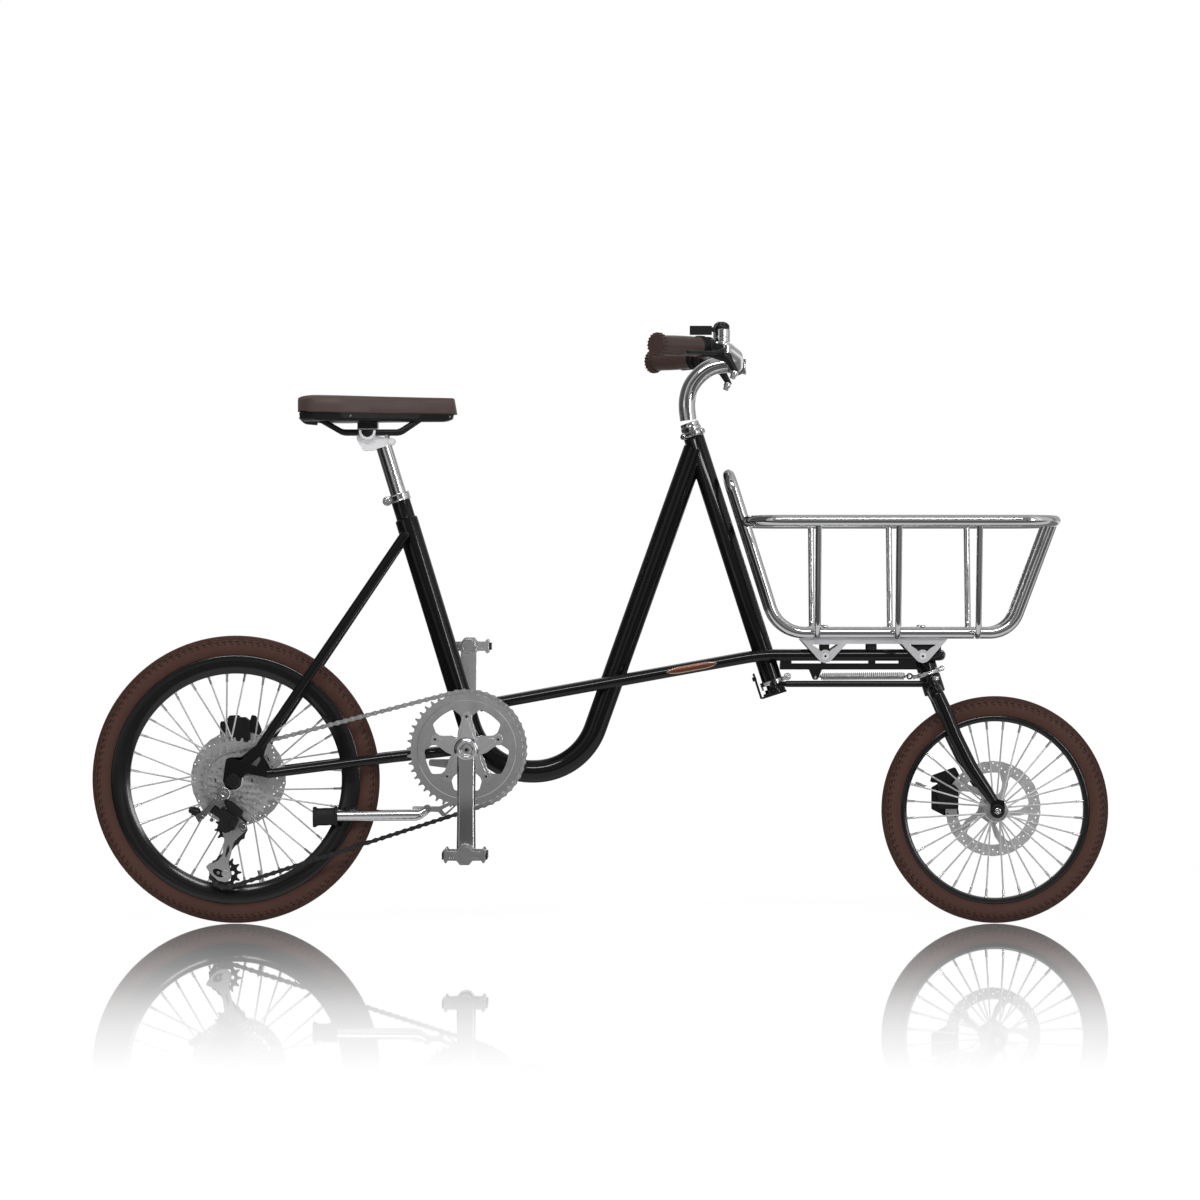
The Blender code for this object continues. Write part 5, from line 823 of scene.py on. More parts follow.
BLACK_NUT_AND_SOCKET_SHADE = finish("blacked_steel_and_socket_shade", (0.007, 0.007, 0.008), 0.0, 0.30, 0.15, 90, 900, 0.00001)
for name, body, centre, half, cap in (("rear_axle", "frame", (-0.60825, 0.2400), 0.0700, 0.0130),
                                      ("front_axle", "front_fork", (0.65875, 0.1895), 0.0530, 0.0110)):
    middle = np.array((centre[0], 0, centre[1]))
    shapes = [rod(middle - ACROSS * (half + 0.006), middle + ACROSS * (half + 0.006), 0.0050)]
    bright = []
    for side in (-1, 1):
        face = middle + ACROSS * side * (half + 0.0028)
        dome = [(0, 0), (cap, 0), (cap, 0.0030), (cap * 0.93, 0.0060), (cap * 0.78, 0.0078)]
        if name == "rear_axle":
            dome += [(cap * 0.45, 0.0081), (0, 0.0080)]
        else:
            dome = [(0, 0), (cap, 0), (cap, 0.0034), (cap * 0.85, 0.0044), (cap * 0.62, 0.0044), (cap * 0.62, 0.0020),
                    (0, 0.0020)]
            bright.append(turned([(0, 0), (0.0062, 0), (0.0062, 0.0062), (0.0052, 0.0074), (0.0020, 0.0074),
                                  (0.0016, 0.0060), (0, 0.0060)], face, ACROSS * side, 6))
        shapes.append(turned(dome, face, ACROSS * side, 36))
    piece(f"{name}_skin", shapes, BLACK_NUT_AND_SOCKET_SHADE, body, "black_plastic", name, crease=30)
    if bright:
        piece(f"{name}_nuts", bright, CHROME, body, "chrome_trim", crease=30, edge=0.0005)

# Chain: 114 pitches of half an inch. Waisted steel side plates, in pairs that lie inside and
# outside by turns, on rollers and riveted pins; the path is worked out from the toothed wheels.

PITCH = 0.0127
CHAIN_Y = -0.0450
UPPER_PULLEY = (-0.6140, 0.1610)
CHAIN_STEEL = finish("chain_steel", (0.72, 0.72, 0.73), 1.0, 0.22, 0.25, 140, 1600, 0.00001)


def pitch_radius(teeth):
    return PITCH / (2 * math.sin(math.pi / teeth))


def chain_stretches(cage_angle):
    """The wheels that the chain runs round, as (centre, teeth, way), and its arcs and straight runs in turn."""
    lower = (UPPER_PULLEY[0] + 0.0754 * math.cos(cage_angle), UPPER_PULLEY[1] + 0.0754 * math.sin(cage_angle))
    wheels = [((-0.2220, 0.2910), 48, 1), ((-0.60825, 0.2400), 24, 1), (UPPER_PULLEY, 12, -1), (lower, 12, 1)]
    runs = []
    for number, (centre, teeth, way) in enumerate(wheels):
        other, other_teeth, other_way = wheels[(number + 1) % 4]
        radius, other_radius = way * pitch_radius(teeth), other_way * pitch_radius(other_teeth)
        angle = math.atan2(other[1] - centre[1],
                           other[0] - centre[0]) - math.acos((radius - other_radius) / math.dist(centre, other))
        out = (math.cos(angle), math.sin(angle))
        runs.append(((centre[0] + radius * out[0], centre[1] + radius * out[1]),
                     (other[0] + other_radius * out[0], other[1] + other_radius * out[1])))
    stretches = []
    for number, (centre, teeth, way) in enumerate(wheels):
        arrive, leave = runs[number - 1][1], runs[number][0]
        start = math.atan2(arrive[1] - centre[1], arrive[0] - centre[0])
        sweep = (way * (math.atan2(leave[1] - centre[1], leave[0] - centre[0]) - start)) % math.tau
        stretches.append((sweep * teeth / math.tau, centre, pitch_radius(teeth), start, way * sweep))
        stretches.append((math.dist(*runs[number]) / PITCH, *runs[number]))
    return wheels, stretches


def chain_point(stretches, where):
    for pitches, *data in stretches:
        if where <= pitches:
            share = where / pitches
            if len(data) == 4:
                centre, radius, start, sweep = data
                return centre[0] + radius * math.cos(start + sweep * share), centre[1] + radius * math.sin(start + sweep * share)
            return tuple(np.array(data[0]) * (1 - share) + np.array(data[1]) * share)
        where -= pitches
    return chain_point(stretches, 0.0)


shallow, steep = math.radians(240), math.radians(275)
for _ in range(50):
    CAGE_ANGLE = (shallow + steep) / 2
    if sum(stretch[0] for stretch in chain_stretches(CAGE_ANGLE)[1]) > 114:
        shallow = CAGE_ANGLE
    else:
        steep = CAGE_ANGLE
TOOTHED, STRETCHES = chain_stretches(CAGE_ANGLE)
LOWER_PULLEY = TOOTHED[3][0]


def first_pin_angle(number):
    """The angle, about a wheel, of the first chain pin that lies on it."""
    before = sum(stretch[0] for stretch in STRETCHES[: 2 * number])
    x, z = chain_point(STRETCHES, math.ceil(before))
    return math.atan2(z - TOOTHED[number][0][1], x - TOOTHED[number][0][0])


pins = np.array([(x, CHAIN_Y, z) for x, z in (chain_point(STRETCHES, number) for number in range(114))])
way = np.roll(pins, -1, 0) - pins
way /= np.linalg.norm(way, axis=1)[:, None]
across = np.broadcast_to(ACROSS, way.shape)
square = np.cross(way, ACROSS)
rear_end = [(0.0042 * math.cos(angle), 0.0042 * math.sin(angle)) for angle in np.radians((115, 150, 180, 210, 245))]
front_end = [(PITCH + 0.0042 * math.cos(angle),
              0.0042 * math.sin(angle)) for angle in np.radians((-65, -30, 0, 30, 65))]
link = rear_end + [(PITCH / 2, -0.0025)] + front_end + [(PITCH / 2, 0.0025)]
shapes = []
for first, gap in ((0, 0.0020), (1, 0.00305)):
    for side in (-1, 1):
        half = plate([(u, v * (1.0 if first else 1.1)) for u, v in link], 0.0009, side * gap)
        shapes.append(repeated(half, pins[first::2], way[first::2], across[first::2], square[first::2]))
roller = turned([(0, -0.0015), (0.0038, -0.0015), (0.0038, 0.0015), (0, 0.0015)], np.zeros(3), ACROSS, 12)
rivet = turned([(0, -0.0038), (0.0013, -0.0038), (0.0018, -0.0035), (0.0018, 0.0035), (0.0013, 0.0038), (0, 0.0038)],
               np.zeros(3), ACROSS, 8)
shapes += [repeated(roller, pins, way, across, square), repeated(rivet, pins, way, across, square)]
# Painted shade: below 215 mm above the ground the chain's colour goes over to dark grey, fully so at 180 mm, so that
# its lower run looks shaded.
tree = CHAIN_STEEL.node_tree
place = tree.nodes.new("ShaderNodeTexCoord")
split = tree.nodes.new("ShaderNodeSeparateXYZ")
lower_shade = tree.nodes.new("ShaderNodeMapRange")
lower_shade.inputs["From Min"].default_value = 0.215
lower_shade.inputs["From Max"].default_value = 0.180
painted_shade_mix = tree.nodes.new("ShaderNodeMix")
painted_shade_mix.data_type = "RGBA"
painted_shade_mix.inputs["B"].default_value = (0.060, 0.060, 0.062, 1)
tree.links.new(place.outputs["Object"], split.inputs["Vector"])
tree.links.new(split.outputs["Z"], lower_shade.inputs["Value"])
tree.links.new(lower_shade.outputs["Result"], painted_shade_mix.inputs["Factor"])
tree.links.new(tree.nodes["Group"].outputs["Colour"], painted_shade_mix.inputs["A"])
tree.links.new(painted_shade_mix.outputs["Result"], tree.nodes["Principled BSDF"].inputs["Base Color"])
piece("chain_links", shapes, CHAIN_STEEL, "frame", "dark_steel", "chain", crease=30)


# Sprockets: seven pressed steel wheels on a splined carrier, with lightening holes, and a
# lock ring outside. The chainring is a machined alloy plate on a five-armed forged spider.

RING_ALLOY = finish("polished_alloy", (0.74, 0.74, 0.75), 1.0, 0.13, 0.12, 45, 900, 0.00001, 6.0)


def toothed(centre, teeth, pin_angle, tip_rise=0.0024):
    """Teeth midway between the chain's pins: half the outline of one tooth as (radius, half width), mirrored."""
    middle = pitch_radius(teeth)
    flank = ((middle - 0.0042, 0.0046), (middle - 0.0038, 0.0034), (middle - 0.0018, 0.0024), (middle + 0.0006, 0.0017),
             (middle + tip_rise, 0.0012))
    marks = [(far, -half / far) for far, half in flank] + [(far, half / far) for far, half in reversed(flank)]
    angles = pin_angle + math.tau * (np.arange(teeth) + 0.5) / teeth
    far = np.tile([mark[0] for mark in marks], teeth)
    turn = np.repeat(angles, len(marks)) + np.tile([mark[1] for mark in marks], teeth)
    return np.stack([centre[0] + far * np.cos(turn), centre[1] + far * np.sin(turn)], -1)


axle = (-0.60825, 0.2400)
shapes = [closed_turned([(0.0053, -0.0336), (0.0165, -0.0336), (0.0165, -0.0660), (0.0135, -0.0669), (0.0053, -0.0669)],
                        np.array((axle[0], 0, axle[1])), ACROSS, 40)]
for number, teeth in enumerate((34, 28, 24, 20, 16, 13, 11)):
    holes = [disc(axle, 0.0055, 16)]
    middle = pitch_radius(teeth)
    if teeth > 18:
        count = teeth // 2
        far = (middle - 0.0046 + 0.0175) / 2
        size = min((middle - 0.0046 - 0.0175) * 0.30, far * math.pi / count * 0.72)
        for hole in range(count):
            turn = math.tau * hole / count
            holes.append(disc((axle[0] + far * math.cos(turn), axle[1] + far * math.sin(turn)), size, 12))
    pin_angle = first_pin_angle(1) if teeth == 24 else 0.1 * number
    shapes.append(plate(toothed(axle, teeth, pin_angle, 0.0022), 0.0018, -0.0350 - 0.0050 * number, *holes))
piece("sprocket_set", shapes, ROTOR_STEEL, "sprockets", "chrome_trim", "cassette", crease=30)


def fan(centre, angle, reach, across=0.0):
    """A point at a reach from the centre along an angle, and square to it by across."""
    return (centre[0] + reach * math.cos(angle) - across * math.sin(angle),
            centre[1] + reach * math.sin(angle) + across * math.cos(angle))


crank = (-0.2220, 0.2910)
inner = []
for number in range(5):
    angle = math.pi / 2 + math.tau * number / 5
    inner += [fan(crank, angle, reach, across) for reach,
              across in ((0.0668, -0.0230), (0.0570, -0.0105), (0.0480, -0.0085),
                                                                   (0.0480, 0.0085), (0.0570, 0.0105),
                         (0.0668, 0.0230))]
    inner += [fan(crank, angle + math.radians(turn), 0.0697) for turn in (26, 31, 36, 41, 46)]
holes = [eased(inner, [0.0090, 0.0060, 0.0060, 0.0060, 0.0060, 0.0090, 0, 0, 0, 0, 0] * 5, 5)]
for number in range(5):
    holes.append(disc(fan(crank, math.pi / 2 + math.tau * number / 5, 0.0550), 0.0034, 12))
ring_centre = np.array((crank[0], 0, crank[1]))
shapes = [plate(toothed(crank, 48, first_pin_angle(0)), 0.0020, CHAIN_Y, *holes),
          closed_turned([(0.0700, -0.0459), (0.0700, -0.0466), (0.0815, -0.0466), (0.0824, -0.0459)], ring_centre,
                        ACROSS, 144),
          closed_turned([(0.0838, -0.0459), (0.0838, -0.0462), (0.0846, -0.0462), (0.0846, -0.0459)], ring_centre,
                        ACROSS, 144)]
piece("chainring_plate", shapes, RING_ALLOY, "crankset", "bare_alloy", "chainring", crease=28)


# Cranks: forged alloy arms, ground with flat faces and bright chamfers and polished. The right
# one is one piece with the spider; each is drawn on to the spindle by a bolt.

def crank_arm(side, reach, half, depth=0.0120):
    """A flat bar with wide chamfers on its outer face, carried from the spindle out to the pedal's eye."""
    share = np.linspace(0, 1, 24)[:, None]
    start, end = np.array((-0.2220, side * 0.0560, 0.2910)), np.array((-0.2220, side * 0.0760, 0.2910 + reach))
    path = start + (end - start) * share + np.array((0, side * 0.0085, 0)) * share * (1 - share)
    wide = half * (1 - 0.05 * np.sin(math.pi * share[:, 0]))
    cut = 0.0040
    section = np.array([(-1, -depth / 2), (1, -depth / 2), (1, depth / 2 - cut), (1, depth / 2), (-1, depth / 2),
                        (-1, depth / 2 - cut)])
    rows = np.broadcast_to(section, (24, 6, 2)).copy()
    rows[..., 0] *= wide[:, None]
    rows[:, 3:5, 0] -= np.sign(rows[:, 3:5, 0]) * cut * 0.9
    return carried(path, rows, across=ALONG)


def star(arm_half, valley):
    """Five arms, each given by (reach, half width) on its way out, and a valley between each two."""
    outline = []
    for number in range(5):
        angle = math.pi / 2 + math.tau * number / 5
        outline += [fan(crank, angle, reach, -half) for reach, half in arm_half]
        outline += [fan(crank, angle, reach, half) for reach, half in reversed(arm_half)]
        outline.append(fan(crank, angle + math.pi / 5, valley))
    return outline


arms = star(((0.0310, 0.0145), (0.0440, 0.0100), (0.0530, 0.0082), (0.0590, 0.0072), (0.0622, 0.0042)), 0.0262)
shapes = [crank_arm(-1, -0.1700, 0.0160), plate(arms, 0.0040, -0.0483),
          turned([(0.0101, -0.0470), (0.0215, -0.0470), (0.0215, -0.0510), (0.0180, -0.0560), (0.0101, -0.0560)],
                 ring_centre, ACROSS, 40),
          turned([(0.0101, -0.0480), (0.0175, -0.0480), (0.0175, -0.0640), (0.0155, -0.0660), (0.0110, -0.0660),
                  (0.0101, -0.0640)], ring_centre, ACROSS, 40),
          turned([(0, -0.0690), (0.0160, -0.0690), (0.0160, -0.0815), (0.0140, -0.0830), (0.0070, -0.0830),
                  (0.0064, -0.0818), (0, -0.0818)],
                 ring_centre + (0, 0, -0.1700), ACROSS, 40)]
spines = star(((0.0260, 0.0105), (0.0400, 0.0060), (0.0500, 0.0034)), 0.0228)
shapes.append(plate(spines, 0.0016, -0.0509))
piece("right_crank_skin", shapes, CHROME, "crankset", "chrome_trim", "crank_arm_right", crease=25, edge=0.0004)
spots = [fan(crank, math.pi / 2 + math.tau * number / 5, 0.0550) for number in range(5)]
bolts = [closed_turned([(0.0016, -0.0500), (0.0034, -0.0500), (0.0036, -0.0525), (0.0030, -0.0532), (0.0018, -0.0532)],
                       np.array((x, 0, z)), ACROSS, 20) for x, z in spots]
bolts += [rod((x, -0.0432, z), (x, -0.0505, z), 0.0034, 16) for x, z in spots]
bolts += [closed_turned([(0.0022, -0.0600), (0.0084, -0.0600), (0.0084, -0.0648), (0.0070, -0.0660), (0.0034, -0.0660),
                         (0.0022, -0.0645)],
                        ring_centre, ACROSS, 28)]
piece("ring_bolts", bolts, HUB_ALLOY, "crankset", "bare_alloy", crease=30)
# Painted shade: black fills in the sockets of the ring bolts and the crank bolt stand for the shade in those recesses.
piece("bolt_socket_shade", [rod((x, -0.0495, z), (x, -0.0520, z), 0.0018, 12) for x, z in spots + [crank]]
      + [rod((crank[0], -0.0560, crank[1]), (crank[0], -0.0635, crank[1]), 0.0028, 14)], BLACK_NUT_AND_SOCKET_SHADE, "crankset",
      "black_plastic")

LEFT_ALLOY = finish("brushed_alloy", (0.68, 0.68, 0.69), 1.0, 0.24, 0.10, 40, 1300, 0.00001, 5.0)
shapes = [crank_arm(1, 0.1700, 0.0135),
          turned([(0.0101, 0.0480), (0.0150, 0.0480), (0.0150, 0.0640), (0.0135, 0.0660), (0.0101, 0.0660)],
                 ring_centre, ACROSS, 40),
          turned([(0, 0.0690), (0.0120, 0.0690), (0.0135, 0.0705), (0.0135, 0.0825), (0.0085, 0.0825), (0.0080, 0.0812),
                  (0, 0.0812)],
                 ring_centre + (0, 0, 0.1700), ACROSS, 40),
          closed_turned([(0.0096, 0.0700), (0.0096, 0.0686), (0.0122, 0.0686), (0.0126, 0.0700)],
                        ring_centre + (0, 0, 0.1700), ACROSS, 40)]
piece("left_crank_skin", shapes, LEFT_ALLOY, "crankset", "chrome_trim", "crank_arm_left", crease=25, edge=0.0004)
shapes = [rod((crank[0], -0.0600, crank[1]), (crank[0], 0.0600, crank[1]), 0.0100, 28)]
for side in (-1, 1):
    for number in range(2):
        near, far = 0.0343 + 0.0026 * number, 0.0364 + 0.0022 * number
        shapes.append(turned([(0, near), (0.0165 - 0.002 * number, near), (0.0165 - 0.002 * number, far), (0, far)],
                             ring_centre, ACROSS * side, 32))
piece("spindle_and_cups", shapes, HUB_ALLOY, "crankset", "bare_alloy", "crank_spindle", crease=30)


# Pedals: polished alloy cages with toothed edges bolted to a turned barrel, and black rubber
# blocks at the front and the rear.

TREAD_RUBBER = finish("black_rubber", (0.009, 0.009, 0.009), 0.0, 0.50, 0.15, 60, 1100, 0.00004)
for side, name in ((-1, "right"), (1, "left")):
    x, y, z = -0.2220, side * 0.1330, 0.2910 + side * 0.1700
    centre = np.array((x, 0, z))
    profile = [(0, 0.0832), (0.0070, 0.0832), (0.0078, 0.0845), (0.0078, 0.0880), (0.0100, 0.0895), (0.0115, 0.0920),
               (0.0108, 0.0990), (0.0092, 0.1060), (0.0090, 0.1330), (0.0092, 0.1600), (0.0112, 0.1680),
               (0.0115, 0.1740), (0.0070, 0.1750), (0, 0.1750)]
    shapes = [turned(profile, centre, ACROSS * side, 28)]
    bow = [(0.0335, 0.0100), (0.0300, 0.0128), (0.0275, 0.0075), (0.0130, 0.0078), (0.0075, 0.0148)]
    bow += [(-reach, height) for reach, height in reversed(bow)]
    bow += [(reach, -height) for reach, height in reversed(bow)]
    outline = eased([(x + reach, z + height) for reach, height in bow], 0.0022, 2)
    windows = [eased([(x + way * 0.0240, z - 0.0035), (x + way * 0.0140, z - 0.0035), (x + way * 0.0140, z + 0.0035),
                      (x + way * 0.0240, z + 0.0035)], 0.001, 2) for way in (-1, 1)]
    for offset in (-0.0428, 0.0428):
        shapes.append(plate(outline, 0.0026, y + offset, *windows))
        shapes.append(plate(outline, 0.0018, y + offset * 0.88))
    teeth = []
    for row in (-1, 1):
        marks = np.linspace(-0.0430, 0.0430, 19)
        teeth += [(mark, row * (0.0095 if number % 2 else 0.0068)) for number, mark in enumerate(marks[::row and -row])]
    for offset in (-0.0330, 0.0330):
        shapes.append(plate(teeth, 0.0022, 0, origin=(x + offset, y, z), along=ACROSS, up=UP))
    for bolt in (-0.0245, 0.0245):
        for way in (-1, 1):
            shapes.append(rod((x + way * 0.0345, y + bolt, z), (x + way * 0.0374, y + bolt, z), 0.0028, 6))
    piece(f"{name}_pedal_cage", shapes, RING_ALLOY, f"{name}_pedal", "bare_alloy", f"pedal_{name}", crease=30,
          edge=0.0003)
    blocks = []
    for offset in (-0.0357, 0.0357):
        for rung in range(5):
            blocks.append(block((0.0030, 0.0135, 0.0120), (x + offset, y - 0.0340 + 0.0170 * rung, z)))
        blocks.append(block((0.0016, 0.0820, 0.0085), (x + offset, y, z)))
    piece(f"{name}_pedal_blocks", blocks, TREAD_RUBBER, f"{name}_pedal", "black_plastic", edge=0.0005)


# Gear arm: a black cast body on a bright bolt, a pressed alloy cage with cut windows, and two
# black toothed pulleys that keep the chain tight.

BLACK_PLASTIC_AND_SOCKET_SHADE = finish("black_plastic", (0.008, 0.008, 0.009), 0.0, 0.36, 0.12, 60, 1400, 0.00002)
cast = eased([(-0.6372, 0.2010), (-0.5978, 0.1781), (-0.6060, 0.1590), (-0.6208, 0.1535), (-0.6340, 0.1617),
              (-0.6290, 0.1781),
              (-0.6471, 0.1896)], 0.0025)
spring_box = eased([(-0.6240, 0.2090), (-0.6100, 0.2060), (-0.5900, 0.1900), (-0.5960, 0.1790), (-0.6180, 0.1930)],
                   0.003)
shapes = [plate(cast, 0.0170, -0.0735), plate(spring_box, 0.0100, -0.0700),
          turned([(0, 0), (0.0036, 0), (0.0036, 0.0060), (0.0070, 0.0090), (0.0070, 0.0130), (0.0052, 0.0240),
                  (0.0030, 0.0255), (0, 0.0255)],
                 (-0.6560, -0.0800, 0.1855), (-0.94, 0, 0.30), 28),
          rod((-0.6070, -0.0650, 0.1700), (-0.6070, -0.0870, 0.1700), 0.0060, 24)]
for number in range(12):
    turn = math.tau * number / 12
    shapes.append(block((0.0090, 0.0014, 0.0012),
                        np.array((-0.6700, -0.0800, 0.1900)) + 0.0066 * np.array((math.cos(turn) * 0.3, math.sin(turn),
                                math.cos(turn) * 0.95)),
                        along=np.array((0.94, 0, -0.30)), up=np.array((0.30, 0, 0.94))))
piece("gear_body", shapes, BLACK_PLASTIC_AND_SOCKET_SHADE, "frame", "black_plastic", "derailleur_body", crease=30, edge=0.0008)
bracket = eased([(-0.6372, 0.2125), (-0.6225, 0.1994), (-0.6274, 0.1945), (-0.6372, 0.2027), (-0.6504, 0.1830),
                 (-0.6640, 0.1716),
                 (-0.6700, 0.1830), (-0.6586, 0.1896)], 0.0016)
shapes = [plate(bracket, 0.0040, -0.0850),
          turned([(0, 0), (0.0115, 0), (0.0115, 0.0030), (0.0100, 0.0045), (0.0045, 0.0045), (0.0040, 0.0030),
                  (0, 0.0030)], (-0.6232, -0.0760, 0.2195), -ACROSS, 32),
          rod((-0.6232, -0.0680, 0.2195), (-0.6232, -0.0765, 0.2195), 0.0070, 20),
          plate(eased([(-0.5960, 0.1720), (-0.5850, 0.1690), (-0.5830, 0.1570), (-0.5930, 0.1550), (-0.5990, 0.1640)],
                      0.003), 0.0120, -0.0740),
          rod((-0.5905, -0.0600, 0.1640), (-0.5905, -0.0835, 0.1640), 0.0050, 20),
          rod((-0.6420, -0.0700, 0.1760), (-0.6420, -0.0862, 0.1760), 0.0036, 16),
          rod((-0.6585, -0.0790, 0.1800), (-0.6585, -0.0885, 0.1800), 0.0042, 6)]
piece("gear_links", shapes, CHROME, "frame", "chrome_trim", crease=30, edge=0.0004)

near_plate = [(-0.6010, 0.1800), (-0.5900, 0.1700), (-0.5910, 0.1540), (-0.6080, 0.1385), (-0.6170, 0.1030),
              (-0.6120, 0.0790),
              (-0.6200, 0.0710), (-0.6345, 0.0737), (-0.6480, 0.0862), (-0.6560, 0.0985), (-0.6450, 0.1019),
              (-0.6339, 0.1075),
              (-0.6273, 0.1157), (-0.6240, 0.1419), (-0.6290, 0.1600), (-0.6230, 0.1760), (-0.6120, 0.1830)]
turn = math.radians(-28)
window = disc((0, 0), 1.0, 28) * (0.0105,
                                  0.0062) @ np.array(((math.cos(turn), math.sin(turn)),
                                                      (-math.sin(turn), math.cos(turn)))) + (-0.6335, 0.0865)
slot = eased([(-0.6190, 0.1330), (-0.6150, 0.1330), (-0.6190, 0.1130), (-0.6230, 0.1130)], 0.0015)
shapes = [plate(eased(near_plate, 0.006), 0.0020, CHAIN_Y - 0.0068, window, slot)]
shapes.append(plate(eased(near_plate, 0.006) * (0.94, 0.94) + (-0.0370, 0.0080), 0.0018, CHAIN_Y + 0.0068))
for centre in (UPPER_PULLEY, LOWER_PULLEY):
    shapes.append(rod((centre[0], CHAIN_Y - 0.0092, centre[1]), (centre[0], CHAIN_Y + 0.0092, centre[1]), 0.0040, 24))
    shapes.append(rod((centre[0], CHAIN_Y - 0.0068, centre[1]), (centre[0], CHAIN_Y - 0.0105, centre[1]), 0.0058, 24))
piece("gear_cage", shapes, LEFT_ALLOY, "pulley_cage", "bare_alloy", "derailleur_cage", crease=30, edge=0.0003)
for number, name in ((2, "upper"), (3, "lower")):
    centre = TOOTHED[number][0]
    windows = [disc(fan(centre, math.tau * spot / 6, 0.0120), 0.0032, 12) for spot in range(6)] + [disc(centre, 0.0043,
            16)]
    shapes = [plate(toothed(centre, 12, first_pin_angle(number)), 0.0020, CHAIN_Y, *windows),
              closed_turned([(0.0043, -0.0032), (0.0080, -0.0032), (0.0080, 0.0032), (0.0043, 0.0032)],
                            np.array((centre[0], CHAIN_Y, centre[1])), ACROSS, 28)]
    piece(f"{name}_pulley_wheel", shapes, BLACK_PLASTIC_AND_SOCKET_SHADE, f"{name}_pulley", "black_plastic", f"jockey_{name}", crease=30)


# Stand: one plated steel leg that lies along the bike when folded, with a spring at its hinge
# and a black plastic foot pushed over its end.

leg_path = bent_path([(-0.2890, -0.0305, 0.1895), (-0.3020, -0.0305, 0.1818), (-0.3300, -0.0305, 0.1815),
                      (-0.4370, -0.0305, 0.1805)], 0.02, 0.002)
shapes = [tube(leg_path, np.interp(np.arange(len(leg_path)), (0, 3, 6), (0.0070, 0.0085, 0.0096)), 32),
          turned([(0, 0.0), (0.0070, 0.0), (0.0072, 0.0015), (0.0072, 0.0165), (0.0070, 0.0178), (0, 0.0178)],
                 (-0.2880, -0.0365, 0.1920), ACROSS, 32)]
piece("stand_leg", shapes, CHROME, "kickstand", "bare_alloy", "kickstand_leg", crease=40)
stations = np.array([(0, 0.55), (0.0, 0.97), (0.0012, 1.0), (0.0035, 1.0), (0.0045, 0.90), (0.0060, 0.86),
                     (0.0130, 0.84), (0.0200, 0.86),
                     (0.0300, 0.84), (0.0340, 0.88), (0.0355, 1.0), (0.0395, 1.0), (0.0408, 0.95), (0.0410, 0.55)])
path = np.stack([-0.4375 - stations[:, 0], 0 * stations[:, 0] - 0.0300, 0.1795 - 0.03 * stations[:, 0]], -1)
grid = path[:, None] + stations[:, 1][:, None,
                                      None] * (ring(40)[None, :, :1] * ACROSS * 0.0102 + ring(40)[None, :,
                                              1:] * UP * 0.0172)
piece("stand_foot", [skin(grid)], TREAD_RUBBER, "kickstand", "black_plastic", "kickstand_foot", crease=35)

# Rail badge: a thin pointed copper plate bent round the near rail, on a paler one. It is plain.

COPPER = finish("badge_copper", (0.22, 0.085, 0.055), 0.9, 0.30, 0.2, 60, 1400, 0.00001)
PALE_EDGE = finish("badge_edge", (0.55, 0.46, 0.40), 0.9, 0.25, 0.1, 60, 1200, 0.000005)


def badge_plate(half_length, half_angle, height):
    """Along the rail by u and round it by v: the width falls to nothing at the pointed ends."""
    u = np.linspace(-1, 1, 61)[:, None]
    v = np.linspace(-1, 1, 13)[None]
    angle = half_angle * np.clip(1.12 - 1.12 * np.abs(u) ** 3.2, 0.0, 1) ** 0.7 * v
    start = np.array((-0.2010, -RAIL_Y, 0.3629))
    along = np.array((0.2666, -RAIL_Y, 0.4476)) - start
    along /= np.linalg.norm(along)
    up = np.cross(along, -ACROSS)
    up /= np.linalg.norm(up)
    centre = start + along * 0.3585 + along * (u * half_length)[..., None]
    lift = RAIL_RADIUS + height * np.clip((1 - np.abs(v) ** 6) * 3, 0.2, 1)
    out = -ACROSS * (np.cos(angle) * lift)[..., None] + up * (np.sin(angle) * lift)[..., None]
    low = RAIL_RADIUS - 0.0004
    inner = -ACROSS * (np.cos(angle) * low)[..., None] + up * (np.sin(angle) * low)[..., None]
    return skin(np.concatenate([centre + out, (centre + inner)[:, ::-1]], 1))


piece("rail_badge_edge", [badge_plate(0.0430, 0.62, 0.0005)], PALE_EDGE, "frame", "bare_alloy")
piece("rail_badge", [badge_plate(0.0405, 0.50, 0.0008)], COPPER, "frame", "bare_alloy")


# Clamps and headset: turned and plated collars. The seat clamp closes with a bolt through a
# round eye; the headset's top cap is held down by three round-headed screws.

clamp_profile = [(0.0162, 0.1376), (0.0178, 0.1376), (0.0185, 0.1383), (0.0185, 0.1396), (0.0179, 0.1402),
                 (0.0179, 0.1485),
                 (0.0185, 0.1491), (0.0185, 0.1502), (0.0180, 0.1507), (0.0162, 0.1507)]
eye = on_seat(0.1442, -0.0212)
shapes = [closed_turned(clamp_profile, SEAT_MARK, SEAT_UP, 64),
          block((0.0110, 0.0120, 0.0100), on_seat(0.1442, -0.0205), along=SEAT_OUT, up=SEAT_UP),
          rod(eye - (0, 0.0090, 0), eye + (0, 0.0090, 0), 0.0080, 28, 0.001),
          rod(eye - (0, 0.0110, 0), eye + (0, 0.0110, 0), 0.0045, 24),
          closed_turned([(0.0020, -0.0098), (0.0042, -0.0098), (0.0045, -0.0110), (0.0038, -0.0116), (0.0022, -0.0116)],
                        eye, ACROSS, 20)]
piece("seat_clamp_skin", shapes, CHROME, "frame", "chrome_trim", "seat_clamp", crease=30, edge=0.0005)

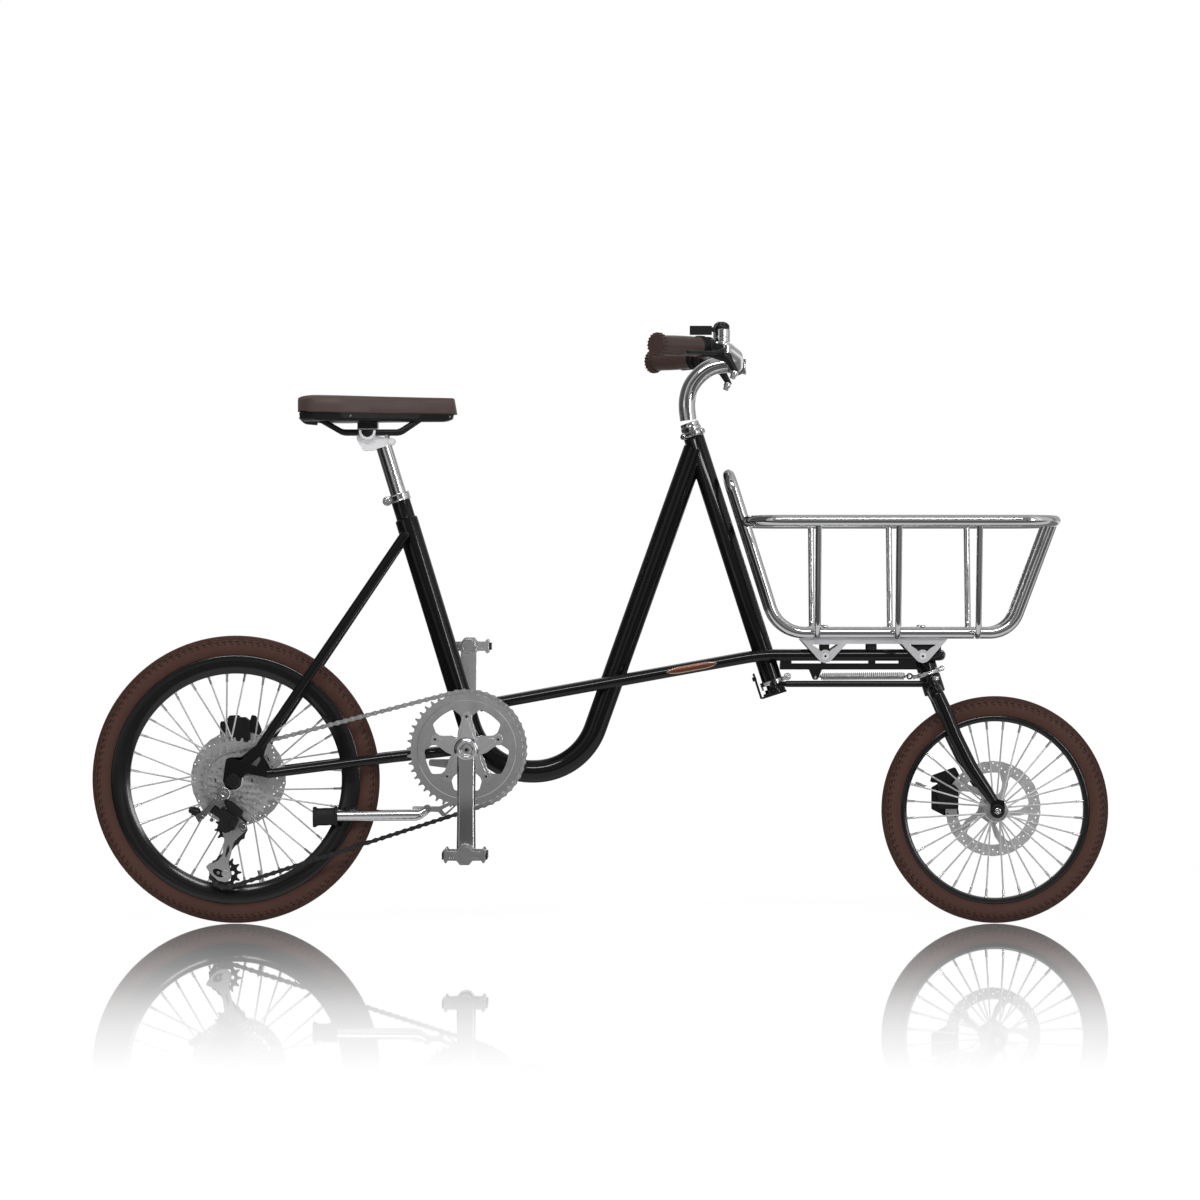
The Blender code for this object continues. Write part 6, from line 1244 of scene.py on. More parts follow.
cap_low = 0.4495
shapes = [closed_turned([(0.0130, cap_low), (0.0190, cap_low), (0.0213, cap_low + 0.0018), (0.0216, cap_low + 0.0024),
                         (0.0216, cap_low + 0.0070),
                         (0.0210, cap_low + 0.0077), (0.0184, cap_low + 0.0092), (0.0180, cap_low + 0.0100),
                         (0.0130, cap_low + 0.0100)],
                        HEAD_FOOT, HEAD_UP, 72)]
for number in range(3):
    turn = math.radians(-90 + 50 * (number - 1))
    out = HEAD_OUT * math.cos(turn) + ACROSS * math.sin(turn)
    spot = on_head(cap_low + 0.0048)
    shapes.append(turned([(0, 0.0190), (0.0048, 0.0190), (0.0050, 0.0200), (0.0050, 0.0232), (0.0042, 0.0243),
                          (0.0022, 0.0243), (0.0018, 0.0230), (0, 0.0230)],
                         spot, out, 24))
piece("headset_cap_skin", shapes, CHROME, "frame", "chrome_trim", "headset_upper", crease=30)


# Steering posts: black steel columns. Below each is a bright stop ring, drawn up by a bolt
# through its ear, then a flat arm to the link rod, and a folded stop plate under the rear one.

back = -HEAD_OUT
arm_height = (0.4 - 0.3841) / HEAD_UP[2] - 0.0108


def link_arm(place, low):
    """A flat arm out to the chain side with rounded ends, and a pin up through the rod's eye."""
    foot = place(low) + np.array((0, -0.0210, 0))
    pin = place(low, 0, -0.0400)
    outline = eased([(-0.006, 0.024), (0.006, 0.024), (0.0058, -0.024), (-0.0058, -0.024)],
                    (0.001, 0.001, 0.0055, 0.0055), 6)
    return [plate(outline, 0.0036, 0, origin=foot, along=HEAD_OUT, up=ACROSS),
            turned([(0, -0.0006), (0.0046, -0.0006), (0.0046, 0.0022), (0.0030, 0.0030), (0.0030, 0.0160),
                    (0.0046, 0.0160), (0.0046, 0.0168), (0, 0.0168)],
                   pin, HEAD_UP, 20)]


shapes = [turned([(0, 0.0060), (0.0127, 0.0060), (0.0127, 0.4732), (0, 0.4732)], HEAD_FOOT, HEAD_UP, 48),
          turned([(0, 0.0), (0.0166, 0.0), (0.01725, 0.0007), (0.01725, 0.0085), (0.0166, 0.0092), (0, 0.0092)],
                 HEAD_FOOT, HEAD_UP, 56)]
toe = plate([(-0.0215, -0.0130), (0.0215, -0.0130), (0.0215, 0.0130), (-0.0215, 0.0130)], 0.0032, 0,
            origin=on_head(-0.0010) + back * 0.0040, along=back, up=ACROSS)
heel = block((0.0036, 0.0260, 0.0440), on_head(0.0205) + back * 0.0265, along=back, up=HEAD_UP)
shapes += [toe, heel, rod(on_head(0.0330) + back * 0.0240, on_head(0.0330) + back * 0.0310, 0.0034, 6),
           *link_arm(on_head, arm_height)]
for side in (-1, 1):
    shapes.append(block((0.0300, 0.0022, 0.0044), on_head(0.0015, -0.0060, side * 0.0115), along=back, up=HEAD_UP))
piece("steering_post_skin", shapes, BLACK_ENAMEL, "steering_column", "black_paint", "steerer_tube", edge=0.0005)
nut_profile = [(0.0127, 0.4600), (0.0158, 0.4600), (0.0170, 0.4612), (0.0170, 0.4660), (0.0162, 0.4672),
               (0.0158, 0.4690), (0.0158, 0.4728),
               (0.0152, 0.4738), (0.0127, 0.4742)]
piece("post_ring_nut", [closed_turned(nut_profile, HEAD_FOOT, HEAD_UP, 64)], CHROME, "steering_column", "chrome_trim",
      crease=30)

RING_STEEL = finish("ring_steel", (0.80, 0.80, 0.81), 1.0, 0.20, 0.10, 60, 900, 0.00002)
collar = [(0.0128, -0.0036), (0.0206, -0.0036), (0.0216, -0.0026), (0.0219, -0.0014), (0.0208, -0.0003),
          (0.0208, 0.0003),
          (0.0219, 0.0014), (0.0216, 0.0028), (0.0206, 0.0038), (0.0128, 0.0038)]


def eye_ring(centre, radius, wire, axis=ACROSS):
    """A round wire bent to a ring."""
    angle = np.linspace(0, math.tau, 13)[:-1]
    return closed_turned(np.stack([radius + wire * np.cos(angle), wire * np.sin(angle)], -1).tolist(), centre, axis, 36)


def end_nut(spot, low, high, radius):
    return turned([(0, low), (radius, low), (radius, high - 0.0012), (radius * 0.85, high), (radius * 0.4, high),
                   (radius * 0.3, high - 0.0010), (0, high - 0.0010)],
                  spot, UP, 24)


open_collar = [(max(radius, 0.0188), height) for radius, height in collar]
shapes = [closed_turned(open_collar, on_head(0.0195), HEAD_UP, 64),
          block((0.0110, 0.0058, 0.0058), on_head(0.0195, 0.0240), along=HEAD_OUT, up=HEAD_UP),
          eye_ring(on_head(0.0205, 0.0265), 0.0042, 0.0019),
          rod(on_head(0.0195, 0.0265, -0.0070), on_head(0.0195, 0.0265, 0.0070), 0.0026, 20),
          end_nut(on_head(0.0040, 0.0010, -0.0400), 0.0130, 0.0190, 0.0044)]
shapes += [rod(on_head(0.0100, 0.0196 * math.cos(turn), 0.0196 * math.sin(turn)),
               on_head(0.0195, 0.0196 * math.cos(turn), 0.0196 * math.sin(turn)), 0.0016, 12)
           for turn in (1.2, 3.3, 5.4)]
piece("rear_stop_ring", shapes, RING_STEEL, "steering_column", "chrome_trim", "steerer_ring", crease=30, edge=0.0004)
shapes = [closed_turned(collar, on_fork(0), HEAD_UP, 64),
          block((0.0090, 0.0058, 0.0056), on_fork(0, -0.0235), along=HEAD_OUT, up=HEAD_UP),
          eye_ring(on_fork(0.0006, 0.0235), 0.0030, 0.0016),
          rod((0.5216, 0, 0.4125), on_fork(-0.0006, -0.0195), 0.0022, 16),
          end_nut(on_fork(-0.0300, 0.0, -0.0400), 0.0172, 0.0240, 0.0054)]
piece("fork_stop_ring", shapes, RING_STEEL, "front_fork", "chrome_trim", "fork_ring", crease=30, edge=0.0004)

link_start, link_end = on_head((0.4 - 0.3841) / HEAD_UP[2], 0, -0.0400), on_fork((0.4 - 0.4177) / HEAD_UP[2], 0,
        -0.0400)
shapes = [rod(link_start + ALONG * 0.0190, link_end - ALONG * 0.0190, 0.0053, 28, 0.001),
          rod(link_start, link_end, 0.0036, 20)]
for end, way in ((link_start, 1), (link_end, -1)):
    shapes.append(turned([(0, -0.0040), (0.0058, -0.0040), (0.0066, -0.0032), (0.0066, 0.0032), (0.0058, 0.0040),
                          (0, 0.0040)], end, HEAD_UP, 32))
    shapes.append(rod(end + ALONG * way * 0.0060, end + ALONG * way * 0.0240, 0.0044, 6, 0.001))
piece("steering_rod_skin", shapes, BLACK_ENAMEL, "steering_link", "black_paint", "link_rod", edge=0.0003)


# Fork: a steel crown brazed to its column, tapered legs raked forward, and end plates slotted
# for the axle, all in the frame's enamel.

fork_leg = np.array([(0.5605, 0.0360, 0.3824, 0.0105, 0.0110), (0.5720, 0.0395, 0.3570, 0.0105, 0.0115),
                     (0.5898, 0.0440, 0.3123, 0.0102, 0.0118),
                     (0.6153, 0.0480, 0.2605, 0.0092, 0.0117), (0.6415, 0.0510, 0.2221, 0.0078, 0.0098),
                     (0.6530, 0.0525, 0.2050, 0.0070, 0.0080)])
fork_axle = np.array((0.65875, 0.1895))
shapes = [turned([(0, -0.0200), (0.0127, -0.0200), (0.0127, 0.0430), (0, 0.0430)], FORK_MARK, HEAD_UP, 48),
          turned([(0, -0.0360), (0.0165, -0.0360), (0.0178, -0.0345), (0.0178, -0.0060), (0.0165, -0.0040),
                  (0, -0.0040)], FORK_MARK, HEAD_UP, 56),
          *link_arm(on_fork, arm_height - (0.4177 - 0.3841) / HEAD_UP[2])]
steps = np.linspace(0, 1, 60)
knots = np.concatenate([[0], np.cumsum(np.linalg.norm(np.diff(fork_leg[:, :3], axis=0), axis=1))])
knots /= knots[-1]
for side in (-1, 1):
    leg = np.stack([np.interp(steps, knots, fork_leg[:, column]) for column in range(5)], -1)
    for _ in range(3):
        leg[1:-1] = (leg[:-2] + 2 * leg[1:-1] + leg[2:]) / 4
    leg[:, 1] *= side
    shapes.append(carried(leg[:, :3], ring(32)[None] * leg[:, None, 3:], across=ACROSS))
    shoulder = bent_path([on_fork(-0.0270), on_fork(-0.0300, 0, side * 0.0230), (0.5605, side * 0.0360, 0.3800),
                          (0.5640, side * 0.0372, 0.3740)], 0.008, 0.001)
    shapes.append(tube(shoulder, np.linspace(0.0125, 0.0106, len(shoulder)), 28))
    lower = disc(fork_axle, 0.0120, 20)
    outline = [(0.6590, 0.2095), (0.6475, 0.2125),
               *[tuple(lower[number]) for number in (9, 10, 11, 12, 13, 14, 15, 16, 17, 18, 19, 0)], (0.6712, 0.1950),
               (0.6700, 0.2060)]
    shapes.append(plate(eased(outline, 0.002, 2), 0.0050, side * 0.0530))
piece("fork_skin", shapes, BLACK_ENAMEL, "front_fork", "black_paint", "fork", crease=50, edge=0.0004)


# Disc brakes: black cast callipers on steel adapter plates, each a ribbed block with a
# slot for its rotor, a round piston cap and two bolts.

CAST_BLACK = finish("cast_black", (0.010, 0.010, 0.011), 0.0, 0.30, 0.20, 50, 1500, 0.00003)


def calliper(name, body, middle, axle_spot, *nodes):
    """Ribs step the block's outline; the slot is the rotor's circle a little enlarged."""
    x, y, z = middle
    slot_centre = np.array(axle_spot)
    shapes = []
    for half, thick, offset in ((0.0170, 0.0040, 0.0124), (0.0160, 0.0050, 0.0085), (0.0170, 0.0026, 0.0052),
                                (0.0170, 0.0026, -0.0052), (0.0160, 0.0050, -0.0085), (0.0168, 0.0030, -0.0130)):
        outline = eased([(x - half, z - 0.0205), (x + half, z - 0.0205), (x + half, z + 0.0140),
                         (x + half * 0.5, z + 0.0205), (x - half, z + 0.0205)], 0.004)
        shapes.append(plate(outline, thick, y + offset))
    middle_up = np.array((x, z)) - slot_centre
    middle_up /= np.linalg.norm(middle_up)
    bridge = slot_centre + middle_up * 0.0925
    if math.dist(bridge, (x, z)) < 0.020:
        shapes.append(rod((bridge[0], y - 0.0120, bridge[1]), (bridge[0], y + 0.0120, bridge[1]), 0.0060, 20))
    shapes.append(turned([(0, 0.0130), (0.0118, 0.0130), (0.0120, 0.0140), (0.0120, 0.0195), (0.0108, 0.0208),
                          (0.0040, 0.0208), (0.0034, 0.0198), (0, 0.0198)],
                         (x, y, z), ACROSS, 40))
    return piece(name, shapes, CAST_BLACK, body, "black_plastic", *nodes, crease=30, edge=0.0006)


calliper("rear_calliper", "frame", (-0.6050, 0.0520, 0.3220), (-0.60825, 0.2400), "rear_brake_caliper")
calliper("front_calliper", "front_fork", (0.5830, 0.0370, 0.2100), (0.65875, 0.1895), "front_brake_caliper")
for name, body, outline, y, spots in (
    ("rear_adapter", "frame", [(-0.6400, 0.3080), (-0.5900, 0.3010), (-0.5700, 0.3030), (-0.5700, 0.3220),
                               (-0.5790, 0.3440), (-0.5870, 0.3470), (-0.5890, 0.3380), (-0.5960, 0.3340),
                                 (-0.6090, 0.3460), (-0.6250, 0.3450), (-0.6290, 0.3360), (-0.6400, 0.3350)], 0.0630,
     ((-0.6170, 0.3040), (-0.6160, 0.3380))),
    ("front_adapter", "front_fork",
     [(0.5560, 0.1880), (0.5720, 0.1800), (0.5900, 0.1700), (0.6030, 0.1760), (0.6010, 0.1900), (0.5980, 0.2130),
      (0.5930, 0.2290), (0.6040, 0.2440),
                                    (0.5960, 0.2590), (0.5570, 0.2450), (0.5530, 0.2330), (0.5700, 0.2320),
      (0.5560, 0.2250)], 0.0480,
     ((0.5740, 0.1960), (0.5740, 0.2240))),
):
    shapes = [plate(eased(outline, 0.004), 0.0050, y)]
    for x, z in spots:
        shapes.append(turned([(0, 0.0030), (0.0038, 0.0030), (0.0042, 0.0024), (0.0042, -0.0050), (0, -0.0050)],
                             (x, y, z), ACROSS, 20))
    piece(name, shapes, CAST_BLACK, body, "black_plastic", crease=30, edge=0.0005)


# Stem and handlebar: polished plated tubes. The stem curves up and forward out of the steering
# post to a split clamp; the bar rises from it and sweeps back to the grips.

stem_corners = [(0.1470, 0, 0.8393), (0.1435, 0, 0.8640), (0.1462, 0, 0.8835), (0.1520, 0, 0.8990), (0.1650, 0, 0.9155),
                (0.1861, 0, 0.9310), (0.2160, 0, 0.9335)]
stem_path = np.array(stem_corners)
knots = np.linspace(0, 1, len(stem_path))
fine = np.linspace(0, 1, 49)
stem_path = np.stack([np.interp(fine, knots, stem_path[:, axis_number]) for axis_number in range(3)], -1)
for _ in range(24):
    stem_path[1:-1] = (stem_path[:-2] + 2 * stem_path[1:-1] + stem_path[2:]) / 4
bar_clamp = np.array((0.2265, 0, 0.9285))
clamp_section = [(0.0110, -0.0225), (0.0145, -0.0225), (0.0155, -0.0214), (0.0155, 0.0214), (0.0145, 0.0225),
                 (0.0110, 0.0225)]
shapes = [tube(stem_path, 0.0140, 40), closed_turned(clamp_section, bar_clamp, ACROSS, 56),
          block((0.0080, 0.0380, 0.0250), bar_clamp + (0.0115, 0, 0)),
          tube(bent_path([(0.2080, 0, 0.9335), (0.2220, 0, 0.9300)], 0.01), 0.0135, 32)]
for side in (-1, 1):
    for rise in (-0.0095, 0.0095):
        shapes.append(rod(bar_clamp + (0.0140, side * 0.0130, rise), bar_clamp + (0.0166, side * 0.0130, rise), 0.0034,
                          20))
piece("stem_skin", shapes, CHROME, "steering_column", "chrome_trim", "stem", crease=35, edge=0.0006)
# Painted shade: black hexagons on the clamp bolts' heads stand for the shade in their sockets.
piece("stem_socket_shade", [rod(bar_clamp + (0.0150, side * 0.0130, rise), bar_clamp + (0.0168, side * 0.0130, rise), 0.0018,
                           6)
                       for side in (-1, 1) for rise in (-0.0095, 0.0095)], BLACK_PLASTIC_AND_SOCKET_SHADE, "steering_column",
      "dark_steel")

BAR_BEND = np.array((0.1860, 0.1800, 0.9520))
BAR_TIP = np.array((0.0920, 0.2750, 0.9510))
half_bar = bent_path([(0.2265, 0, 0.9285), (0.2265, 0.0400, 0.9285), (0.2250, 0.0800, 0.9435), (0.2080, 0.1350, 0.9525),
                      BAR_BEND, BAR_TIP],
                     [0, 0.05, 0.05, 0.08, 0.05, 0], 0.003)
half_bar = half_bar[1:] if np.allclose(half_bar[0], half_bar[1]) else half_bar
bar_path = np.concatenate([(half_bar * (1, -1, 1))[::-1], half_bar[1:]])
piece("handlebar_skin", [tube(bar_path, 0.0109, 36)], CHROME, "steering_column", "chrome_trim", "handlebar", crease=50)
BAR_WAY = (BAR_TIP - BAR_BEND) / np.linalg.norm(BAR_TIP - BAR_BEND)


def on_bar(side, length, out=(0, 0, 0)):
    """A point on the straight end of the bar, a length after its bend, mirrored for the right side."""
    return (BAR_BEND + BAR_WAY * length + np.array(out)) * (1, side, 1)


# Grips: smooth brown leather-look sleeves that swell at the palm, with a toothed ring at the
# outer end and a black ribbed collar at the inner one.

GRIP_BROWN = finish("grip_brown", (0.048, 0.027, 0.022), 0.0, 0.26, 0.18, 60, 900, 0.00005, shine=0.45)
for side, name in ((-1, "right"), (1, "left")):
    way = BAR_WAY * (1, side, 1)
    start = on_bar(side, 0.0275)
    length = np.linspace(0.0118, 0.1030, 60)
    swell = 0.0156 + 0.0009 * np.sin((length - 0.0118) / 0.0912 * math.pi) - 0.0004 * (np.abs(length - 0.040) < 0.0012)
    swell = np.where(length < 0.0150, 0.0166, swell)
    profile = [(0.0110, 0.0118), *zip(swell, length), (0.0168, 0.1034), (0.0168, 0.1110), (0.0110, 0.1110)]
    shapes = [closed_turned(profile, start, way, 64)]
    angle = np.linspace(0, math.tau, 20 * 12, endpoint=False)
    bumps = np.cos(angle * 20)
    rim = 0.0189 + 0.0013 * np.tanh(bumps * 2.0)
    stations = np.array([(0.0, 0.1005), (0.95, 0.1005), (1.0, 0.1015), (1.0, 0.1092), (0.95, 0.1104), (0.80, 0.1108),
                         (0.75, 0.1090), (0.69, 0.1090),
                         (0.64, 0.1108), (0.30, 0.1110), (0.0, 0.1110)])
    first = np.cross(way, UP)
    first /= np.linalg.norm(first)
    second = np.cross(way, first)
    round_it = np.cos(angle)[:, None] * first + np.sin(angle)[:, None] * second
    outward = np.where(stations[:, 0] > 0.9, rim[:, None], 0.0180)
    grid = start + (stations[:, 0] * outward)[..., None] * round_it[:, None] + stations[None, :, 1:] * way
    shapes.append(skin(grid, closed_rows=True))
    piece(f"{name}_grip_sleeve", shapes, GRIP_BROWN, "steering_column", "brown_grip", f"grip_{name}", crease=35)
    ribs = [(0.0110, 0.0), (0.0172, 0.0), (0.0178, 0.0007)]
    for number in range(4):
        base = 0.0012 + 0.0026 * number
        ribs += [(0.0178, base), (0.0178, base + 0.0013), (0.0170, base + 0.0016), (0.0170, base + 0.0023)]
    ribs += [(0.0178, 0.0116), (0.0172, 0.0122), (0.0110, 0.0122)]
    piece(f"{name}_grip_collar", [closed_turned(ribs, start, way, 48)], BLACK_PLASTIC_AND_SOCKET_SHADE, "steering_column",
          "black_plastic", crease=30)


# Brake levers: black blades that pivot on bright pins, on split clamps round the bar.
# The gear lever is a thumb pad on a small turned housing with a slotted black dome.

LEVER_ALLOY = finish("lever_alloy", (0.78, 0.78, 0.79), 1.0, 0.09, 0.08, 60, 700, 0.00001)
for side, name in ((-1, "right"), (1, "left")):
    way = BAR_WAY * (1, side, 1)
    middle = on_bar(side, 0.0175)
    pivot = np.array((0.204183, side * 0.208542, 0.947944))
    clamp = [(0.0110, -0.0065), (0.0156, -0.0065), (0.0165, -0.0056), (0.0165, 0.0056), (0.0156, 0.0065),
             (0.0110, 0.0065)]
    nose_path = middle + (pivot - middle) * np.linspace(0.30, 1.0, 8)[:, None]
    perch = bent_path([middle + (0, 0, -0.004), pivot + (0.001, 0, -0.012), pivot + (0.0175, side * 0.0020, -0.0400)],
                      0.02, 0.002)
    thick = np.linspace(0.0105, 0.0082, len(perch))
    thick[-3:] = 0.0079, 0.0066, 0.0045
    shapes = [closed_turned(clamp, middle, way, 48), tube(nose_path, np.linspace(0.0086, 0.0082, 8), 28),
              tube(perch, thick, 28)]
    piece(f"{name}_lever_mount", shapes, BLACK_PLASTIC_AND_SOCKET_SHADE, "steering_column", "black_plastic", f"brake_mount_{name}",
          crease=30, edge=0.0006)
    foot = pivot + (0.0150, side * 0.0020, -0.0360)
    shapes = [rod(pivot - (0, 0, 0.0075), pivot + (0, 0, 0.0075), 0.0078, 28, 0.001),
              rod(pivot - (0, 0, 0.0092), pivot + (0, 0, 0.0092), 0.0040, 20),
              turned([(0, 0), (0.0058, 0), (0.0062, 0.0010), (0.0062, 0.0070), (0.0048, 0.0080), (0.0048, 0.0130),
                      (0.0036, 0.0142), (0, 0.0142)],
                     foot, (-0.35, 0, -0.94), 28)]
    piece(f"{name}_lever_trim", shapes, LEVER_ALLOY, "steering_column", "chrome_trim", crease=30, edge=0.0005)
    along = way
    ahead = np.array((side * along[1], -side * along[0], 0.0))
    stations = np.array([(-0.0060, 0.0, 0.0052), (0.0, 0.0, 0.0066), (0.0120, 0.0060, 0.0062), (0.0350, 0.0090, 0.0050),
                         (0.0750, 0.0080, 0.0045),
                         (0.0930, 0.0094, 0.0052), (0.0980, 0.0100, 0.0058), (0.1010, 0.0103, 0.0040)])
    fine = np.linspace(0, 1, 50)
    knots = (stations[:, 0] - stations[0, 0]) / (stations[-1, 0] - stations[0, 0])
    smooth = np.stack([np.interp(fine, knots, stations[:, column]) for column in range(3)], -1)
    for _ in range(4):
        smooth[1:-1] = (smooth[:-2] + 2 * smooth[1:-1] + smooth[2:]) / 4
    path = pivot + smooth[:, :1] * along + smooth[:, 1:2] * ahead - UP * 0.0080 * np.clip(smooth[:, :1] / 0.035, 0, 1)
    oval = ring(20)[None] * np.stack([np.full(50, 0.0028), smooth[:, 2]], -1)[:, None]
    shapes = [carried(path, oval * (1.0, 0.60), across=ahead)]
    piece(f"{name}_lever_blade", shapes, BLACK_PLASTIC_AND_SOCKET_SHADE, f"{name}_lever", "bare_alloy", f"brake_lever_{name}", crease=45)

hub_place = np.array((0.1980, -0.1700, -0.0030))
profile = [(0, 0.9640), (0.0130, 0.9640), (0.0140, 0.9648), (0.0140, 0.9700), (0.0136, 0.9706), (0.0136, 0.9718),
           (0.0140, 0.9724), (0.0140, 0.9842),
           (0.0134, 0.9850), (0, 0.9850)]
piece("shifter_housing_skin", [turned(profile, hub_place, UP, 48),
                               rod((0.1980, -0.1700, 0.9450), (0.1980, -0.1700, 0.9660), 0.0090, 28)], LEVER_ALLOY,
      "steering_column", "chrome_trim", "shifter_housing", crease=30)
piece("shifter_dome", [turned([(0, 0.9846), (0.0128, 0.9846), (0.0132, 0.9853), (0.0130, 0.9905), (0.0118, 0.9928),
                               (0.0085, 0.9958), (0.0040, 0.9972), (0, 0.9975)],
                              hub_place, UP, 48)], BLACK_PLASTIC_AND_SOCKET_SHADE, "steering_column", "black_plastic")
piece("shifter_slot", [block((0.0016, 0.0030, 0.0105), (0.1900 + 0.0052 * number, -0.1800, 0.9890 - 0.0007 * number),
                             along=np.array((0.83, 0, -0.56)), up=np.array((0.56, 0, 0.83)))
                       for number in range(3)], LEVER_ALLOY, "steering_column", "bare_alloy")
pad = [block((0.0360, 0.0114, 0.0146), (0.1637, -0.1900, 0.9790))]
piece("gear_thumb_pad", pad + [rod((0.1750, -0.1888, 0.9805), (0.1868, -0.1793, 0.9810), 0.0040, 20)], BLACK_PLASTIC_AND_SOCKET_SHADE,
      "gear_lever", "black_plastic",
      "shift_lever", edge=0.0026)


# Saddle: a firm pad under smooth brown leather, pulled tight with a stitched crease below its
# upper edge, on a black moulded shell; two steel rails run through the post's clamp.

LEATHER = finish("brown_leather", (0.060, 0.036, 0.030), 0.0, 0.42, 0.18, 40, 700, 0.00010, shine=0.40)
stations = np.array([(-0.5050, 0.0500, 0.8760, 0.8530), (-0.4850, 0.0820, 0.8800, 0.8500),
                     (-0.4300, 0.0830, 0.8790, 0.8480),
                     (-0.3650, 0.0520, 0.8780, 0.8480), (-0.3000, 0.0270, 0.8772, 0.8490),
                     (-0.2410, 0.0190, 0.8762, 0.8505)])


def cushion_surface():
    """Along the saddle by u, round its section by v: a low edge, an upright side that leans out a little, a
    bevel and a crowned top, each a share of the half width and of the height between the low and top lines."""
    u = np.linspace(0, 1, 121)
    knots = (stations[:, 0] - stations[0, 0]) / (stations[-1, 0] - stations[0, 0])
    x, half, top, low = (np.interp(u, knots, stations[:, column]) for column in range(4))
    for values in (half, top, low):
        for _ in range(30):
            values[1:-1] = (values[:-2] + 2 * values[1:-1] + values[2:]) / 4
    low = np.minimum(low, 0.8490) - 0.0015 + 0.0050 * np.clip((0.12 - u) / 0.12, 0, 1)
    closing = np.clip(1 - np.clip(np.maximum((0.050 - u) / 0.050, (u - 0.985) / 0.015), 0, 1) ** 2.4, 0, 1) ** 0.5
    section = np.array([(0.0, 0.0), (0.55, -0.02), (0.90, 0.0), (0.985, 0.04), (1.0, 0.10), (1.0, 0.42), (0.995, 0.70),
                        (0.985, 0.755), (0.955, 0.80),
                        (0.90, 0.90), (0.84, 0.965), (0.74, 0.99), (0.45, 0.985), (0.0, 0.955)])
    section = np.concatenate([section, section[-2:0:-1] * (-1, 1)])
    half = half * (0.10 + 0.90 * closing)
    across = half[:, None] * section[None, :, 0]
    height = low[:, None] + (top - low)[:, None] * (0.06 + (0.94 - 0.05 * (1 - closing))[:, None] * section[None, :, 1])
    lean = 0.0045 * np.clip((u - 0.85) / 0.15, 0, 1)[:, None] * (0.5 - section[None, :, 1])
    grid = np.stack([x[:, None] + lean, across, height], -1)
    return skin(grid)


cushion = piece("saddle_cushion_skin", [cushion_surface()], LEATHER, "saddle_post", "brown_leather", "saddle_cushion",
                crease=24)
shell = [(-0.5030, 0), (-0.5000, 0.0540), (-0.4760, 0.0770), (-0.4300, 0.0785), (-0.3680, 0.0500), (-0.3000, 0.0250),
         (-0.2440, 0.0165)]
shell += [(x, -y) for x, y in reversed(shell[1:])]
outline = eased(shell, 0.012, 5)
levels = ((0.8370, 0.90), (0.8380, 0.935), (0.8410, 0.985), (0.8500, 1.0))
grid = np.stack([np.stack([-0.40 + (outline[:, 0] + 0.40) * scale, outline[:, 1] * scale,
                           np.full(len(outline), height)], -1) for height, scale in levels])
rails = []
for side in (-1, 1):
    path = bent_path([(-0.4700, side * 0.0300, 0.8420), (-0.4300, side * 0.0220, 0.8190),
                      (-0.3350, side * 0.0220, 0.8190), (-0.3000, side * 0.0120, 0.8420)], 0.020, 0.002)
    rails.append(tube(path, 0.0047, 20))
shapes = [skin(grid), *rails, rod((-0.3880, -0.0262, 0.8205), (-0.3880, 0.0262, 0.8205), 0.0092, 32),
          block((0.0330, 0.0520, 0.0130), (-0.3880, 0, 0.8290)), block((0.0240, 0.0520, 0.0060), (-0.3880, 0, 0.8215)),
          tube(bent_path([(-0.4975, 0, 0.8490), (-0.4900, 0, 0.8410), (-0.4720, 0, 0.8395)], 0.006, 0.002), 0.0085, 24)]
piece("saddle_shell_skin", shapes, BLACK_PLASTIC_AND_SOCKET_SHADE, "saddle_post", "black_plastic", "saddle_base", crease=35, edge=0.0006)
rivets = [block((0.0340, 0.0530, 0.0022), (-0.3880, 0, 0.8240))]
for x, half in ((-0.4140, 0.0722), (-0.3370, 0.0362), (-0.2510, 0.0172)):
    rivets += [rod((x, side * (half - 0.002), 0.8450), (x, side * (half + 0.0012), 0.8450), 0.0018, 16) for side in (-1,
            1)]
piece("saddle_clamp_trim", rivets, LEVER_ALLOY, "saddle_post", "bare_alloy", crease=30)

HEAD_ALLOY = finish("cast_alloy", (0.60, 0.60, 0.61), 0.0, 0.34, 0.08, 45, 900, 0.00003, shine=0.5)
POST_ALLOY = finish("post_alloy", (0.86, 0.86, 0.87), 1.0, 0.07, 0.10, 45, 900, 0.00001, 5.0)
head = eased([(-0.4050, 0.8185), (-0.4065, 0.8075), (-0.3960, 0.7885), (-0.3810, 0.7890), (-0.3500, 0.7980),
              (-0.3480, 0.8090), (-0.3720, 0.8130)], 0.003)
shapes = [turned([(0, -0.0900), (0.0128, -0.0900), (0.0136, -0.0890), (0.0136, 0.2400), (0, 0.2400)], SEAT_MARK,
                 SEAT_UP, 56),
          rod(on_seat(0.2440, 0.0100), on_seat(0.2520, 0.0100), 0.0040, 6, 0.0006)]
angle = np.radians(np.linspace(172, 368, 22))
cradle = [(-0.3880 + 0.0140 * math.cos(turn), 0.8205 + 0.0140 * math.sin(turn)) for turn in angle]
cradle += [(-0.3880 + 0.0098 * math.cos(turn), 0.8205 + 0.0098 * math.sin(turn)) for turn in angle[::-1]]
piece("seat_post_cradle", [plate(head, 0.0300, 0),
                           rod((-0.3480, -0.0190, 0.8040), (-0.3480, 0.0190, 0.8040), 0.0058, 28, 0.001),
                           plate(cradle, 0.0540, 0)],
      HEAD_ALLOY, "saddle_post", "bare_alloy", crease=30, edge=0.0006)
for number in range(9):
    mark = on_seat(0.1650 + 0.0050 * number)
    shapes.append(rod(mark - ACROSS * 0.0134, mark - ACROSS * 0.0137, 0.0009, 8, 0.0001))
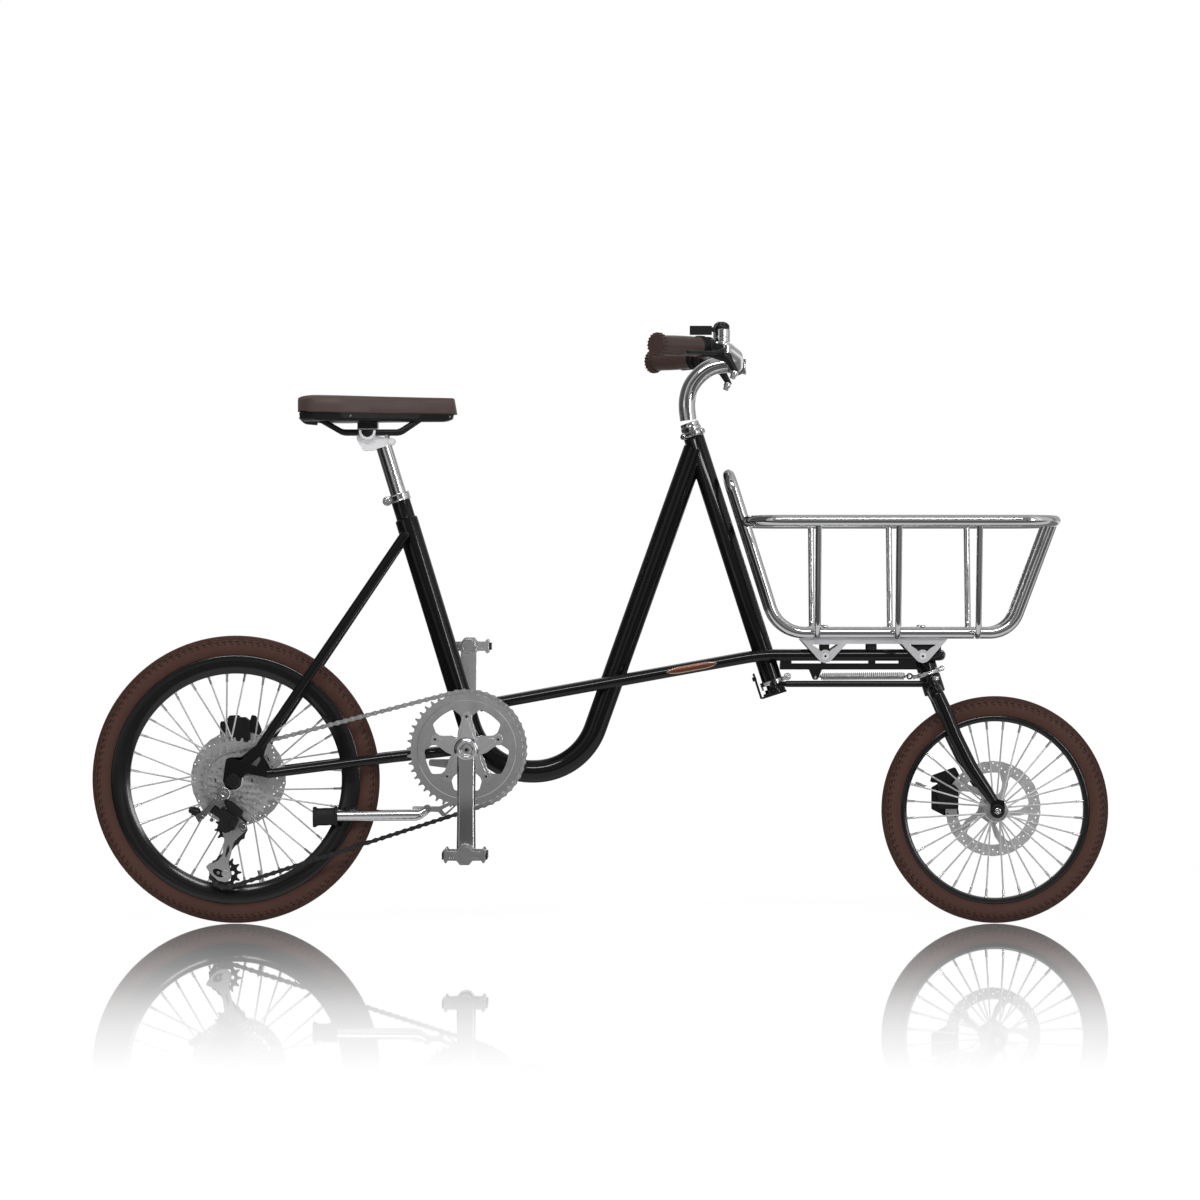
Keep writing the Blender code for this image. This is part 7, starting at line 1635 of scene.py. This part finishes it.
piece("seat_post_skin", shapes, POST_ALLOY, "saddle_post", "bare_alloy", "seatpost", crease=30, edge=0.0006)


# Basket: bright plated tubes, bent and welded. A rounded rim, one long loop that runs along
# the floor and up behind as a tall hoop, and three hoops across from side to side.

def flat_loop(x_low, x_high, half, z, corner):
    corners = [(x_low, -half), (x_high, -half), (x_high, half), (x_low, half)]
    points = []
    for number, (x, y) in enumerate(corners):
        before = np.array(corners[number - 1], float) - (x, y)
        after = np.array(corners[(number + 1) % 4], float) - (x, y)
        before, after = before / np.linalg.norm(before), after / np.linalg.norm(after)
        middle = np.array((x, y)) + (before + after) * corner
        turn = np.linspace(0, math.pi / 2, 13)[:, None]
        arc = middle - after * corner * np.cos(turn) - before * corner * np.sin(turn)
        points.append(arc)
    flat = np.concatenate(points)
    return np.concatenate([flat, np.full((len(flat), 1), z)], 1)


piece("basket_rim_skin", [tube(flat_loop(0.2445, 0.7511, 0.145, 0.67, 0.060), 0.0095, 36, closed=True)], CHROME,
      "frame", "chrome_trim",
      "basket_rim", crease=60)
cradle = [(0.7511, -0.042, 0.67), (0.6815, -0.042, 0.485), (0.2965, -0.042, 0.485), (0.2135, -0.042, 0.7480),
          (0.2135, 0.042, 0.7480), (0.2965, 0.042, 0.485), (0.6815, 0.042, 0.485), (0.7511, 0.042, 0.67)]
cradle_path = bent_path(cradle, [0, 0.050, 0.060, 0.028, 0.028, 0.060, 0.050, 0], 0.004)
shapes = [tube(cradle_path, 0.0100, 36)]
for x in (0.3580, 0.4904, 0.6226):
    hoop = bent_path([(x, -0.1450, 0.6635), (x, -0.1120, 0.4800), (x, 0.1120, 0.4800), (x, 0.1450, 0.6635)], 0.030,
                     0.003)
    shapes.append(tube(hoop, 0.0052, 24))
piece("basket_frame_skin", shapes, CHROME, "frame", "chrome_trim", "basket_frame", crease=60)
piece("basket_bolts", [turned([(0, 0.0), (0.0050, 0.0), (0.0050, 0.0012), (0.0036, 0.0030), (0, 0.0034)],
                              (x, y, 0.4946), UP, 24)
                       for x in (0.3737, 0.5357) for y in (-0.042, 0.042)], CHROME, "frame", "chrome_trim")


# Basket bracket: folded satin steel sheet with bridge-shaped cheeks, bolted through black
# rubber blocks to both rails.

BRACKET_GREY = finish("bracket_grey", (0.40, 0.40, 0.41), 0.0, 0.50, 0.08, 40, 1500, 0.00002)
feet = (0.3737, 0.5357)
lower = []
for x in reversed(feet):
    foot = [(x + 0.0134 * math.cos(turn),
             0.4481 + 0.0134 * math.sin(turn)) for turn in np.radians((-38, -60, -90, -120, -142))]
    right = (x + 0.0405, 0.4735) if x == feet[1] else (x + 0.0352, 0.4665)
    left = (x - 0.0405, 0.4735) if x == feet[0] else (x - 0.0352, 0.4665)
    lower += [right, *foot, left]
outline = [(0.3335, 0.4746), *reversed(lower[:]), (0.5760, 0.4746)]
windows = []
for x in feet:
    arc = [(x + 0.0108 * math.cos(turn),
            0.4458 + 0.0112 * math.sin(turn)) for turn in np.radians((48, 70, 90, 110, 132))]
    windows.append(eased([(x + 0.0228, 0.4655), (x + 0.0118, 0.4585), *arc, (x - 0.0118, 0.4585), (x - 0.0228, 0.4655)],
                         0.0006, 1))
shapes = [plate(outline, 0.0028, side * 0.0407, *windows) for side in (-1, 1)]
shapes.append(block((0.2360, 0.0812, 0.0028), (0.4520, 0, 0.4732)))
piece("basket_bracket_skin", shapes, BRACKET_GREY, "frame", "bracket_metal", "basket_bracket", crease=30, edge=0.0005)
bolts = []
for x in feet:
    for side in (-1, 1):
        spot = np.array((x, side * 0.0420, 0.4460))
        bolts.append(turned([(0, 0), (0.0060, 0), (0.0062, 0.0004), (0.0062, 0.0012), (0.0044, 0.0014),
                             (0.0044, 0.0034), (0.0038, 0.0040), (0.0022, 0.0040), (0.0020, 0.0028), (0, 0.0028)],
                            spot, ACROSS * side, 24))
piece("bracket_bolts", bolts, HEAD_ALLOY, "frame", "bare_alloy", crease=30)
# Painted shade: black hexagons filling the bracket bolts' sockets stand for the shade in them.
piece("bracket_socket_shade", [rod((x, side * 0.0440, 0.4460), (x, side * 0.0461, 0.4460), 0.0021, 6,
                                   0.0002) for x in feet for side in (-1, 1)], BLACK_NUT_AND_SOCKET_SHADE,
      "frame", "dark_steel")
blocks = []
for x, long in ((feet[0], 0.0140), (0.4520, 0.0150), (feet[1] + 0.0080, 0.0460)):
    for side in (-1, 1):
        blocks.append(block((long, 0.0140, 0.0150), (x, side * 0.0290, 0.4630)))
piece("bracket_rubbers", blocks, TREAD_RUBBER, "frame", "black_plastic", edge=0.001)


# Centring spring: hard-drawn plated wire close-coiled between the lower bar's lug and the
# fork's ring, that pulls the front wheel straight, with a bent hook at each end.

SPRING_STEEL = finish("spring_steel", (0.50, 0.50, 0.51), 1.0, 0.14, 0.08, 80, 900, 0.000004)
spring_from, spring_to = np.array((0.3651, 0, 0.4113)), np.array((0.5168, 0, 0.4125))
spring_way = (spring_to - spring_from) / np.linalg.norm(spring_to - spring_from)
spring_up = np.cross(spring_way, ACROSS)
turns = 43
share = np.linspace(0, 1, turns * 16 + 1)[:, None]
length = np.linalg.norm(spring_to - spring_from)
swell = np.clip(np.minimum(share, 1 - share) * 30, 0.15, 1)
coil = spring_from + spring_way * (0.0005 + share * (length - 0.0060))
coil = coil + 0.0056 * swell * (ACROSS * np.cos(share * turns * math.tau) - spring_up * np.sin(share * turns * math.tau))
wire_path = np.concatenate([[spring_from], coil, [spring_to]])
piece("spring_wire", [tube(wire_path, 0.0010, 8)], SPRING_STEEL, "frame", "bare_alloy", "steering_spring", crease=80)
piece("spring_hook", [eye_ring((0.5165, 0, 0.4120), 0.0042, 0.0014)], BLACK_NUT_AND_SOCKET_SHADE, "frame", "black_plastic")
piece("lug_pin", [rod((0.3591, -0.0060, 0.4105), (0.3591, 0.0060, 0.4105), 0.0022, 16)], LEVER_ALLOY, "frame",
      "bare_alloy")
